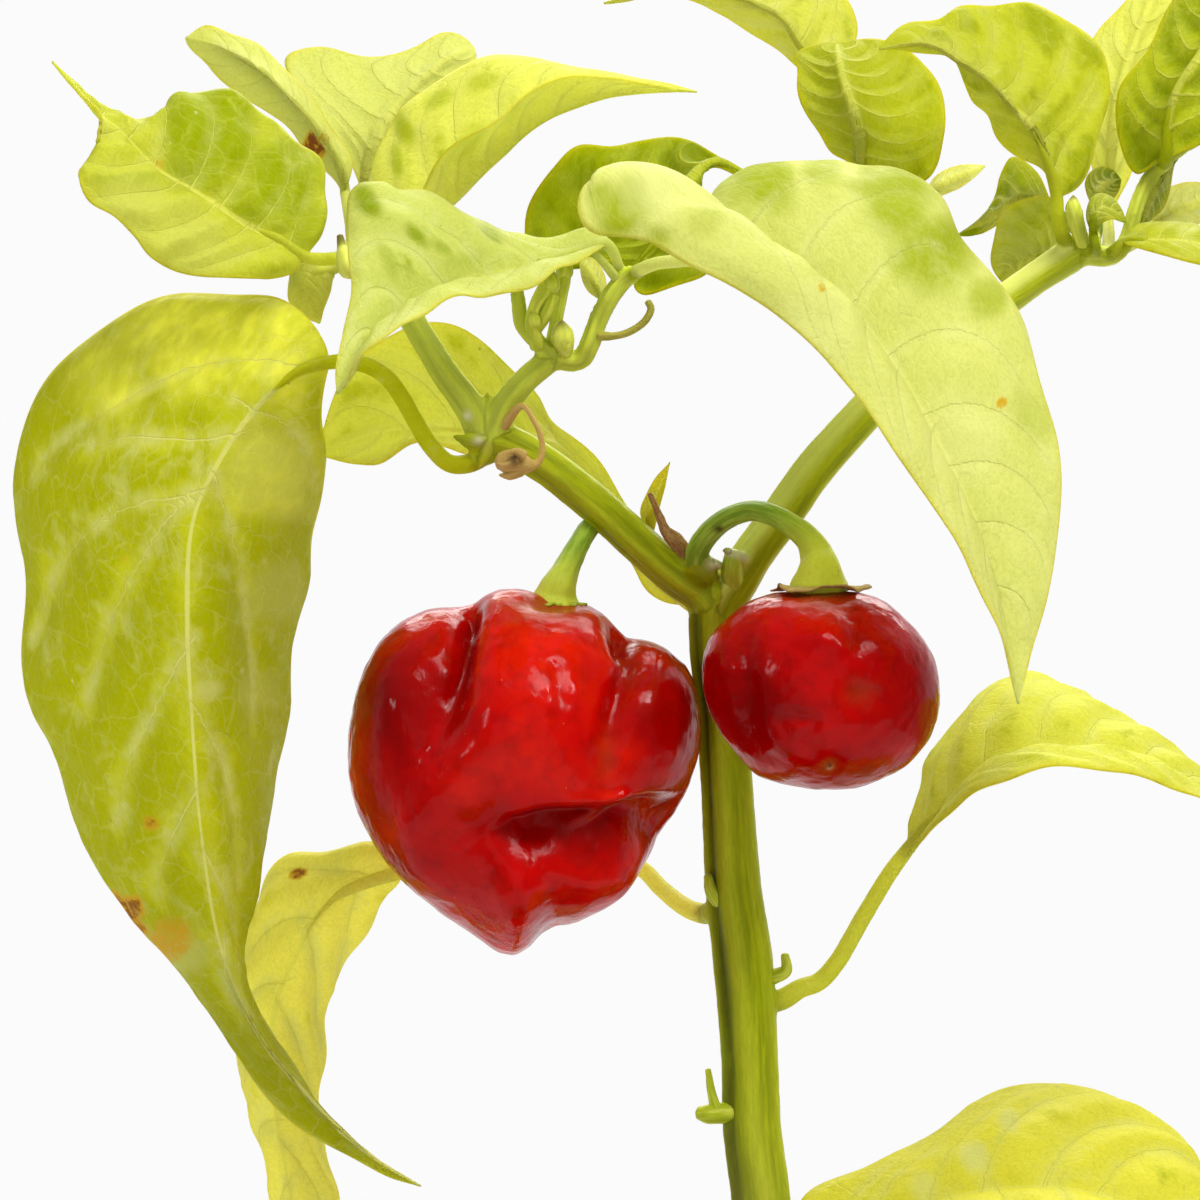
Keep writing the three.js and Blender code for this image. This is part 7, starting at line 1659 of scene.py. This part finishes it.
# Stalks of the pods: a bent stalk that flares into the calyx.
geo = Geo()
pts = [list(q) for q in STALK_LARGE]
v, f, a = tube(pts[:-1] + [[556, 596, -7, 5.2], [555, 603, -7, 6.4], [555, 606, -7, 6.9]], sides=36, step=0.35, ribs=0.05, ribcount=6, rough=0.06, seed=5)
geo.add(v, f, co=a["co"], tint=smooth(a["along"], 0.7, 1.0) * 0.8, burn=0.0)
rng = np.random.RandomState(4)
c0 = at((555, 605.5, -7))
for i in range(14):  # the frayed rim of the calyx lies on the shoulder of the pod
    th = i / 14 * 2 * math.pi + rng.uniform(-0.1, 0.1)
    r0, r1 = 2.9, 3.5 + 0.9 * rng.rand()
    d = np.array([math.cos(th), math.sin(th), 0])
    a0 = c0 + d * r0 + np.array([0, 0, 0.25])
    a1 = c0 + d * r1 + np.array([0, 0, -0.15 + 0.3 * rng.rand()])
    w = np.cross(d, [0, 0, 1]) * 0.75
    t = np.array([0, 0, 0.16])
    vv = np.array([a0 - w + t, a0 + w + t, a1 + w * 0.3 + t, a1 - w * 0.3 + t, a0 - w - t, a0 + w - t, a1 + w * 0.3 - t, a1 - w * 0.3 - t])
    geo.add(vv, [(0, 1, 2, 3), (7, 6, 5, 4), (0, 4, 5, 1), (1, 5, 6, 2), (2, 6, 7, 3), (3, 7, 4, 0)], co=vv, tint=0.5, burn=0.1)
piece("large_pod_stalk", new_object("large_pod_stalk", geo, STALK_MATERIAL), ["large_pod_stalk"])

geo = Geo()
pts = [list(q) for q in STALK_SMALL]
pts[-3:] = [[820, 572, -16, 5.6], [820, 581, -16, 6.8], [820, 586, -16, 7.2]]
v, f, a = tube(pts, sides=40, step=0.35, ribs=0.045, ribcount=5, rough=0.06, seed=6)
uv = view_uv(v)
burn = 0.95 * bell(np.hypot(uv[:, 0] - 719, (uv[:, 1] - 529) * 1.3), 5.0) * (v[:, 1] < -7.5)
geo.add(v, f, co=a["co"], tint=smooth(a["along"], 0.55, 0.95), burn=burn)
# the calyx: a thin dry disc with a torn edge, resting on the shoulder of the pod
c0 = at((820, 587.2, -16))
na, nr = 96, 9
ang = np.linspace(0, 2 * np.pi, na, endpoint=False)
ring = np.stack([np.cos(ang), np.sin(ang)], -1)
edge = 5.7 + 0.55 * np.sin(5 * ang + 0.8) + 0.35 * fbm(np.column_stack([ring * 3.0, ang * 0]), 31, 3) + 0.25 * fbm(np.column_stack([ring * 9.0, ang * 0]), 33, 2)
rows = []
for side in (1, -1):
    for i in range(nr) if side > 0 else range(nr - 1, -1, -1):
        t = i / (nr - 1)
        r = 1.2 + (edge - 1.2) * t
        z = 0.15 - 0.25 * t + 0.5 * t**3 * np.sin(4 * ang + 0.5) * 0.8 + 0.25 * fbm(np.column_stack([ring * r[:, None] * 0.8, ang * 0]), 35, 2) * t
        rows.append(np.column_stack([c0[0] + r * ring[:, 0], c0[1] + r * ring[:, 1], c0[2] + z + side * (0.13 - 0.05 * t)]))
v = np.vstack(rows)
f = grid_faces(len(rows), na, wrap=True)
last = (len(rows) - 1) * na
for j in range(na):
    k = (j + 1) % na
    f.append((last + j, last + k, k, j))
tt = np.concatenate([np.repeat(np.linspace(0, 1, nr), na), np.repeat(np.linspace(1, 0, nr), na)])
geo.add(v, f, co=v - c0, tint=(1 - tt) * 0.9, burn=0.0, straw=0.85 - 0.5 * smooth(tt, 0.8, 1.0), dry=1.0)
obj = new_object("small_pod_stalk", geo, STALK_MATERIAL, (DRY_MATERIAL,))
layer = geo.values()["dry"]
ids = np.empty(len(obj.data.polygons), np.int32)
for i, poly in enumerate(obj.data.polygons):
    ids[i] = 1 if layer[poly.vertices[0]] > 0.5 else 0
obj.data.polygons.foreach_set("material_index", ids)
piece("small_pod_stalk", obj, ["small_pod_stalk"])


# Small growths.
def bead(u, v, d, length, width, lean=(0.0, 0.0, 1.0), seed=1, sides=18):
    """A pointed bud of the given length and width (mm) on a place of the front view."""
    c = at((u, v, d))
    w = unit(np.array(lean, float))
    x = unit(np.cross(w, [0.3, 1.0, 0.1]))
    y = np.cross(w, x)
    t = np.linspace(0, 1, 15)
    r = width / 2 * np.sin(np.pi * t**0.8) ** 0.75 * (1 - 0.25 * t)
    ang = np.linspace(0, 2 * np.pi, sides, endpoint=False)
    rows = []
    for ti, ri in zip(t[1:-1], r[1:-1]):
        rr = ri * (1 + 0.07 * np.cos(5 * ang))
        rows.append(c + w * length * (ti - 0.5) + rr[:, None] * (np.cos(ang)[:, None] * x + np.sin(ang)[:, None] * y))
    v_ = np.vstack(rows + [c - w * length / 2, c + w * length / 2])
    n = len(rows)
    f_ = grid_faces(n, sides, wrap=True)
    for j in range(sides):
        k = (j + 1) % sides
        f_ += [(n * sides, k, j), (n * sides + 1, (n - 1) * sides + j, (n - 1) * sides + k)]
    along = np.concatenate([np.repeat(t[1:-1], sides), [0, 1]])
    return v_, f_, {"co": (v_ - c) + seed * 9.0, "along": along}


def small_piece(name, tubes, material, beads=(), tint=0.2, burn_end=0.0, rough=0.05, sides=16, straw=0.0, throat=None, white_end=0.0):
    g = Geo()
    for i, pts_ in enumerate(tubes):
        v_, f_, a_ = tube(pts_, sides=sides, step=0.25, ribs=0.06, ribcount=4, rough=rough, seed=i + len(name))
        burn_ = burn_end * smooth(a_["along"], 0.75, 1.0)
        if throat:
            q_ = view_uv(v_)
            burn_ = np.maximum(burn_, 0.9 * bell(np.hypot(q_[:, 0] - throat[0], q_[:, 1] - throat[1]), throat[2]) * (v_[:, 1] < throat[3]))
        g.add(v_, f_, co=a_["co"], tint=tint, straw=straw, white=white_end * smooth(a_["along"], 0.8, 0.97), burn=burn_)
    for u, v__, d, length, width, lean, burn_ in beads:
        v_, f_, a_ = bead(u, v__, d, length, width, lean, seed=int(u))
        g.add(v_, f_, co=a_["co"], tint=tint, burn=burn_ * smooth(a_["along"], 0.55, 1.0))
    return piece(name, new_object(name, g, material), [name])


small_piece("dried_flower", SMALL["dried_flower"] + [
    [(516, 461, -7.6, 1.3), (506, 465, -8.2, 0.7), (497, 464, -8.4, 0.3)], [(519, 470, -6, 1.8), (509, 476, -6.6, 1.1), (500, 475, -6.8, 0.3)],
    [(522, 456, -7.4, 1.5), (514, 451, -8.2, 0.8), (507, 454, -8.4, 0.3)]], DRY_MATERIAL, tint=0.0, rough=0.12, straw=0.75, throat=(514, 460, 6.0, -6.2))
small_piece("dry_scar_fork", SMALL["dry_scar_fork"], DRY_MATERIAL, tint=0.0, rough=0.12)
small_piece("flower_bud_stalk", SMALL["flower_bud_stalk"], BUD_MATERIAL, [(565, 268, -3, 3.4, 2.4, (0.1, 0, 1), 0.3)])
small_piece("flower_buds", SMALL["flower_buds"], BUD_MATERIAL, [(551, 282, -6, 3.4, 2.6, (0.1, 0, 1), 0.4), (534, 318, -6, 2.6, 1.9, (-0.3, -0.2, 1), 0.5)])
small_piece("flower_bud_axil", SMALL["flower_bud_axil"], BUD_MATERIAL, [(562, 334, -5.4, 3.6, 3.0, (0.0, -0.2, 1), 0.7)], tint=0.4)
small_piece("hooked_flower_stalk", SMALL["hooked_flower_stalk"], DRY_MATERIAL, tint=0.6)
small_piece("flower_bud_upper", SMALL["flower_bud_upper"], BUD_MATERIAL, [(1073.5, 206, -1, 2.8, 2.2, (0, 0, 1), 0.8)])
small_piece("bud_shoot_tip", SMALL["bud_shoot_tip"], BUD_MATERIAL, burn_end=0.8, tint=0.5)
small_piece("stub_fork", SMALL["stub_fork"], BUD_MATERIAL, tint=0.1, white_end=0.8)
small_piece("axil_bud_left", SMALL["axil_bud_left"], BUD_MATERIAL, tint=0.0)
small_piece("axil_bud_right", SMALL["axil_bud_right"], BUD_MATERIAL, tint=0.0)
small_piece("stub_lower_left", SMALL["stub_lower_left"], BUD_MATERIAL, tint=0.0)

# ---- floor, light and camera ----
floor_mesh = bpy.data.meshes.new("floor")
ang = np.linspace(0, 2 * np.pi, 96, endpoint=False)
floor_mesh.from_pydata([(0.62 * math.cos(a), 0.62 * math.sin(a), 0.0) for a in ang], [], [tuple(range(96))])
floor = bpy.data.objects.new("floor", floor_mesh)
bpy.context.scene.collection.objects.link(floor)
fm = Nodes("floor_pale")
fco = fm.new("TexCoord").outputs["Object"]
floor_mesh.materials.append(fm.done(fm.principled(fm.mix(fm.noise(fco, 6.0, 2.0), lin(218, 218, 219), lin(224, 224, 225)), 0.75)))

world = bpy.data.worlds.new("studio")
bpy.context.scene.world = world
world.use_nodes = True
wt = world.node_tree
wt.nodes.clear()
out = wt.nodes.new("ShaderNodeOutputWorld")
bg = wt.nodes.new("ShaderNodeBackground")
tc = wt.nodes.new("ShaderNodeTexCoord")
sep = wt.nodes.new("ShaderNodeSeparateXYZ")
wt.links.new(tc.outputs["Generated"], sep.inputs[0])


def rise(axis, low, high, dark, bright):
    n = wt.nodes.new("ShaderNodeMapRange")
    n.interpolation_type = "SMOOTHSTEP"
    for key, value in (("From Min", low), ("From Max", high), ("To Min", dark), ("To Max", bright)):
        n.inputs[key].default_value = value
    wt.links.new(sep.outputs[axis], n.inputs["Value"])
    return n.outputs["Result"]


# a white sweep behind the plant, a soft glow overhead, and a dim room in front
both_glows = wt.nodes.new("ShaderNodeMath")
both_glows.operation = "MAXIMUM"
wt.links.new(rise("Y", -0.10, 0.50, 0.26, 0.965), both_glows.inputs[0])
wt.links.new(rise("Z", 0.25, 0.85, 0.26, 0.60), both_glows.inputs[1])
tint = wt.nodes.new("ShaderNodeCombineColor")
for channel in ("Red", "Green", "Blue"):
    wt.links.new(both_glows.outputs[0], tint.inputs[channel])
wt.links.new(tint.outputs[0], bg.inputs["Color"])
bg.inputs["Strength"].default_value = 1.0
wt.links.new(bg.outputs[0], out.inputs["Surface"])


def area(name, place, target, size, power, color=(1, 1, 1)):
    light = bpy.data.lights.new(name, "AREA")
    light.shape = "RECTANGLE"
    light.size, light.size_y = size
    light.energy = power
    light.color = color
    obj_ = bpy.data.objects.new(name, light)
    bpy.context.scene.collection.objects.link(obj_)
    from mathutils import Vector
    obj_.location = place
    obj_.rotation_euler = (Vector(target) - Vector(place)).to_track_quat("-Z", "Y").to_euler()
    return obj_


CENTRE = (-0.02, 0.0, 0.28)
area("key", (0.20, -0.34, 0.98), CENTRE, (0.42, 0.42), 6.6, (1.0, 0.99, 0.97))
area("front", (-0.05, -1.05, 0.18), CENTRE, (1.10, 1.10), 2.0)
area("spark", (0.46, -0.42, 0.86), CENTRE, (0.12, 0.12), 1.8, (1.0, 0.99, 0.97))
area("side", (-0.75, -0.50, 0.62), CENTRE, (0.14, 0.14), 0.9)
area("back", (0.1, 0.7, 0.95), CENTRE, (0.9, 0.6), 9.0, (1.0, 0.99, 0.95))

cam = bpy.data.cameras.new("camera")
cam.sensor_width = 36.0
cam.lens = 120.0
cam.clip_start = 0.02
cam_obj = bpy.data.objects.new("camera", cam)
bpy.context.scene.collection.objects.link(cam_obj)
cam_obj.location = (VIEW_X * 0.001, -VIEW_MM * 0.001, VIEW_Z * 0.001)
cam_obj.rotation_euler = (math.radians(90), 0, 0)
bpy.context.scene.camera = cam_obj
bpy.context.scene.view_settings.view_transform = "Standard"
